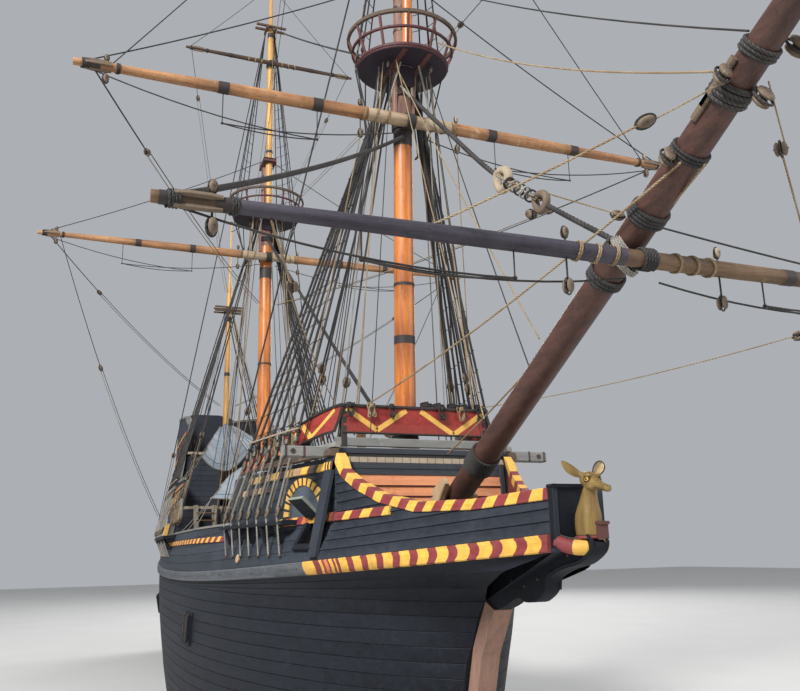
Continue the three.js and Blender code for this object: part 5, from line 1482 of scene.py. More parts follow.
def build_after_castle():
    """The after castle's sides with their rails, painted bands, windows and mizzen channel."""
    xs = np.concatenate([even(STERN_X, POOP_X - 0.002, 0.2), even(POOP_X, HALF_DECK_X, 0.3)])
    for name, side in SIDES:
        shape = Shape()
        side_wall(shape, xs, on_sheer, after_top, side, 0.12, 0.2, inner=1, edge=2)
        poop = even(STERN_X, POOP_X - 0.002, 0.4)
        quarter = even(POOP_X, HALF_DECK_X, 0.4)
        for part in (poop, quarter):
            plain_rail(shape, part, 2, lambda x: after_top(x) - 0.09, after_top, side, 0.05, 0.16)
        for low, end_x in ((7.4, poop[-1]), (8.2, poop[-1]), (5.08, HALF_DECK_X), (5.85, HALF_DECK_X)):
            bands = even(STERN_X + 0.01, end_x - 0.01, 0.27)
            banded_rail(shape, bands, level(low), level(low + 0.12), side, 0.04, 0.06)
        zigzag(shape, STERN_X + 0.1, HALF_DECK_X - 0.1, 5.28, 5.78, 0.55, side, 3)
        zigzag(shape, STERN_X + 0.1, POOP_X - 0.1, 7.6, 8.12, 0.5, side, 4)
        for x in (-11.2, -9.6, -7.6, -5.8):
            frame_of_window(shape, x, 4.35, side)
        plain_rail(shape, even(-11.5, -9.5, 0.25), 5, level(5.25), level(MIZZEN_CHANNEL_TOP), side,
                   MIZZEN_CHANNEL_REACH)
        moved(shape, 0, stern_lean)
        paints = [SLATE_STRAKES, INNER_DARK, GREY_WOOD, YELLOW, MAROON, TARRED, GLASS]
        wall = shape.make(f"after_castle_side_{name}_planks", paints, "hull", "tarred_planking")
        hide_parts(f"after_castle_side_{name}")


def frame_of_window(shape, x, z, side):
    """A small cabin window with its leaded panes."""
    start = len(shape.points)
    for s in (-1, 1):
        block(shape, (0, 0.03, s * 0.27), (0.56, 0.08, 0.07), paint=3)
        block(shape, (s * 0.25, 0.028, 0), (0.07, 0.08, 0.5), paint=3)
        block(shape, (s * 0.075, 0.012, 0), (0.014, 0.02, 0.48), paint=5, chamfer=0.002)
        block(shape, (0, 0.012, s * 0.08), (0.44, 0.02, 0.014), paint=5, chamfer=0.002)
    # The panes: a dark sheet, painted shade of the cabin behind.
    block(shape, (0, 0.001, 0), (0.44, 0.02, 0.48), paint=6, chamfer=0.001)
    moved(shape, start, lambda points: on_skin(points, x, z, side))


def build_transom():
    """The flat stern: level planks, mouldings, a row of windows and a carved top board."""
    rows = [3.54, 5.1, 6.15, 7.5, 8.6, 9.75]
    halves = [float(half_breadth(level_end(z, 1), z)) for z in rows]
    zs = np.concatenate([even(3.54, 9.75, 0.2), [9.9, 10.03]])
    wide = np.interp(zs, rows + [9.9, 10.03], halves + [halves[-1] * 0.82, halves[-1] * 0.45])
    x = level_end(zs, 1) - END_GAP
    shape = Shape()
    share = np.linspace(-1, 1, 13)
    for thick, flip in ((0.0, True), (0.12, False)):
        points = np.stack([np.broadcast_to((x - thick)[:, None], (len(zs), 13)), wide[:, None] * share,
                           np.broadcast_to(zs[:, None], (len(zs), 13))], axis=-1)
        places = np.stack([np.broadcast_to(zs[:, None] * 0, (len(zs), 14)) + np.append(share, 1) * 2,
                           np.broadcast_to(zs[:, None], (len(zs), 14))], axis=-1)
        shape.sheet(points, 0, places=places, flip=flip)
    rim = np.concatenate([np.stack([x, wide, zs], -1), np.stack([x, -wide, zs], -1)[::-1]])
    back = rim - np.array([0.12, 0, 0])
    shape.sheet(np.stack([np.vstack([rim, rim[:1]]), np.vstack([back, back[:1]])], axis=1), 0)
    aft = -0.125
    for z, height, paint in ((3.7, 0.14, 2), (5.08, 0.16, 1), (6.1, 0.12, 2), (7.42, 0.16, 1),
                             (8.6, 0.12, 2), (9.68, 0.12, 1)):
        half = float(np.interp(z, zs, wide))
        count = max(int(half * 2 / 0.27), 2)
        ys = np.linspace(-half, half, count + 1)
        for k in range(count):
            centre = (float(level_end(z, 1)) + aft - 0.02, (ys[k] + ys[k + 1]) / 2, z)
            block(shape, centre, (ys[k + 1] - ys[k], 0.07, height), ACROSS_SHIP,
                  paint=(paint if k % 2 else 3 - paint), chamfer=0.006)
    lean = math.atan2(float(level_end(7.0, 1) - level_end(6.0, 1)), 1.0)
    up = np.array([math.sin(lean), 0, math.cos(lean)])
    out = np.array([-math.cos(lean), 0, math.sin(lean)])
    axes = np.stack([athwart(1), out, up])
    for z, count, spread in ((6.75, 4, 0.76), (4.4, 3, 0.9), (8.1, 2, 0.8)):
        for k in range(count):
            y = (k - (count - 1) / 2) * spread
            middle = np.array([float(level_end(z, 1)) + aft, y, z])
            for s in (-1, 1):
                block(shape, middle + up * s * 0.36, (0.56, 0.09, 0.07), axes, 1)
                block(shape, middle + axes[0] * s * 0.25, (0.07, 0.09, 0.66), axes, 1)
                block(shape, middle + axes[0] * s * 0.08 + out * 0.015, (0.016, 0.02, 0.64), axes, 3,
                      chamfer=0.002)
                block(shape, middle + up * s * 0.11 + out * 0.015, (0.44, 0.02, 0.016), axes, 3,
                      chamfer=0.002)
            # The panes: a dark sheet, painted shade of the cabin behind.
            block(shape, middle + out * 0.002, (0.44, 0.02, 0.64), axes, 4, chamfer=0.001)
    stern = shape.make("transom_painted", [SLATE, YELLOW, MAROON, BLACK_PAINT, GLASS], "hull",
                       "tarred_planking", solid=False)
    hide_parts("transom")


def build_channels():
    """The ledges that spread the lower shrouds, with their knees."""
    for name, side in SIDES:
        for node, x0, x1, reach in (("fore_channel", 6.45, 9.65, FORE_CHANNEL_REACH),
                                    ("main_channel", -5.6, -1.5, MAIN_CHANNEL_REACH)):
            shape = Shape()
            plain_rail(shape, even(x0, x1, 0.25), 0, level(4.08), level(CHANNEL_TOP), side, reach)
            for x in even(x0 + 0.3, x1 - 0.3, 0.8):
                knee = [side_point(x, 4.07, side, reach * 0.85), side_point(x, 3.78, side, 0.03)]
                beam(shape, knee, 0.07, 0.09, 0, up=(1, 0, 0))
            ledge = shape.make(f"{node}_{name}_plank", [TARRED], "hull", "tarred_planking")
            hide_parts(f"{node}_{name}")


build_waist()
build_after_castle()
build_transom()
build_channels()


# Masts, tops and bowsprit

RIG_PAINTS = [TARRED_ROPE, BLOCK_WOOD, PAINTED_SHADE_INSIDE, IRON, GREY_ROPE, HEMP_ROPE, PALE_BLOCK]
TAR, WOOD, HOLE_SHADE, METAL, GREY, HEMP, PALE = range(7)
# How far a yard's skin stands off its mast
SLING_GAP = 0.045


class Mast:
    """A raked mast: where it stands, how far it leans back, and its sizes and heights in metres."""

    def __init__(self, name, x, rake, **sizes):
        self.name, self.x, self.lean = name, x, math.radians(rake)
        self.up = np.array([math.sin(self.lean), 0, math.cos(self.lean)])
        self.fore = np.array([math.cos(self.lean), 0, -math.sin(self.lean)])
        for key, value in sizes.items():
            setattr(self, key, value)

    def at(self, height, ahead=0.0, port=0.0):
        return np.array([self.x, port, 0]) + self.up * height + self.fore * ahead

    def axes(self):
        return np.stack([self.fore, [0, 1, 0], self.up])

    def radius(self, height):
        heights = [self.step, 0.55 * self.top, self.top - 2.2, self.top - 0.7, self.top - 0.5, self.cap]
        sizes = [self.foot, self.foot - 0.005, self.head + 0.012, self.head + 0.012, self.head, self.head]
        return float(np.interp(height, heights, sizes))

    def topmast_ahead(self):
        return self.head + self.topmast + 0.025

    def topmast_radius(self, height):
        heights = [self.top, self.cap + 1.2, self.trees, self.trees + 0.3, self.truck]
        return float(self.topmast * np.interp(height, heights, [1, 1, 0.9, 0.6, 0.42]))


FORE = Mast("fore", 9.68, 2, step=3.43, foot=0.21, head=0.178, top=13.35, cap=15.35, trees=19.7, truck=23.3,
            floor=0.95, hoop=1.165, topmast=0.105)
MAIN = Mast("main", -2.51, -1.5, step=3.21, foot=0.235, head=0.195, top=15.15, cap=17.35, trees=22.8,
            truck=27.3, floor=1.14, hoop=1.335, topmast=0.12)
MIZZEN = Mast("mizzen", -10.1, 0, step=3.44, foot=0.13, head=0.105, top=13.85, cap=15.1, truck=17.9)
CAP_THICK = 0.17
SPRIT_HEEL = np.array([10.7, 0, 3.7])
SPRIT_ANGLE = math.radians(28)
SPRIT_AHEAD = np.array([math.cos(SPRIT_ANGLE), 0, math.sin(SPRIT_ANGLE)])
SPRIT_DOWN = np.array([math.sin(SPRIT_ANGLE), 0, -math.cos(SPRIT_ANGLE)])
SPRIT_LENGTH = 10.9


def spar_rows(radius, low, high, bands, step=0.45):
    """Lathe rows of a spar and their paints. A band has a start, an end, a paint and how proud it is."""
    rows, paints, at = [], [], low
    for start, end, paint, proud in sorted(bands) + [(high, high, 0, 0)]:
        here = even(at, start, step)
        rows += [(radius(h), h) for h in here]
        paints += [0] * len(here)
        if end > start:
            here = even(start, end, step)
            rows += [(radius(h) + proud, h) for h in here]
            paints += [paint] * len(here)
        at = end
    return rows, np.array(paints[:-1])[:, None]


def wrapping(shape, centre, axis, radius, thick, turns, paint, sides=22, strand=6):
    """A rope wound round a spar in neighbouring turns."""
    axis = unit(axis)
    side, top = square_to(axis)
    turn = np.linspace(0, 2 * math.pi * turns, int(sides * turns) + 1)[:, None]
    reach = radius + thick * 0.9
    climb = (turn / (2 * math.pi) - turns / 2) * thick * 1.9
    path = np.asarray(centre, float) + reach * (np.cos(turn) * side + np.sin(turn) * top) + axis * climb
    tube(shape, path, thick, strand, paint)


def pulley(shape, place, axis, pin, size, paint, cord):
    """A wooden block: two bowed cheeks, the wheel's slot between them as painted shade, its strop and its
    pin.
    """
    axis, pin = unit(axis), unit(np.asarray(pin, float))
    pin = unit(pin - axis * (pin @ axis))
    flat = np.cross(axis, pin)
    for s in (-1, 1):
        ball(shape, place + pin * s * size * 0.2, (size * 0.3, size * 0.5, size * 0.17), (flat, axis, pin),
             paint, 7, 12)
    # The slot: a near-black disc between the cheeks, painted shade.
    turned(shape, [(size * 0.24, -size * 0.07), (size * 0.2, 0), (size * 0.24, size * 0.07)], place,
           pin, 12, HOLE_SHADE)
    turned(shape, [(size * 0.06, -size * 0.4), (size * 0.06, size * 0.4)], place, pin, 8, METAL)
    loop = full_turn(21)
    strop = place + np.cos(loop) * flat * size * 0.33 + np.sin(loop) * axis * size * 0.56
    tube(shape, strop, size * 0.06, 6, cord)


def deadeye(shape, place, axis, face, size, paint, cord=WOOD):
    """A thick wooden disc with its strop in the groove and three lanyard holes drawn as painted shade."""
    axis, face = unit(axis), unit(np.asarray(face, float))
    face = unit(face - axis * (face @ axis))
    across = np.cross(axis, face)
    rows = [(0.55, -0.32), (0.86, -0.28), (1.0, -0.16), (0.9, 0.0), (1.0, 0.16), (0.86, 0.28), (0.55, 0.32)]
    turned(shape, [(r * size, d * size) for r, d in rows], place, face, 16, paint)
    # The holes: near-black plugs, painted shade.
    for angle in (90, 210, 330):
        turn = math.radians(angle)
        centre = place + (across * math.cos(turn) + axis * math.sin(turn)) * size * 0.45
        turned(shape, [(size * 0.13, -size * 0.34), (size * 0.13, size * 0.34)], centre, face, 8, HOLE_SHADE)
    loop = full_turn(19)
    tube(shape, place + (np.cos(loop) * across + np.sin(loop) * axis) * size * 1.0, size * 0.14, 6, cord)


def build_mast(mast, bands, wood):
    """Lower mast with its painted bands, the hounds under the top and the cap over it."""
    shape = Shape()
    rows, paints = spar_rows(mast.radius, mast.step, mast.cap - 0.002, bands)
    turned(shape, rows, (mast.x, 0, 0), mast.up, 36, paints)
    axes = mast.axes()
    for s in (-1, 1):
        cheek = [mast.at(mast.top - 1.25, 0.02, s * (mast.radius(mast.top - 1) + 0.005)),
                 mast.at(mast.top - 0.16, 0.02, s * (mast.radius(mast.top - 1) + 0.012))]
        beam(shape, cheek, [0.07, 0.08], [0.16, 0.34], 2, up=mast.fore, chamfer=0.012)
        for h in (mast.top - 1.0, mast.top - 0.72, mast.top - 0.4):
            bolt(shape, mast.at(h, 0.02, s * (mast.radius(h) + 0.045)), (0, s, 0), 0.02, 3)
        tree = mast.at(mast.top + 0.02, (mast.topmast_ahead()) * 0.5, s * (mast.head + 0.09))
        block(shape, tree, (1.5 * mast.floor, 0.11, 0.1), axes, 4)
    ahead = mast.topmast_ahead()
    low, high = -mast.head - 0.07, ahead + mast.topmast + 0.08
    wide = 2 * (mast.topmast + 0.1)
    middle = mast.at(mast.cap - 0.085, (low + high) / 2)
    block(shape, middle, (high - low, wide, CAP_THICK), axes, 4, chamfer=0.03)
    for h in (mast.cap - 0.15, mast.cap - 0.02):
        block(shape, mast.at(h, (low + high) / 2), (high - low + 0.012, wide + 0.012, 0.035), axes, 3,
              chamfer=0.034)
    for h in (mast.cap - 0.55, mast.cap - 1.1):
        turned(shape, [(mast.head, -0.03), (mast.head + 0.008, -0.03), (mast.head + 0.008, 0.03),
                       (mast.head, 0.03)], mast.at(h), mast.up, 32, 3)
    for angle in range(0, 360, 45):
        turn = math.radians(angle + 20)
        foot = mast.at(mast.step + 2.03 if mast is FORE else mast.step + 0.2)
        wedge = foot + (mast.fore * math.cos(turn) + athwart(1) * math.sin(turn)) * (mast.foot + 0.025)
        block(shape, wedge, (0.06, 0.12, 0.22), (mast.fore * math.cos(turn) + athwart(math.sin(turn)),
                                                 -mast.fore * math.sin(turn) + athwart(math.cos(turn)),
                                                 mast.up), 5)
    piece = shape.make(f"{mast.name}mast_round", [wood, BLACK_PAINT, STEM_WOOD, IRON, TOP_WOOD, TAN_WOOD],
                       "hull", "varnished_pine", sharp=28)
    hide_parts(f"{mast.name}mast")


def build_topmast(mast, wood, bands):
    """Topmast through the cap, with its heel block, crosstrees and the truck on its head."""
    shape = Shape()
    foot = mast.at(0, mast.topmast_ahead())
    rows, paints = spar_rows(mast.topmast_radius, mast.top + 0.112, mast.truck - 0.05, bands)
    r = mast.topmast_radius(mast.truck)
    knob = [(r, mast.truck - 0.05), (r * 1.9, mast.truck - 0.02), (r * 2.1, mast.truck + 0.03),
            (r * 1.2, mast.truck + 0.08), (r * 0.5, mast.truck + 0.09)]
    paints = np.concatenate([paints, np.full((len(knob), 1), 1)])
    turned(shape, rows + knob, foot, mast.up, 26, paints)
    block(shape, foot + mast.up * (mast.top + 0.2), (2.5 * mast.topmast, 2.5 * mast.topmast, 0.18),
          mast.axes(), 2, chamfer=0.03)
    reach = 0.56
    for s in (-1, 1):
        centre = foot + mast.up * (mast.trees - 0.05) + athwart(s * (mast.topmast + 0.045))
        block(shape, centre, (reach, 0.07, 0.11), mast.axes(), 2)
        tree = foot + mast.up * (mast.trees + 0.05) + mast.fore * s * 0.13
        block(shape, tree, (0.075, 2 * reach - 0.002, 0.07), mast.axes(), 2)
        for y in (-reach + 0.08, reach - 0.08):
            turned(shape, [(0.014, -0.05), (0.014, 0.05)], tree + athwart(y), mast.up, 8, 3)
    piece = shape.make(f"{mast.name}_topmast_round", [wood, BLACK_PAINT, DARK_YARD, IRON], "hull",
                       "varnished_pine", sharp=28)
    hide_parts(f"{mast.name}_topmast")


def build_top(mast):
    """The round top: boards in a rim, a hoop rail on posts, a middle batten and the futtocks' irons."""
    shape = Shape()
    axes = mast.axes()
    centre_ahead = top_centre_ahead(mast)
    ring_foot = mast.at(0, centre_ahead)
    rim = mast.floor
    widths = even(-rim + 0.012, rim - 0.012, 0.155)
    gap = 0.004
    for low, high in zip(widths, widths[1:]):
        y = max(abs(low), abs(high))
        reach = math.sqrt(max(rim * rim - y * y, 0.01)) - 0.01
        for start, end in plank_parts(low, high, reach, mast, centre_ahead):
            middle = ring_foot + mast.up * (mast.top + 0.055) + mast.fore * (start + end) / 2
            block(shape, middle + athwart((low + high) / 2), (end - start, high - low - gap, 0.07), axes, 0,
                  chamfer=0.004)
    ring = lambda r0, r1, z0, z1, paint: turned_ring(shape, r0, r1, z0, z1, ring_foot, mast, paint)
    ring(rim - 0.07, rim, mast.top, mast.top + 0.11, 1)
    ring(rim - 0.02, rim + 0.018, mast.top + 0.035, mast.top + 0.085, 1)
    ring(mast.hoop - 0.06, mast.hoop, mast.top + 0.64, mast.top + 0.72, 2)
    middle = (mast.floor + mast.hoop) / 2
    ring(middle - 0.035, middle + 0.015, mast.top + 0.37, mast.top + 0.42, 1)
    for k in range(12):
        turn = 2 * math.pi * (k + 0.5) / 12
        out = mast.fore * math.cos(turn) + athwart(math.sin(turn))
        foot = ring_foot + mast.up * (mast.top + 0.03) + out * (mast.floor - 0.035)
        head = ring_foot + mast.up * (mast.top + 0.66) + out * (mast.hoop - 0.03)
        beam(shape, [foot, head], 0.052, 0.045, 3, up=out, chamfer=0.008)
        for h, r in ((0.07, mast.floor + 0.02), (0.4, middle + 0.018), (0.68, mast.hoop)):
            bolt(shape, ring_foot + mast.up * (mast.top + h) + out * r, out, 0.014, 4)
    ring(mast.head + 0.1 - min(centre_ahead, 0.0), rim - 0.012, mast.top - 0.012, mast.top + 0.018, 0)
    bib = ring_foot + mast.up * (mast.top - 0.24) - mast.fore * (centre_ahead - mast.radius(mast.top) - 0.03)
    block(shape, bib, (0.1, 0.36, 0.46), axes, 0, chamfer=0.045)
    for s in (-1, 1):
        bolt(shape, bib + mast.fore * 0.05 + mast.up * 0.12 + athwart(s * 0.1), mast.fore, 0.018, 4)
    for s, ahead in ((-1, 0.25), (1, 0.35), (-1, -0.3), (1, -0.25)):
        spot = ring_foot + mast.up * (mast.top - 0.045) + mast.fore * (ahead + 0.1)
        spot = spot + athwart(s * mast.floor * 0.48)
        turned(shape, [(0.012, -0.03), (0.03, -0.03), (0.03, 0.045)], spot, mast.up, 10, 4)
        loop = full_turn(15)
        ring_path = spot - mast.up * 0.07 + np.cos(loop) * mast.fore * 0.045 + np.sin(loop) * mast.up * 0.055
        tube(shape, ring_path, 0.012, 6, 5)
    paints = [TOP_FLOOR, TOP_DARK, BROWN_PLANK, TOP_WOOD, IRON, GREY_ROPE]
    piece = shape.make(f"{mast.name}_top_built", paints, "hull", "maroon_paint")
    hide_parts(f"{mast.name}_top")


def top_centre_ahead(mast):
    """How far ahead of the mast the middle of its top stands."""
    low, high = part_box(f"{mast.name}_top")
    middle = (low[0] + high[0]) / 2
    z = (low[2] + high[2]) / 2
    return float((middle - mast.x - z * math.tan(mast.lean)) * math.cos(mast.lean))


def plank_parts(low, high, reach, mast, centre_ahead):
    """Where a board of the top runs, broken for the mast and topmast that come up through it."""
    aft, ahead = -mast.head - 0.05 - centre_ahead, mast.topmast_ahead() + mast.topmast + 0.05 - centre_ahead
    if min(abs(low), abs(high)) > mast.head + 0.04:
        return [(-reach, reach)]
    return [(-reach, aft), (ahead, reach)]


def turned_ring(shape, inner, outer, low, high, foot, mast, paint):
    """A flat hoop with its edges eased."""
    c = 0.008
    profile = [(inner, low), (outer - c, low), (outer, low + c), (outer, high - c), (outer - c, high),
               (inner, high)]
    radii, heights = np.array(profile).T
    turn = circle(40)
    around = np.cos(turn)[:, None] * mast.fore + np.sin(turn)[:, None] * athwart(1)
    rings = foot + heights[None, :, None] * mast.up + radii[None, :, None] * around[:, None]
    rings = np.concatenate([rings, rings[:1]])
    places = grid_of(np.linspace(0, 2 * math.pi * outer, len(rings)), np.linspace(0, 0.3, len(profile) + 1))
    shape.sheet(rings, paint, wrap=True, places=places)


def build_mizzenmast():
    """The mizzenmast, one stick from its foot to its head, with its crosstrees."""
    mast = MIZZEN
    shape = Shape()
    outline = lambda h: float(np.interp(h, [mast.step, mast.top, mast.cap, mast.cap + 0.01, mast.truck],
                                        [mast.foot, mast.head, mast.head, 0.45 * mast.head,
                                         0.35 * mast.head]))
    bands = [(mast.step, 6.4, 1, 0.001), (10.9, 11.05, 2, 0.006), (13.3, 13.5, 2, 0.006)]
    rows, paints = spar_rows(outline, mast.step, mast.truck, bands)
    turned(shape, rows, (mast.x, 0, 0), mast.up, 26, paints)
    turned(shape, [(0.02, 0), (0.06, 0.01), (0.065, 0.05), (0.03, 0.07)], mast.at(mast.truck - 0.07),
           mast.up, 16, 3)
    for s in (-1, 1):
        block(shape, mast.at(mast.top - 0.05, 0, s * (mast.head + 0.04)), (0.62, 0.07, 0.12),
              mast.axes(), 4)
        for z in (-0.12, 0.05):
            block(shape, mast.at(mast.top + z, s * 0.17), (0.07, 1.238, 0.06), mast.axes(), 4)
    piece = shape.make("mizzenmast_round", [MIZZEN_PINE, MAST_FOOT, BLACK_PAINT, IRON, DARK_YARD], "hull",
                       "varnished_pine", sharp=28)
    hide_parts("mizzenmast")


def sprit_radius(run):
    return float(np.interp(run, [0, 6.0, 8.5, SPRIT_LENGTH], [0.2, 0.192, 0.185, 0.14]))


def sprit_at(run, down=0.0, port=0.0):
    return SPRIT_HEEL + SPRIT_AHEAD * run + SPRIT_DOWN * down + athwart(port)


def build_bowsprit():
    """Bowsprit with its gammoning, the lashing at the spritsail yard and the collars of the stays."""
    shape = Shape()
    bands = [(10.3, 10.42, 1, 0.006), (10.66, 10.8, 1, 0.006)]
    rows, paints = spar_rows(sprit_radius, 0.0, SPRIT_LENGTH, bands, 0.5)
    turned(shape, rows, SPRIT_HEEL, SPRIT_AHEAD, 36, paints)
    for run, turns, thick, paint in ((2.6, 9, 0.022, 2), (6.55, 3, 0.026, 2), (7.55, 4, 0.024, 2),
                                     (8.4, 3, 0.02, 2), (9.15, 4, 0.03, 2), (9.62, 3, 0.022, 2)):
        wrapping(shape, sprit_at(run), SPRIT_AHEAD, sprit_radius(run), thick, turns, paint, sides=30)
    for run, turns in ((7.05, 5), (6.9, 3)):
        wrapping(shape, sprit_at(run, 0.07), unit(SPRIT_AHEAD + athwart(0.45)), sprit_radius(run) + 0.03,
                 0.014, turns, 3, sides=30)
    for run, s in ((8.95, 1), (9.25, -1), (9.0, -1)):
        for end in (-0.16, 0.16):
            cleat = sprit_at(run + end * 0.5, -0.02, s * (sprit_radius(run) + 0.02))
            block(shape, cleat, (0.3, 0.06, 0.09), (SPRIT_AHEAD, [0, 1, 0], -SPRIT_DOWN), 4, chamfer=0.018)
    for run, down, port in ((9.3, 0.3, 0.12), (9.35, 0.12, -0.32), (8.35, 0.08, -0.3), (9.75, 0.05, 0.34)):
        pulley(shape, sprit_at(run, down, port), SPRIT_DOWN * 0.8 + athwart(port), (1, 0, 0.2), 0.24, 4, 2)
    paints = [BOWSPRIT_WOOD, IRON, TARRED_ROPE, GREY_ROPE, BLOCK_WOOD]
    piece = shape.make("bowsprit_round", paints, "hull", "dark_spar", sharp=30)
    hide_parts("bowsprit")


build_mast(FORE, [(7.49, 7.65, 1, 0.003), (8.66, 8.72, 1, 0.008), (11.63, 12.05, 1, 0.003),
                  (12.05, 15.3, 2, 0.0)], VARNISHED)
build_mast(MAIN, [(6.3, 6.45, 1, 0.003), (9.8, 9.86, 1, 0.008), (12.9, 13.3, 1, 0.003),
                  (14.1, 17.3, 2, 0.0)], VARNISHED)
build_topmast(FORE, VARNISHED, [(15.6, 15.7, 1, 0.004), (19.3, 19.5, 1, 0.004)])
build_topmast(MAIN, MIZZEN_PINE, [(17.6, 17.7, 1, 0.004), (22.4, 22.6, 1, 0.004)])
build_top(FORE)
build_top(MAIN)
build_mizzenmast()
build_bowsprit()


# Yards

def yard_outline(half, middle, end):
    """The radius of a yard at a distance from its middle."""
    def radius(y):
        share = abs(y) / half
        return float(np.interp(share, [0.12, 0.5, 1.0], [middle, 0.92 * middle, end]))
    return radius


def build_yard(name, wood, bands, around, pivot_up, ahead_way, parrel=True):
    """A yard on its own body: tapered spar, bands, cleats, lashings and the parrel round its mast."""
    shape = Shape()
    centre, half, middle, end = YARDS[name]
    outline = yard_outline(half, middle, end)
    rows, paints = spar_rows(outline, -half, half, bands, 0.4)
    turned(shape, rows, centre, (0, 1, 0), 24, paints)
    across = athwart(1)
    for s in (-1, 1):
        tip = centre + across * s * (half - 0.42)
        for way in (pivot_up, -pivot_up, ahead_way):
            cleat = tip + way * (outline(half - 0.4) + 0.018)
            beam(shape, [cleat - across * 0.22, cleat - across * 0.1, cleat + across * 0.1,
                         cleat + across * 0.22], 0.045, [0.02, 0.05, 0.05, 0.02], 2, up=way, chamfer=0.004)
        wrapping(shape, centre + across * s * (half - 0.2), across, outline(half - 0.2), 0.016, 4, 3)
        wrapping(shape, centre + across * s * (half - 0.75), across, outline(half - 0.75), 0.012, 3, 3)
        for k in range(3):
            wrapping(shape, centre + across * s * (middle * 2.2 + 0.2 + k * 0.24),
                     across + pivot_up * 0.25 * s, middle, 0.011, 2.5, 4)
    wrapping(shape, centre, across, middle, 0.02, 5, 3)
    if parrel:
        loop = full_turn(41)
        reach = around + 0.022
        for lift in (-0.034, 0.0, 0.034):
            path = np.cos(loop) * ahead_way * reach + np.sin(loop) * across * reach + pivot_up * lift
            tube(shape, centre - ahead_way * (around + SLING_GAP + middle) + path, 0.017, 6, 3)
        link = centre - ahead_way * (middle + 0.015)
        block(shape, link, (0.09, 0.24, 0.09), (ahead_way, across, pivot_up), 2)
    piece = shape.make(f"{name}_round", [wood, BLACK_PAINT, BLOCK_WOOD, TARRED_ROPE, HEMP_ROPE, YARD_PALE,
                                         SPRIT_DARK], name, "weathered_spar", sharp=28)
    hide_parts(name)


def band_list(places, width):
    """Dark bands of one width round a yard."""
    return [(y - width / 2, y + width / 2, 1, 0.006) for y in places]


def topsail_ahead(mast, height):
    """How far ahead of a mast its topmast's skin stands."""
    return mast.topmast_ahead() + mast.topmast_radius(height)


# Where each yard's sling stands on its mast
FORE_SLING, MAIN_SLING, FORE_TOPSAIL_SLING, MAIN_TOPSAIL_SLING = 12.05, 13.6, 16.3, 21.2
# Each yard's middle, half length, and radius at the middle and at the arms
YARDS = {
    "fore_yard": (FORE.at(FORE_SLING, FORE.radius(FORE_SLING) + SLING_GAP + 0.128), 6.35, 0.128, 0.066),
    "main_yard": (MAIN.at(MAIN_SLING, MAIN.radius(MAIN_SLING) + SLING_GAP + 0.138), 7.38, 0.138, 0.068),
    "fore_topsail_yard": (
        FORE.at(FORE_TOPSAIL_SLING, topsail_ahead(FORE, FORE_TOPSAIL_SLING) + SLING_GAP + 0.072),
        2.7, 0.072, 0.042),
    "main_topsail_yard": (
        MAIN.at(MAIN_TOPSAIL_SLING, topsail_ahead(MAIN, MAIN_TOPSAIL_SLING) + SLING_GAP + 0.078),
        3.1, 0.078, 0.045),
    "spritsail_yard": (sprit_at(7.2, 0.384), 5.4, 0.1, 0.062),
}
PALE_MIDDLE = (-0.9, 0.9, 5, 0.002)
DARK_SIDE = (-4.6, -0.3, 6, 0.001)

build_yard("fore_yard", YARD_WOOD, band_list([-6.0, -3.74, -1.93, 1.85, 3.87], 0.2) + [PALE_MIDDLE],
           FORE.radius(FORE_SLING), FORE.up, FORE.fore)
build_yard("main_yard", YARD_WOOD, band_list([-4.33, -2.58, 4.31, 2.6], 0.18) + [PALE_MIDDLE],
           MAIN.radius(MAIN_SLING), MAIN.up, MAIN.fore)
build_yard("fore_topsail_yard", YARD_WOOD, band_list([-1.3, 1.3], 0.12),
           FORE.topmast_radius(FORE_TOPSAIL_SLING), FORE.up, FORE.fore)
build_yard("main_topsail_yard", DARK_YARD, band_list([-1.5, 1.5], 0.12),
           MAIN.topmast_radius(MAIN_TOPSAIL_SLING), MAIN.up, MAIN.fore)
build_yard("spritsail_yard", SPRIT_BROWN, band_list([-5.25, -4.75, 4.9, 2.1], 0.16) + [DARK_SIDE],
           0.11, -SPRIT_DOWN, SPRIT_AHEAD, parrel=False)


# Standing rigging

def rope_line(shape, a, b, radius, paint, sag=0.0, sides=6, count=8):
    """One line between two places, drawn as a round rope."""
    tube(shape, hanging(a, b, sag, count), radius, sides, paint)


def heart(shape, place, axis, face, size, paint=WOOD):
    """A heart-shaped block for a stay's lanyard: a thick rounded ring, broader at one end."""
    axis, face = unit(axis), unit(np.asarray(face, float))
    across = unit(np.cross(axis, face))
    turn = full_turn(25)
    broad = 0.72 + 0.2 * np.sin(turn)
    tube(shape, place + (np.cos(turn) * broad * across + np.sin(turn) * axis) * size, size * 0.36, 9, paint)


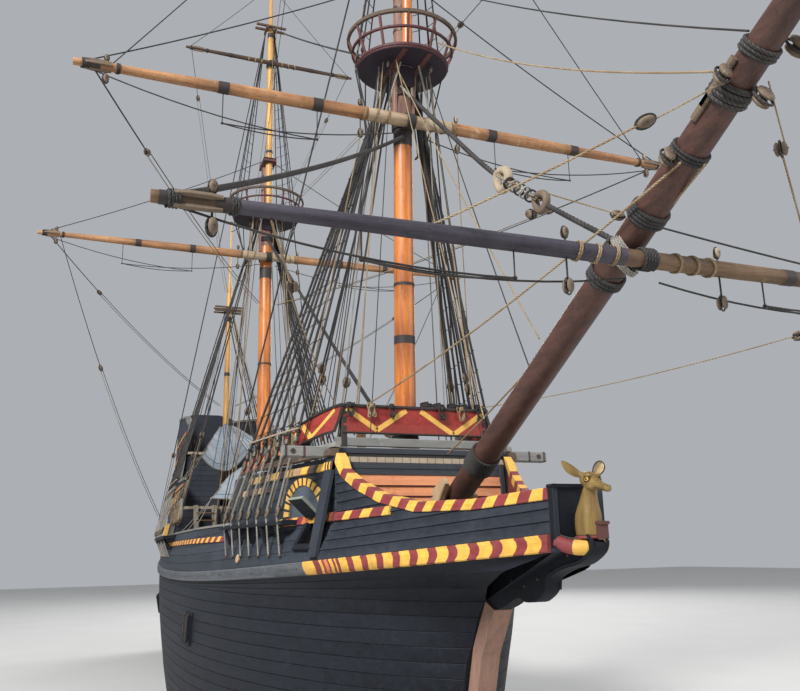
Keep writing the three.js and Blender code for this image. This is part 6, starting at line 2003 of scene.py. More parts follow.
def build_stays():
    """The model's three stays, with their collars, hearts and lanyards. Gives the forestay's path."""
    shape = Shape()
    high, low = MAIN.at(14.355, MAIN.radius(14.3)), FORE.at(5.705, -FORE.radius(5.7) - 0.4)
    path = hanging(high, low, 0.06, 30)
    laid_rope(shape, path, 0.048, TAR)
    for mast, height in ((MAIN, 14.355), (FORE, 5.705)):
        wrapping(shape, mast.at(height), mast.up, mast.radius(height) - 0.004, 0.03, 3, TAR,
                 sides=30, strand=8)
    way = unit(high - low)
    for run in (0.06, 0.42):
        heart(shape, low + way * run, way, (0, 1, 0), 0.15)
    for k in range(6):
        y = (k - 2.5) * 0.026
        rope_line(shape, low + way * -0.06 + np.array([0, y, 0.02]),
                  low + way * 0.52 + np.array([0, -y, 0.02]), 0.011, GREY)
    for s in (-1, 1):
        rope_line(shape, FORE.at(5.7, -0.1, s * 0.2), low + np.array([0.05, s * 0.04, 0]), 0.03, TAR)
    stay = shape.make("main_stay_laid", RIG_PAINTS, "hull", "tarred_rope", sharp=60)
    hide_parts("main_stay")

    shape = Shape()
    high, low = np.array([MIZZEN.x + 0.12, 0, 13.355]), MAIN.at(6.155, -MAIN.radius(6.1) - 0.03)
    laid_rope(shape, hanging(high, low, 0.05, 30), 0.028, TAR, sides=9)
    wrapping(shape, MIZZEN.at(13.355), MIZZEN.up, 0.104, 0.02, 4, TAR)
    wrapping(shape, MAIN.at(6.155), MAIN.up, MAIN.radius(6.1) - 0.002, 0.022, 4, TAR, sides=30)
    way = unit(high - low)
    for run in (0.5, 0.95):
        deadeye(shape, low + way * run, way, (0, 1, 0), 0.085, WOOD)
    stay = shape.make("mizzen_stay_laid", RIG_PAINTS, "hull", "tarred_rope", sharp=60)
    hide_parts("mizzen_stay")

    shape = Shape()
    high, low = FORE.at(12.8, FORE.radius(12.8)), sprit_at(6.95, -sprit_radius(6.95) - 0.02)
    whole = low - high
    droop = upward(-0.33)
    path = smooth_path([high, high + whole * 0.3 + droop * 0.62, high + whole * 0.58 + droop,
                        high + whole * 0.8 + droop * 0.55, low], 40)
    laid_rope(shape, path[:24], 0.044, TAR)
    laid_rope(shape, path[31:], 0.04, TAR)
    for s in (-1, 1):
        rope_line(shape, FORE.at(13.2, 0.0, s * 0.2), path[2] + athwart(s * 0.02), 0.026, GREY)
    wrapping(shape, FORE.at(12.8), FORE.up, FORE.radius(12.8) - 0.002, 0.028, 3, TAR, sides=30)
    wrapping(shape, sprit_at(6.95), SPRIT_AHEAD, sprit_radius(6.95) - 0.002, 0.028, 3, TAR, sides=30)
    way = unit(path[31] - path[23])
    face = athwart(1.0)
    heart(shape, path[24], way, face, 0.2, PALE)
    heart(shape, path[30], way, face, 0.16, WOOD)
    for k in range(9):
        y = (k - 4) * 0.024
        lift = 0.03 * math.sin(k * 2.1)
        rope_line(shape, path[24] + np.array([0, y, 0.05 + lift]),
                  path[30] + np.array([0, -y, 0.04 - lift]), 0.014, (GREY, HEMP, GREY)[k % 3], sag=0.03)
    for k, run in enumerate((0.2, 0.34, 0.48, 0.62, 0.76)):
        wrapping(shape, path[24] + (path[30] - path[24]) * run, way, 0.075, 0.013, 2,
                 GREY if k % 2 else TAR, strand=5)
    pulley(shape, path[29] + np.array([0, -0.06, -0.26]), way, face, 0.2, WOOD, TAR)
    stay = shape.make("fore_stay_laid", RIG_PAINTS, "hull", "tarred_rope", sharp=60)
    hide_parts("fore_stay")
    return path


FORE_STAY_PATH = build_stays()


def build_shrouds(mast, xs, channel_z, reach, side, top_height, spread, gap, thick, rat_low,
                  head_ahead=-0.1):
    """Shrouds from a channel to the masthead, with their deadeyes, lanyards, ratlines and batten."""
    shape = Shape()
    heads, feet = [], []
    for k, x in enumerate(xs):
        y = side * (float(half_breadth(x, channel_z)) + reach - 0.02)
        low = np.array([x, y, channel_z + 0.16])
        high = mast.at(top_height, head_ahead + 0.05 * (k % 3), side * spread)
        way = unit(high - low)
        upper = low + way * gap
        deadeye(shape, low, way, (0, side, 0), 0.1, WOOD, METAL)
        deadeye(shape, upper, way, (0, side, 0), 0.1, WOOD, TAR)
        across = unit(np.cross(way, (0, side, 0)))
        for shift in (-0.05, -0.022, 0.022, 0.05):
            out = athwart(side * 0.032 * (1 if shift in (-0.022, 0.05) else -1))
            rope_line(shape, low + across * shift + out + way * 0.03,
                      upper + across * shift + out - way * 0.03, 0.011, GREY, sides=5, count=3)
        wrapping(shape, upper + way * 0.2, way, thick * 0.9, 0.011, 4, GREY, sides=12, strand=5)
        for rise, turns in ((0.34, 2.5), (0.5, 2.0)):
            wrapping(shape, upper + way * rise, way, thick * 1.5, 0.009, turns, TAR, sides=12, strand=5)
        rope_line(shape, upper + way * 0.1 + across * 0.02, upper + way * 0.62 + across * 0.05, thick * 0.7,
                  TAR, sides=6, count=3)
        rope_line(shape, upper + way * 0.08, high, thick, TAR, sides=8, count=14)
        plate = side_point(x + 0.02 * k, channel_z - 0.62, side, 0.02)
        for shift in (-0.022, 0.022):
            rope_line(shape, low - way * 0.1 + across * shift, plate + np.array([shift, 0, 0]), 0.012, GREY,
                      sides=6, count=2)
        bolt(shape, plate + athwart(side * 0.01), (0, side, 0), 0.035, METAL)
        feet.append(upper)
        heads.append(high)
    feet, heads = np.array(feet), np.array(heads)
    top_z = heads[:, 2].min() - 0.75
    for z in np.arange(rat_low, top_z, 0.4):
        share = (z - feet[:, 2]) / (heads[:, 2] - feet[:, 2])
        knots = feet + (heads - feet) * share[:, None]
        knots = knots[share > 0.02]
        if len(knots) < 2:
            continue
        sagged = []
        for a, b in zip(knots, knots[1:]):
            sagged += [a, (a + b) / 2 - upward(0.018 + 0.014 * random.random())]
        line = np.array(sagged + [knots[-1]])
        tube(shape, line + athwart(side * (thick + 0.004)), 0.0085, 5, TAR)
        for knot in knots:
            ball(shape, knot + athwart(side * thick), (thick * 1.1, 0.014, 0.016), None, TAR, 4, 6)
    z = rat_low - 0.12
    share = (z - feet[:, 2]) / (heads[:, 2] - feet[:, 2])
    row = feet + (heads - feet) * share[:, None]
    batten = np.array([row[0] - (row[1] - row[0]) * 0.2, *row, row[-1] + (row[-1] - row[-2]) * 0.2])
    tube(shape, batten + athwart(side * (thick + 0.018)), 0.02, 8, PALE)
    shape.make(f"{mast.name}_shrouds_{'port' if side > 0 else 'starboard'}", RIG_PAINTS, "hull",
               "tarred_rope", sharp=50)


def build_topmast_rigging(mast, side):
    """Topmast shrouds from the rim of the top, the futtocks under it, and the backstay."""
    shape = Shape()
    ahead = top_centre_ahead(mast)
    feet, heads = [], []
    for k, angle in enumerate((100, 116, 132, 148)):
        turn = math.radians(angle)
        out = mast.fore * math.cos(turn) + athwart(side * math.sin(turn))
        rim = mast.at(mast.top + 0.2, ahead) + out * (mast.floor + 0.03)
        head = mast.at(mast.trees + 0.02, mast.topmast_ahead() - 0.08 - 0.04 * k,
                       side * (mast.topmast + 0.03))
        way = unit(head - rim)
        deadeye(shape, rim, way, out, 0.06, WOOD, METAL)
        deadeye(shape, rim + way * 0.5, way, out, 0.06, WOOD, TAR)
        for shift in (-0.025, 0.0, 0.025):
            offset = np.cross(way, out) * shift
            rope_line(shape, rim + offset, rim + way * 0.5 + offset, 0.008, GREY, sides=5, count=2)
        rope_line(shape, rim + way * 0.55, head, 0.017, TAR, sides=7, count=12)
        low = mast.at(mast.top - 1.55, -0.2, side * (mast.head + 0.42)) - mast.fore * 0.14 * k
        rope_line(shape, rim - mast.up * 0.1 + out * 0.012, low, 0.016, TAR, sides=6, count=4)
        feet.append(rim + way * 0.55)
        heads.append(head)
    feet, heads = np.array(feet), np.array(heads)
    for z in np.arange(feet[:, 2].max() + 0.3, heads[:, 2].min() - 0.5, 0.36):
        share = (z - feet[:, 2]) / (heads[:, 2] - feet[:, 2])
        knots = feet + (heads - feet) * share[:, None]
        tube(shape, knots + athwart(side * 0.02), 0.008, 5, TAR)
    stave = np.array([mast.at(mast.top - 1.55, -0.2 + shift,
                              side * (mast.head + 0.42)) for shift in (-0.55, 0.05)])
    tube(shape, stave, 0.024, 8, TAR)
    shape.make(f"{mast.name}_topmast_rigging_{'port' if side > 0 else 'starboard'}", RIG_PAINTS, "hull",
               "tarred_rope", sharp=50)


for _, rig_side in SIDES:
    build_shrouds(FORE, np.linspace(6.75, 9.45, 7), CHANNEL_TOP, FORE_CHANNEL_REACH, rig_side, 13.2, 0.29,
                  1.15, 0.026, 5.95)
    build_shrouds(MAIN, np.linspace(-5.4, -2.15, 8), CHANNEL_TOP, MAIN_CHANNEL_REACH, rig_side, 15.0, 0.31,
                  1.15, 0.027, 6.0, head_ahead=-0.38)
    build_shrouds(MIZZEN, np.linspace(-11.3, -9.7, 4), MIZZEN_CHANNEL_TOP, MIZZEN_CHANNEL_REACH, rig_side,
                  13.7, 0.16, 0.9, 0.018, 6.9)
    build_topmast_rigging(FORE, rig_side)
    build_topmast_rigging(MAIN, rig_side)


def tackle(shape, high, low, share, thick, size):
    """A pendant with a block in its lower part and two or three parts of rope below the block."""
    high, low = np.asarray(high, float), np.asarray(low, float)
    spot = high + (low - high) * share
    way = unit(low - high)
    rope_line(shape, high, spot, thick, TAR, sides=6, count=6)
    pulley(shape, spot, way, (0.3, 1, 0), size, WOOD, TAR)
    side = unit(np.cross(way, (0, 0, 1.0)))
    for shift in (-0.3, 0.3):
        rope_line(shape, spot + side * shift * size, low + side * shift * size * 0.6, thick * 0.55,
                  HEMP if shift > 0 else TAR, sides=5, count=5)
    pulley(shape, low + way * -0.12, way, (0.3, 1, 0), size * 0.85, WOOD, TAR)


def build_hull_lines():
    """Lines with both ends on the ship: topmast stays, backstays and masthead tackles."""
    shape = Shape()
    trees = lambda mast, ahead=0.0, port=0.0: mast.at(mast.trees - 0.02, mast.topmast_ahead() + ahead, port)
    rope_line(shape, trees(FORE, 0.1), sprit_at(10.5, -0.15), 0.024, TAR, 0.1, 8, 20)
    rope_line(shape, trees(MAIN, 0.1), FORE.at(13.7, -0.24), 0.024, TAR, 0.12, 8, 20)
    rope_line(shape, MIZZEN.at(17.4, 0.05), MAIN.at(15.6, -0.26), 0.014, TAR, 0.05, 6, 14)
    for s in (-1, 1):
        for mast, x, z in ((FORE, 6.5, 4.4), (MAIN, -5.75, 4.4)):
            y = s * (float(half_breadth(x, 4.1)) + 0.3)
            tackle(shape, trees(mast, -0.08, s * 0.16), (x, y, z), 0.86, 0.018, 0.18)
        for k, (x, share, top) in enumerate(((9.3, 0.78, 12.9), (8.75, 0.8, 13.1), (10.15, 0.83, 12.95))):
            tackle(shape, FORE.at(top, -0.05 * k, s * 0.24), (x, s * (1.9 - 0.22 * k), 5.35),
                   share, 0.02, 0.2)
        for k, (x, share, top) in enumerate(((-3.0, 0.8, 14.8), (-3.9, 0.78, 14.9), (-2.4, 0.72, 14.7))):
            tackle(shape, MAIN.at(top, -0.3 - 0.05 * k, s * 0.26), (x, s * (2.6 + 0.05 * k), 4.5),
                   share, 0.02, 0.2)
        tackle(shape, MIZZEN.at(13.3, 0, s * 0.12), (-8.9, s * 1.75, 6.6), 0.8, 0.014, 0.16)
    rope_line(shape, sprit_at(8.4, 0.22, -0.22), (10.4, -0.9, 6.22), 0.014, HEMP, 0.12, 6, 14)
    rope_line(shape, sprit_at(8.45, 0.25, 0.05), (11.0, 0.35, 5.25), 0.014, HEMP, 0.1, 6, 14)
    rope_line(shape, sprit_at(9.3, -0.2, 0.15), FORE.at(13.6, 0.9, 0.4), 0.014, HEMP, 0.25, 6, 16)
    rope_line(shape, sprit_at(9.7, -0.16, -0.1), FORE.at(15.2, 0.5, -0.1), 0.012, TAR, 0.2, 6, 16)
    for k, (run, port) in enumerate(((3.4, -0.25), (4.2, 0.25), (5.2, -0.2))):
        rope_line(shape, sprit_at(run, -0.18, port), FORE.at(13.25, 0.55 - 0.1 * k, port * 1.4), 0.011,
                  (HEMP, TAR)[k % 2], 0.1, 6, 14)
    shape.make("stays_and_tackles", RIG_PAINTS, "hull", "tarred_rope", sharp=50)


def build_falls():
    """Halyards and other running lines that come straight down beside each mast to the pins on deck."""
    shape = Shape()
    for mast, deck_z, rows in ((FORE, 5.3, 9), (MAIN, 3.6, 10)):
        for s in (-1, 1):
            for k in range(rows):
                turn = math.radians(35 + 290 * k / rows)
                high = mast.at(mast.top - 0.02, 0.35 * math.cos(turn) + 0.1,
                               s * (0.2 + 0.34 * abs(math.sin(turn))))
                reach = 0.9 + 0.75 * random.random()
                low = np.array([mast.at(deck_z)[0] + 0.8 * math.cos(turn), s * reach, deck_z + 0.35])
                rope_line(shape, high, low, 0.0095 + 0.004 * (k % 2), (TAR, HEMP, TAR, GREY)[k % 4],
                          0.03, 5, 6)
    for k in range(6):
        s = 1 if k % 2 else -1
        rope_line(shape, MIZZEN.at(13.7, 0.1, s * 0.15), (-9.6 + 0.3 * k, s * (0.9 + 0.1 * k), 7.9), 0.009,
                  (TAR, HEMP)[k % 2], 0.03, 5, 6)
    shape.make("running_lines_to_deck", RIG_PAINTS, "hull", "hemp_rope", sharp=50)


def coil(shape, place, out, size, paint, turns=7, thick=0.013):
    """A hank of rope hung from a pin: long loops that bunch at the top."""
    out = unit(np.asarray(out, float))
    across = unit(np.cross(out, (0, 0, 1.0)))
    turn = full_turn(19)
    for k in range(turns):
        wide = size * (0.45 + 0.18 * random.random())
        deep = size * (1.2 + 0.3 * random.random())
        lean = (random.random() - 0.5) * 0.16
        centre = place + out * (0.02 + thick * 1.5 * k / turns * 2) - upward(deep) + across * lean * size
        pinch = 1 - 0.55 * np.clip(np.sin(turn), 0, 1) ** 2
        loop = centre + across * np.cos(turn) * wide * pinch + upward(1.0) * np.sin(turn) * deep
        tube(shape, loop + across * lean * np.sin(turn), thick, 5, paint)
    wrapping(shape, place + out * 0.05 - upward(size * 0.55), (0, 0, 1), size * 0.2, thick, 3, paint,
             sides=12, strand=5)


def build_coils():
    """Coils of rope along the rails."""
    shape = Shape()
    for s in (-1, 1):
        for k in range(9):
            x = -5.0 + 0.42 * k
            y = s * (float(half_breadth(x, 5.0)) + 0.02)
            coil(shape, np.array([x, y, 5.15 + 0.05 * (k % 3)]), (0, s, 0), 0.2, (HEMP, HEMP, GREY)[k % 3])
        for k in range(6):
            x = 7.1 + 0.42 * k
            y = s * (float(half_breadth(x, 5.3)) - 0.02)
            coil(shape, np.array([x, y, 5.9]), (0, s, 0), 0.15, (GREY, HEMP)[k % 2], 5)
        for k in range(3):
            coil(shape, np.array([10.47, s * (0.5 + 0.4 * k), 6.2]), (1, 0, 0), 0.09,
                 (TAR, HEMP)[k % 2], 5, 0.011)
        for x in (-3.4, -2.0, 0.6, 1.9):
            coil(shape, np.array([x, s * 2.66, 4.15]), (0, -s, 0), 0.2, HEMP)
    for k in range(5):
        centre = np.array([10.1 - 0.06 * (k % 2), 0.35 + 0.28 * k, 6.2])
        turn = np.linspace(0, 2 * math.pi * 3, 40)[:, None]
        curl = centre + np.cos(turn) * np.array([0.12, 0, 0]) + np.sin(turn) * athwart(0.1)
        tube(shape, curl + upward(0.02) + np.linspace(0, 0.1, 40)[:, None] * upward(1), 0.017, 6, TAR)
    shape.make("rope_coils", RIG_PAINTS, "hull", "hemp_rope", sharp=50)


build_hull_lines()
build_falls()
build_coils()


# Rigging on the yards

def yard_point(yard, y, up, ahead=0.0):
    """A place by a yard: how far to port of its middle, how far over or under its skin, and how far ahead."""
    centre, *size = YARDS[yard]
    reach = yard_outline(*size)(abs(y))
    return centre + np.array([ahead, y, up + math.copysign(reach, up)])


def build_footropes(name, stirrups, depth):
    """Footropes under a yard, held up by stirrups."""
    shape = Shape()
    half = YARDS[name][1]
    for s in (-1, 1):
        nodes = [yard_point(name, s * (half - 0.25), -0.01)]
        nodes += [yard_point(name, s * y, -depth) for y in stirrups]
        nodes += [yard_point(name, s * 0.25, -0.12, -0.1)]
        for a, b in zip(nodes, nodes[1:]):
            rope_line(shape, a, b, 0.012, TAR, 0.07 * np.linalg.norm(b - a) / 2, 6, 10)
        for y, node in zip(stirrups, nodes[1:]):
            rope_line(shape, yard_point(name, s * y, -0.002), node, 0.01, TAR, 0, 6, 3)
            ball(shape, node, (0.025, 0.03, 0.025), None, TAR, 5, 8)
    for s, y, drop in ((-1, 1.05, 0.32), (1, 1.05, 0.32), (-1, half - 0.55, 0.16), (1, half - 0.55, 0.16)):
        spot = yard_point(name, s * y, -drop)
        rope_line(shape, yard_point(name, s * y, -0.002), spot, 0.012, TAR, 0, 6, 2)
        pulley(shape, spot, (0, 0, 1), (1, 0.3, 0), 0.17, WOOD, TAR)
        spot = yard_point(name, s * y, 0.1)
        pulley(shape, spot, (0, 0, 1), (1, 0, 0), 0.13, PALE if s > 0 else WOOD, TAR)
        rope_line(shape, yard_point(name, s * y, 0.005), spot, 0.01, TAR, 0, 5, 2)
    shape.make(f"{name}_footropes", RIG_PAINTS, name, "tarred_rope", sharp=50)


def swinging_line(name, hull_end, yard, y, up, radius, paint, sag, pulley_at=None, double=False):
    """A line from the ship to a place by a yard."""
    shape = Shape()
    hull_end, yard_end = np.asarray(hull_end, float), yard_point(yard, y, up)
    path = hanging(hull_end, yard_end, sag, 26)
    if pulley_at is None:
        tube(shape, path, radius, 7, paint)
    else:
        spot = int(25 * pulley_at)
        tube(shape, path[spot:], radius, 7, paint)
        way = unit(path[spot] - path[spot - 1])
        pulley(shape, path[spot], way, (1, 0.4, 0), 0.19, WOOD, TAR)
        side = unit(np.cross(way, (0, 0, 1.0))) * 0.05
        for shift in (-1, 1) if double else (1,):
            tube(shape, path[:spot + 1] + side * shift, radius * 0.75, 6, HEMP if shift > 0 else paint)
    piece = shape.make(name, RIG_PAINTS, None, None, sharp=50)
    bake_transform(piece)


def build_yard_lines():
    """Footropes of the lower yards, and the lifts, braces, jeers and other lines of every yard."""
    build_footropes("fore_yard", (1.93, 3.74), 0.62)
    build_footropes("main_yard", (2.58, 4.8), 0.66)
    build_footropes("spritsail_yard", (1.7, 3.4), 0.3)
    for side_name, s in SIDES:
        swinging_line(f"fore_yard_lift_{side_name}", FORE.at(15.3, 0.2, s * 0.24), "fore_yard", s * 6.1,
                      0.005, 0.013, TAR, 0.1)
        swinging_line(f"fore_yard_upper_lift_{side_name}", FORE.at(19.5, 0.3, s * 0.16), "fore_yard",
                      s * 5.7, 0.005, 0.011, TAR, 0.05)
        swinging_line(f"fore_yard_brace_{side_name}", MAIN.at(11.9, 0.3, s * 0.3), "fore_yard", s * 6.0,
                      -0.005, 0.015, TAR, 0.25, 0.8, True)
        swinging_line(f"fore_yard_clew_line_{side_name}", (9.0, s * 1.9, 5.6), "fore_yard", s * 1.05, -0.35,
                      0.011, HEMP, 0.08)
        swinging_line(f"fore_yard_jeer_{side_name}", FORE.at(13.3, 0.42, s * 0.2), "fore_yard", s * 0.5,
                      0.005, 0.02, GREY, 0.0)
        swinging_line(f"main_yard_lift_{side_name}", MAIN.at(17.3, 0.2, s * 0.26), "main_yard", s * 7.1,
                      0.005, 0.013, TAR, 0.12)
        swinging_line(f"main_yard_brace_{side_name}", MIZZEN.at(9.6, 0.15, s * 0.3), "main_yard", s * 7.0,
                      -0.005, 0.014, TAR, 0.35, 0.78, True)
        swinging_line(f"main_yard_sheet_{side_name}", (-5.6, s * 2.95, 4.9), "main_yard", s * 6.7, -0.005,
                      0.013, TAR, 0.5, 0.6, True)
        swinging_line(f"main_yard_jeer_{side_name}", MAIN.at(15.1, 0.44, s * 0.22), "main_yard", s * 0.5,
                      0.005, 0.02, GREY, 0.0)
        swinging_line(f"fore_topsail_lift_{side_name}", FORE.at(19.5, 0.32, s * 0.14), "fore_topsail_yard",
                      s * 2.55, 0.004, 0.01, TAR, 0.04)
        swinging_line(f"main_topsail_lift_{side_name}", MAIN.at(24.6, 0.36, s * 0.1), "main_topsail_yard",
                      s * 2.95, 0.004, 0.01, TAR, 0.04)
        swinging_line(f"main_topsail_brace_{side_name}", MIZZEN.at(14.6, 0.1, s * 0.15),
                      "main_topsail_yard", s * 2.9, -0.004, 0.01, TAR, 0.3, 0.85, True)
        swinging_line(f"fore_topsail_brace_{side_name}", MAIN.at(15.3, 0.5, s * 0.5), "fore_topsail_yard",
                      s * 2.5, -0.004, 0.01, TAR, 0.2, 0.85, True)
    swinging_line("spritsail_yard_lift_starboard", FORE.at(11.75, 0.24, -0.1), "spritsail_yard", -5.05,
                  0.01, 0.036, TAR, 0.12)
    swinging_line("spritsail_yard_lift_port", FORE_STAY_PATH[29] + np.array([0, 0.1, 0.1]),
                  "spritsail_yard", 3.9, 0.01, 0.014, TAR, 0.05, 0.25)
    for side_name, s in SIDES:
        swinging_line(f"spritsail_yard_brace_{side_name}", (10.3, s * 1.5, 6.25), "spritsail_yard", s * 4.3,
                      -0.01, 0.012, HEMP, 0.15, 0.8)
        swinging_line(f"spritsail_standing_lift_{side_name}", sprit_at(9.35, 0.1, s * 0.2),
                      "spritsail_yard", s * 2.6, 0.006, 0.012, HEMP, 0.04, 0.3)


build_yard_lines()


# Awnings

def awning_surface(stations, rows, columns):
    """The cloth's middle surface. Each station gives x, the height of ridge and eaves, half width and sag."""
    table = np.array(stations, float)
    at = np.linspace(0, 1, rows)
    x = np.interp(at, np.linspace(0, 1, len(table)), table[:, 0])
    order = np.argsort(table[:, 0])
    ridge, eave, half, sag = (np.interp(x, table[order, 0], table[order, k]) for k in (1, 2, 3, 4))
    across = np.linspace(-1, 1, columns)[None]
    fall = np.abs(across)
    height = ridge[:, None] + (eave - ridge)[:, None] * fall - 4 * sag[:, None] * fall * (1 - fall)
    return np.stack([np.broadcast_to(x[:, None], height.shape), half[:, None] * across, height],
                    axis=-1), at


def cloth(shape, points, thick):
    """Gives a surface of points its two faces and its cut edge."""
    down = unit(np.cross(np.gradient(points, axis=1), np.gradient(points, axis=0))) * thick / 2
    run = np.linalg.norm(np.diff(points, axis=0), axis=2).mean(axis=1).cumsum()
    wide = np.linalg.norm(np.diff(points, axis=1), axis=2).mean(axis=0).cumsum()
    run, wide = np.append(0, run), np.append(0, np.append(wide, wide[-1]))
    places = grid_of(run, wide)
    shape.sheet(points - down, places=places)
    shape.sheet(points + down, places=places, flip=True)
    for edge in (np.s_[0, :], np.s_[-1, :], np.s_[:, 0], np.s_[:, -1]):
        shape.sheet(np.stack([(points - down)[edge], (points + down)[edge]], axis=1))


def build_awning(name, stations, mast_point, seams, front_dip):
    """A canvas awning tied to a mast and spread to the rails, with folds that fan out from its ties."""
    rows, columns = 61, 81
    points, at = awning_surface(stations, rows, columns)
    across = np.linspace(-1, 1, columns)[None]
    along_share = at[:, None]
    fan = np.sin(across * 21 + 1.3) * 0.5 + np.sin(across * 37 - 0.4) * 0.3 + np.sin(across * 11 + 2.0) * 0.6
    tight = (1 - along_share) ** 1.5
    sway = np.sin(along_share * 9 + across * 2.2) * 0.014 + np.sin(along_share * 4 - across * 5) * 0.02
    corner = np.sin((1 - along_share) * 22 * (1.1 - np.abs(across))) * 0.02 * along_share * across ** 2
    points[..., 2] += fan * (0.012 + 0.03 * tight) * np.minimum(1, along_share * 8) + sway + corner
    scallop = np.abs(np.sin(along_share * math.pi * 3.0))
    points[..., 1] *= 1 - 0.045 * scallop * np.abs(across) ** 3
    points[..., 2] += 0.05 * scallop * across ** 4
    roll = np.clip((along_share - 0.94) / 0.06, 0, 1)
    points[..., 2] -= roll * front_dip * (1 - across ** 4)
    shape = Shape()
    cloth(shape, points, 0.006)
    canvas = shape.make(f"{name}_canvas", [CANVAS], "hull", "awning_canvas", sharp=80)
    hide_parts(name)
    trim = Shape()
    up = upward(0.006)
    for share in seams:
        column = int(round((share + 1) / 2 * (columns - 1)))
        tube(trim, points[::2, column] + up, 0.011, 6, 1)
    for column in (0, columns - 1):
        tube(trim, points[:, column], 0.016, 7, 0)
    tube(trim, points[-1], 0.018, 7, 0)
    tube(trim, points[-5] + up, 0.01, 6, 1)
    for column in (0, columns - 1):
        for row in (20, 40, 60):
            eye = points[row, column]
            s = 1 if column else -1
            rail_z = after_top(eye[0]) if eye[0] < HALF_DECK_X else WAIST_RAIL_Z
            rail_y = s * (float(half_breadth(eye[0], rail_z)) - 0.05)
            tube(trim, hanging(eye, (eye[0] + 0.05, rail_y, float(rail_z) - 0.02), 0.04, 8), 0.009, 6, 0)
            ball(trim, eye, (0.03, 0.03, 0.03), None, 0, 5, 8)
    for s in (-1, 1):
        tie = points[0, columns // 2 + s * 20]
        tube(trim, np.array([tie, (tie + mast_point) / 2, mast_point + athwart(s * 0.04)]), 0.012, 6, 0)
    piece = trim.make(f"{name}_ropes_and_seams", [GREY_ROPE, DARK_SEAM], "hull", "hemp_rope", sharp=50)


DARK_SEAM = timber("dark_canvas_seam", (52, 58, 66), (78, 84, 90), FORE_AND_AFT, 30, (0.7, 0.9), 0.2,
                   dark=(40, 46, 52), bump=0.001)
main_tie = MAIN.at(6.72, MAIN.radius(6.7) + 0.004)
mizzen_tie = MIZZEN.at(8.86, 0.126)
WAIST_AWNING = [(main_tie[0], 6.7, 6.45, 0.6, 0.03), (-0.4, 5.95, 5.75, 1.6, 0.07),
                (1.795, 5.09, 5.04, 2.35, 0.03)]
HALF_DECK_AWNING = [(mizzen_tie[0], 8.85, 8.75, 0.25, 0.03), (-7.6, 8.05, 7.86, 0.93, 0.1),
                    (-5.4, 7.2, 6.95, 1.6, 0.55)]
build_awning("waist_awning", WAIST_AWNING, main_tie, (-0.66, -0.33, 0.0, 0.33, 0.66), 0.05)
build_awning("half_deck_awning", HALF_DECK_AWNING, mizzen_tie,
             (-0.75, -0.5, -0.25, 0.0, 0.25, 0.5, 0.75), 0.07)


# Figurehead, knee and stem

def lump_loft(sections):
    """A closed skin through oval sections, each with its middle, half width, half depth and lean."""
    shape = Shape()
    turn = circle(32)
    rings = []
    for x, z, wide, deep, lean in sections:
        way = np.array([math.cos(lean), 0, math.sin(lean)])
        rings.append(np.array([x, 0, z]) + np.cos(turn)[:, None] * athwart(wide) + np.sin(turn)[:,
                None] * way * deep)
    shape.roll(np.array(rings))
    return shape


NECK = [(15.735, 3.7, 0.12, 0.155, 0.0), (15.74, 3.73, 0.145, 0.185, 0.0), (15.74, 3.85, 0.155, 0.19, 0.0),
        (15.745, 3.98, 0.145, 0.18, 0.08), (15.755, 4.08, 0.12, 0.155, 0.16),
        (15.775, 4.17, 0.1, 0.13, 0.26), (15.805, 4.25, 0.092, 0.118, 0.36),
        (15.84, 4.31, 0.088, 0.112, 0.46), (15.865, 4.35, 0.06, 0.08, 0.56)]
HEAD = [(15.7, 4.385, 0.035, 0.04, 1.65), (15.73, 4.388, 0.08, 0.082, 1.65),
        (15.78, 4.39, 0.104, 0.108, 1.68), (15.85, 4.38, 0.108, 0.11, 1.72),
        (15.92, 4.355, 0.094, 0.094, 1.75), (15.99, 4.325, 0.073, 0.073, 1.77),
        (16.06, 4.298, 0.058, 0.06, 1.77), (16.13, 4.275, 0.051, 0.052, 1.75),
        (16.18, 4.262, 0.05, 0.05, 1.72), (16.21, 4.255, 0.038, 0.038, 1.7),
        (16.22, 4.253, 0.018, 0.02, 1.7)]


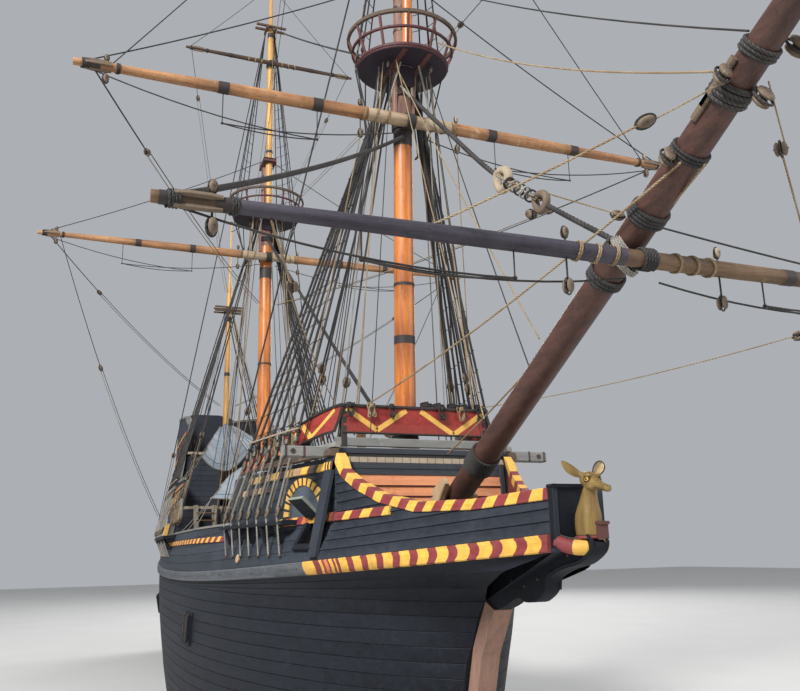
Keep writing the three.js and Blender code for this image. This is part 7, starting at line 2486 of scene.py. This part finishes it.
def build_figurehead():
    """A hind's head on its long neck, with its brow, nostrils, mouth, hollow ears and painted eyes."""
    body = lump_loft(NECK)
    head = lump_loft(HEAD)
    start = body.count
    body.points += head.points
    body.faces += [[i + start for i in face] for face in head.faces]
    body.places += head.places
    body.paints += head.paints
    body.count += head.count
    for s in (-1, 1):
        ball(body, (15.9, s * 0.07, 4.43), (0.06, 0.035, 0.026), None, 0, 9, 16)
        ball(body, (15.9, s * 0.06, 4.3), (0.08, 0.034, 0.04), None, 0, 9, 16)
        ball(body, (15.73, s * 0.09, 3.9), (0.12, 0.06, 0.17), None, 0, 9, 16)
        ball(body, (15.78, s * 0.088, 4.45), (0.045, 0.04, 0.04), None, 0, 9, 14)
        ball(body, (16.18, s * 0.024, 4.28), (0.03, 0.022, 0.02), None, 0, 7, 12)
    piece = body.make("hind_figurehead", [FIGURE_GOLD], "hull", "khaki_paint", sharp=70)
    fuse = piece.modifiers.new("fuse", "REMESH")
    fuse.mode = "VOXEL"
    fuse.voxel_size = 0.009
    fuse.use_smooth_shade = True
    soften = piece.modifiers.new("soften", "SMOOTH")
    soften.factor = 0.6
    soften.iterations = 6
    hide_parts("figurehead")

    shape = Shape()
    for s in (-1, 1):
        root = np.array([15.79, s * 0.095, 4.45])
        tip = root + np.array([-0.09, s * 0.2, 0.17])
        way = unit(tip - root)
        back = unit(np.cross(way, (0.75, -s * 0.5, -0.2)))
        hollow = unit(np.cross(way, back))
        length = np.linalg.norm(tip - root)
        share = np.linspace(0, 1, 15)
        wide = 0.064 * np.sin(math.pi * np.clip(0.1 + 0.9 * share, 0, 1)) ** 0.62 + 0.003
        turn = np.linspace(-1.25, 1.25, 11)
        for depth, flip in ((0.0, False), (0.011, True)):
            ring = [root + way * length * t + back * np.sin(turn)[:,
                    None] * (w + depth) + hollow * (1 - np.cos(turn))[:,
                            None] * (w + depth) * -0.75 * s + hollow * depth * s * 0.5 for t,
                    w in zip(share, wide)]
            shape.sheet(np.array(ring), 1 if depth == 0 else 0, flip=flip)
            if depth == 0:
                tube(shape, np.array([row[0] for row in ring]), 0.0065, 6, 2)
                tube(shape, np.array([row[-1] for row in ring]), 0.0065, 6, 2)
                tube(shape, np.array(ring[-1]), 0.0065, 6, 2)
        eye = np.array([15.905, s * 0.094, 4.385])
        out = unit(np.array([0.32, s * 1.0, 0.12]))
        ahead = unit(np.cross((0, 0, 1.0), out)) * -s
        up = np.cross(out, ahead) * -s
        up = up if up[2] > 0 else -up
        ball(shape, eye, (0.034, 0.028, 0.016), (ahead, up, out), 3, 9, 18)
        ball(shape, eye + out * 0.007, (0.019, 0.019, 0.012), (ahead, up, out), 4, 9, 16)
        lid = full_turn(25)
        tube(shape, eye + out * 0.002 + np.cos(lid) * ahead * 0.038 + np.sin(lid) * up * 0.031,
             0.0065, 6, 2)
        brow = np.linspace(0.2, 2.6, 10)[:, None]
        tube(shape, eye + out * -0.004 + np.cos(brow) * ahead * 0.054 + np.sin(brow) * up * 0.052,
             0.005, 6, 2)
        ball(shape, (16.2, s * 0.024, 4.283), (0.012, 0.008, 0.009), None, 2, 6, 10)
        mouth = [(16.205, s * 0.026, 4.236), (16.15, s * 0.05, 4.24), (16.08, s * 0.056, 4.262),
                 (16.01, s * 0.066, 4.285)]
        tube(shape, smooth_path(mouth, 12), 0.0035, 6, 2)
    shape.make("hind_ears_and_eyes", [FIGURE_GOLD, EAR_INSIDE, FIGURE_DARK, EYE_YELLOW, EYE_BLACK], "hull",
               "khaki_paint", sharp=50, solid=False)


EAR_INSIDE = timber("pale_ear_inside", (214, 196, 158), (196, 170, 130), UPRIGHT, 10, (0.5, 0.7), 0.2,
                    dark=(186, 156, 112), bump=0.001)
KNEE_OUTLINE = [(13.47, 2.743), (13.7, 2.8), (14.1, 2.95), (14.26, 2.88), (14.56, 2.9), (14.83, 3.03),
                (14.86, 3.2), (15.25, 3.33), (15.65, 3.39), (15.9, 3.5), (15.96, 3.62), (15.85, 3.69),
                (15.5, 3.69), (15.0, 3.6), (14.4, 3.5), (13.8, 3.45), (13.3, 3.2), (13.22, 2.83)]


def slab(shape, outline, y0, y1, paint):
    """An upright board cut to an outline of x and z, with its edges eased."""
    chamfer = 0.014
    line = np.array(outline, float)
    centre = line.mean(axis=0)
    inner = centre + (line - centre) * (1 - chamfer / np.linalg.norm(line - centre, axis=1, keepdims=True))
    rings = [np.column_stack([part[:, 0], np.full(len(line), y), part[:, 1]])
             for part, y in ((inner, y0), (line, y0 + chamfer), (line, y1 - chamfer), (inner, y1))]
    shape.roll(np.array(rings), paint)


def build_knee():
    """Knee of the head with its stepped foot, the head board and the scroll under the figure."""
    shape = Shape()
    outline = rounded(KNEE_OUTLINE[:12], 3) + KNEE_OUTLINE[12:]
    slab(shape, outline, -0.11, 0.11, 0)
    low_edge = np.array([(x, 0, z) for x, z in rounded(KNEE_OUTLINE[5:12], 3)])
    for s in (-1, 1):
        tube(shape, low_edge + np.array([0, s * 0.108, 0.035]), 0.022, 8, 0)
        for x, z in ((13.95, 3.15), (14.3, 3.1), (14.65, 3.2), (15.0, 3.45), (15.4, 3.5)):
            bolt(shape, (x, s * 0.11, z), (0, s, 0), 0.024, 5)
    for s in (-1, 1):
        block(shape, (15.497, s * 0.185, 3.945), (0.092, 0.366, 0.81), paint=0, chamfer=0.012)
        block(shape, (15.5, s * 0.33, 3.945), (0.11, 0.07, 0.83), paint=1, chamfer=0.012)
    block(shape, (15.505, 0, 4.335), (0.13, 0.77, 0.045), paint=0, chamfer=0.014)
    block(shape, (15.5, 0, 3.56), (0.12, 0.76, 0.05), paint=1, chamfer=0.014)
    for s in (-1, 1):
        spine = [(15.5, s * 0.3, 3.66), (15.58, s * 0.27, 3.625), (15.66, s * 0.22, 3.6),
                 (15.72, s * 0.17, 3.59), (15.77, s * 0.11, 3.588), (15.8, s * 0.05, 3.59),
                 (15.81, 0.0, 3.592)]
        path = smooth_path(spine, 19)
        paints = np.array([2] * 9 + [3] * 6 + [4] * 3)[:, None]
        round_bar(shape, path, np.linspace(0.085, 0.098, 19)[:, None], 14, paints)
        tube(shape, path + upward(0.098), 0.012, 6, 4)
    ring = full_turn(33)
    base = np.array([15.74, 0, 3.703]) + np.cos(ring) * np.array([0.175, 0,
            0]) + np.sin(ring) * athwart(0.16)
    tube(shape, base, 0.018, 8, 2)
    block(shape, (15.89, 0.06, 3.77), (0.1, 0.16, 0.2), paint=6, chamfer=0.02)
    block(shape, (15.895, 0.06, 3.87), (0.12, 0.19, 0.04), paint=6, chamfer=0.012)
    paints = [TARRED, SLATE, MAROON, YELLOW, BLACK_PAINT, IRON, TOP_WOOD]
    piece = shape.make("knee_carved", paints, "hull", "tarred_planking", sharp=35)
    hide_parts("knee_of_the_head")


def rounded(points, steps):
    """The same outline with its corners cut round."""
    line = [tuple(points[0])]
    for before, here, after in zip(points, points[1:], points[2:]):
        a = np.array(here) + (np.array(before) - here) * 0.3
        b = np.array(here) + (np.array(after) - here) * 0.3
        for t in np.linspace(0, 1, steps):
            line.append(tuple(a * (1 - t) ** 2 + np.array(here) * 2 * t * (1 - t) + b * t * t))
    return line + [tuple(points[-1])]


build_figurehead()
build_knee()


# Doors, hatch and rudder irons

def build_door_irons():
    """Strap hinges, a ring handle and a raised frame on each cabin door."""
    for node, facing in (("forecastle_door", -1), ("half_deck_door", 1)):
        low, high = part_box(node)
        shape = Shape()
        x = (low[0] - 0.004) if facing < 0 else (high[0] + 0.004)
        middle = (low[1] + high[1]) / 2
        for z in (low[2] + 0.28, high[2] - 0.28):
            block(shape, (x, middle - 0.08, z), (0.6, 0.012, 0.055), ACROSS_SHIP, 1, chamfer=0.003)
            for k in range(4):
                bolt(shape, (x + facing * 0.005, middle - 0.32 + 0.15 * k, z), (facing, 0, 0), 0.012, 1)
        for z in (low[2] + 0.06, (low[2] + high[2]) / 2, high[2] - 0.06):
            block(shape, (x, middle, z), (0.78, 0.02, 0.1), ACROSS_SHIP, 0, chamfer=0.006)
        turn = full_turn(17)
        ring = np.array([x + facing * 0.022, middle + 0.31, low[2] + 0.72])
        tube(shape, ring + np.cos(turn) * athwart(0.035) + np.sin(turn) * upward(0.045), 0.007, 6, 1)
        shape.make(f"{node}_irons", [DOOR_WOOD, IRON], node, "wrought_iron", sharp=35)


def build_hatch_grating():
    """Battens over the main hatch, in their frame."""
    low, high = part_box("main_hatch")
    shape = Shape()
    top = high[2] + 0.012
    for x in even(low[0] + 0.12, high[0] - 0.12, 0.1):
        block(shape, (x, 0, top), (0.035, high[1] * 2 - 0.12, 0.05), paint=0, chamfer=0.004)
    for y in even(low[1] + 0.12, high[1] - 0.12, 0.1):
        block(shape, ((low[0] + high[0]) / 2, y, top + 0.006), (high[0] - low[0] - 0.12, 0.035, 0.05),
              paint=0, chamfer=0.004)
    for y in (low[1] + 0.03, high[1] - 0.03):
        block(shape, ((low[0] + high[0]) / 2, y, top), (high[0] - low[0], 0.07, 0.075), paint=0)
    for x in (low[0] + 0.03, high[0] - 0.03):
        block(shape, (x, 0, top), (0.07, high[1] * 2 - 0.1, 0.075), paint=0)
    shape.make("hatch_grating", [BATTEN_WOOD], "hull", "bare_timber", sharp=35)


# Where the line that the rudder turns about meets the keel
RUDDER_FOOT = np.array([-10.0161, 0, -4.0])


def build_rudder_irons():
    """Straps that hold the rudder: pintles on its blade, gudgeons on the sternpost."""
    blade, post = Shape(), Shape()
    axis = np.array([-0.3438, 0, 0.9390])
    aft = np.array([-0.9390, 0, -0.3438])
    for run in (0.5, 1.9, 3.3, 4.6, 5.9):
        spot = RUDDER_FOOT + axis * run
        for s in (-1, 1):
            block(blade, spot + aft * 0.33 + athwart(s * 0.08), (0.5, 0.012, 0.07), (aft, (0, 1, 0), axis),
                  0, chamfer=0.003)
            block(post, spot - aft * 0.24 + athwart(s * 0.156), (0.4, 0.014, 0.07), (aft, (0, 1, 0), axis),
                  0, chamfer=0.003)
            for k in range(3):
                bolt(blade, spot + aft * (0.18 + 0.15 * k) + athwart(s * 0.086), (0, s, 0), 0.014)
    blade.make("rudder_pintles", [IRON], "rudder", "wrought_iron", sharp=35)
    post.make("rudder_gudgeons", [IRON], "hull", "wrought_iron", sharp=35)


DOOR_WOOD = timber("brown_door_boards", (104, 68, 46), (132, 100, 74), UPRIGHT, 12, (0.5, 0.8), 0.4,
                   dark=(74, 46, 34), seam=(34, 24, 20), lie="upright", planks=(0.14, 9.0, 0.006))
BATTEN_WOOD = timber("grey_deck_battens", (120, 110, 94), (156, 148, 134), ATHWART, 16, (0.6, 0.9), 0.5,
                     dark=(86, 78, 68), seam=(36, 32, 28))
build_door_irons()
build_hatch_grating()
build_rudder_irons()


# Deck fittings that stand on the hull

def build_deck_fittings():
    """Pin rails with their pins, bitts, and ladders to the decks above."""
    shape = Shape()
    for s in (-1, 1):
        for x0, x1, z in ((-3.8, -0.4, 3.95), (3.4, 5.6, 3.95)):
            ys = [s * (float(half_breadth(x, z)) - 0.19) for x in (x0, x1)]
            beam(shape, [(x0, ys[0], z), (x1, ys[1], z)], 0.1, 0.06, 0)
            for x in even(x0 + 0.15, x1 - 0.15, 0.28):
                y = float(np.interp(x, (x0, x1), ys))
                turned(shape, [(0.012, -0.14), (0.013, 0.02), (0.02, 0.06), (0.024, 0.13), (0.014, 0.17)],
                       (x, y, z), (0, 0, 1), 8, 1)
    deck = lambda x: float(sheer(x))
    for x, y in ((8.9, 0.55), (8.9, -0.55)):
        block(shape, (x, y, CASTLE_DECK_Z + 0.36), (0.14, 0.14, 0.7), paint=1)
    block(shape, (8.9, 0, CASTLE_DECK_Z + 0.5), (0.1, 1.5, 0.12), paint=0)
    for x, y in ((-1.4, 0.5), (-1.4, -0.5)):
        block(shape, (x, y, deck(-1.4) + 0.4), (0.16, 0.16, 0.8), paint=1)
    block(shape, (-1.4, 0, deck(-1.4) + 0.62), (0.12, 1.5, 0.13), paint=0)
    for x_foot, x_head, z_head, ys in ((5.05, 5.86, 5.2, (1.25, 1.85)), (-3.55, -4.28, 5.2, (-1.9, -1.3))):
        foot_z = deck(x_foot)
        for y in ys:
            beam(shape, [(x_foot, y, foot_z + 0.002), (x_head, y, z_head)], 0.05, 0.16, 0, up=(0, 1, 0))
        for k in range(1, 8):
            share = k / 8
            centre = (x_foot + (x_head - x_foot) * share, sum(ys) / 2, foot_z + (z_head - foot_z) * share)
            block(shape, centre, (0.18, abs(ys[1] - ys[0]), 0.035), paint=1)
    shape.make("deck_fittings", [BATTEN_WOOD, DOOR_WOOD], "hull", "bare_timber", sharp=35)


build_deck_fittings()


# Materials of the pieces that stay as the model has them

def dress(node, material):
    """Gives one of the model's own pieces a material."""
    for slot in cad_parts[node].material_slots:
        slot.material = material


PLANKED_DECK = timber("scrubbed_deck", (150, 132, 108), (176, 164, 144), FORE_AND_AFT, 18, (0.6, 0.9), 0.3,
                      dark=(118, 100, 80), seam=(30, 26, 24), planks=(0.16, 5.2, 0.007), lie="deck",
                      spread=0.45)
RED_BULKHEAD = timber("red_bulkhead_boards", (128, 42, 38), (110, 60, 52), ATHWART, 14, (0.5, 0.75), 0.4,
                      dark=(104, 34, 32), seam=(40, 18, 18), planks=(0.2, 3.1, 0.008), lie="across")
DARK_BULKHEAD = timber("blue_black_bulkhead_boards", (34, 38, 48), (62, 66, 74), ATHWART, 14, (0.5, 0.75),
                       0.35, dark=(24, 27, 35), seam=(14, 15, 18), planks=(0.2, 3.1, 0.008),
                       lie="across", shine=0.2)
SLATTED = timber("grey_beak_slats", (104, 102, 98), (140, 136, 128), ATHWART, 16, (0.6, 0.9), 0.5,
                 dark=(74, 72, 70), seam=(18, 18, 18), planks=(0.12, 9.0, 0.02), lie="slats")
for kept_deck in ("forecastle_deck", "half_deck", "poop_deck", "main_hatch"):
    dress(kept_deck, PLANKED_DECK)
dress("forecastle_aft_bulkhead", RED_BULKHEAD)
for kept_wall in ("half_deck_bulkhead", "poop_bulkhead"):
    dress(kept_wall, DARK_BULKHEAD)
for kept_door in ("forecastle_door", "half_deck_door"):
    dress(kept_door, DOOR_WOOD)
dress("beak_platform", SLATTED)
dress("keel_stem_and_sternpost", STEM_WOOD)
dress("rudder", TARRED)


# Floor at the waterline, light and finish

def floor_material():
    """The plain floor's pale matt paint."""
    material, tree, shader, place, _ = new_material("plain_pale_floor")
    cloud = noise(tree, place, 0.4, 4.0, 0.5)
    tree.links.new(mixed(tree, cloud, colour(190, 189, 186), colour(200, 199, 196)),
                   shader.inputs["Base Color"])
    shader.inputs["Roughness"].default_value = 0.85
    return material


def build_stage():
    """A pale floor at the waterline, an even sky and three lamps."""
    bpy.context.scene.view_settings.view_transform = "Standard"
    shape = Shape()
    ticks = np.linspace(-90, 90, 13)
    grid = grid_of(ticks, ticks)
    shape.sheet(np.concatenate([grid, np.zeros((13, 13, 1))], axis=-1))
    floor = shape.make("floor", [floor_material()], None, None, solid=False)
    world = bpy.data.worlds.new("studio")
    bpy.context.scene.world = world
    world.use_nodes = True
    back = next(node for node in world.node_tree.nodes if node.type == "BACKGROUND")
    back.inputs["Color"].default_value = (0.86, 0.9, 0.96, 1)
    back.inputs["Strength"].default_value = 0.48
    for name, place, aim, size, power in (
            ("key", (34, -34, 38), (4, 0, 6), 14, 46000), ("fill", (30, 26, 16), (6, 0, 7), 26, 5000),
            ("back", (-34, 22, 30), (-4, 0, 8), 24, 12000)):
        lamp = bpy.data.lights.new(name, "AREA")
        lamp.size = size
        lamp.energy = power
        light = bpy.data.objects.new(name, lamp)
        light.location = place
        light.rotation_euler = (Vector(aim) - Vector(place)).to_track_quat("-Z", "Y").to_euler()
        bpy.context.scene.collection.objects.link(light)


build_stage()
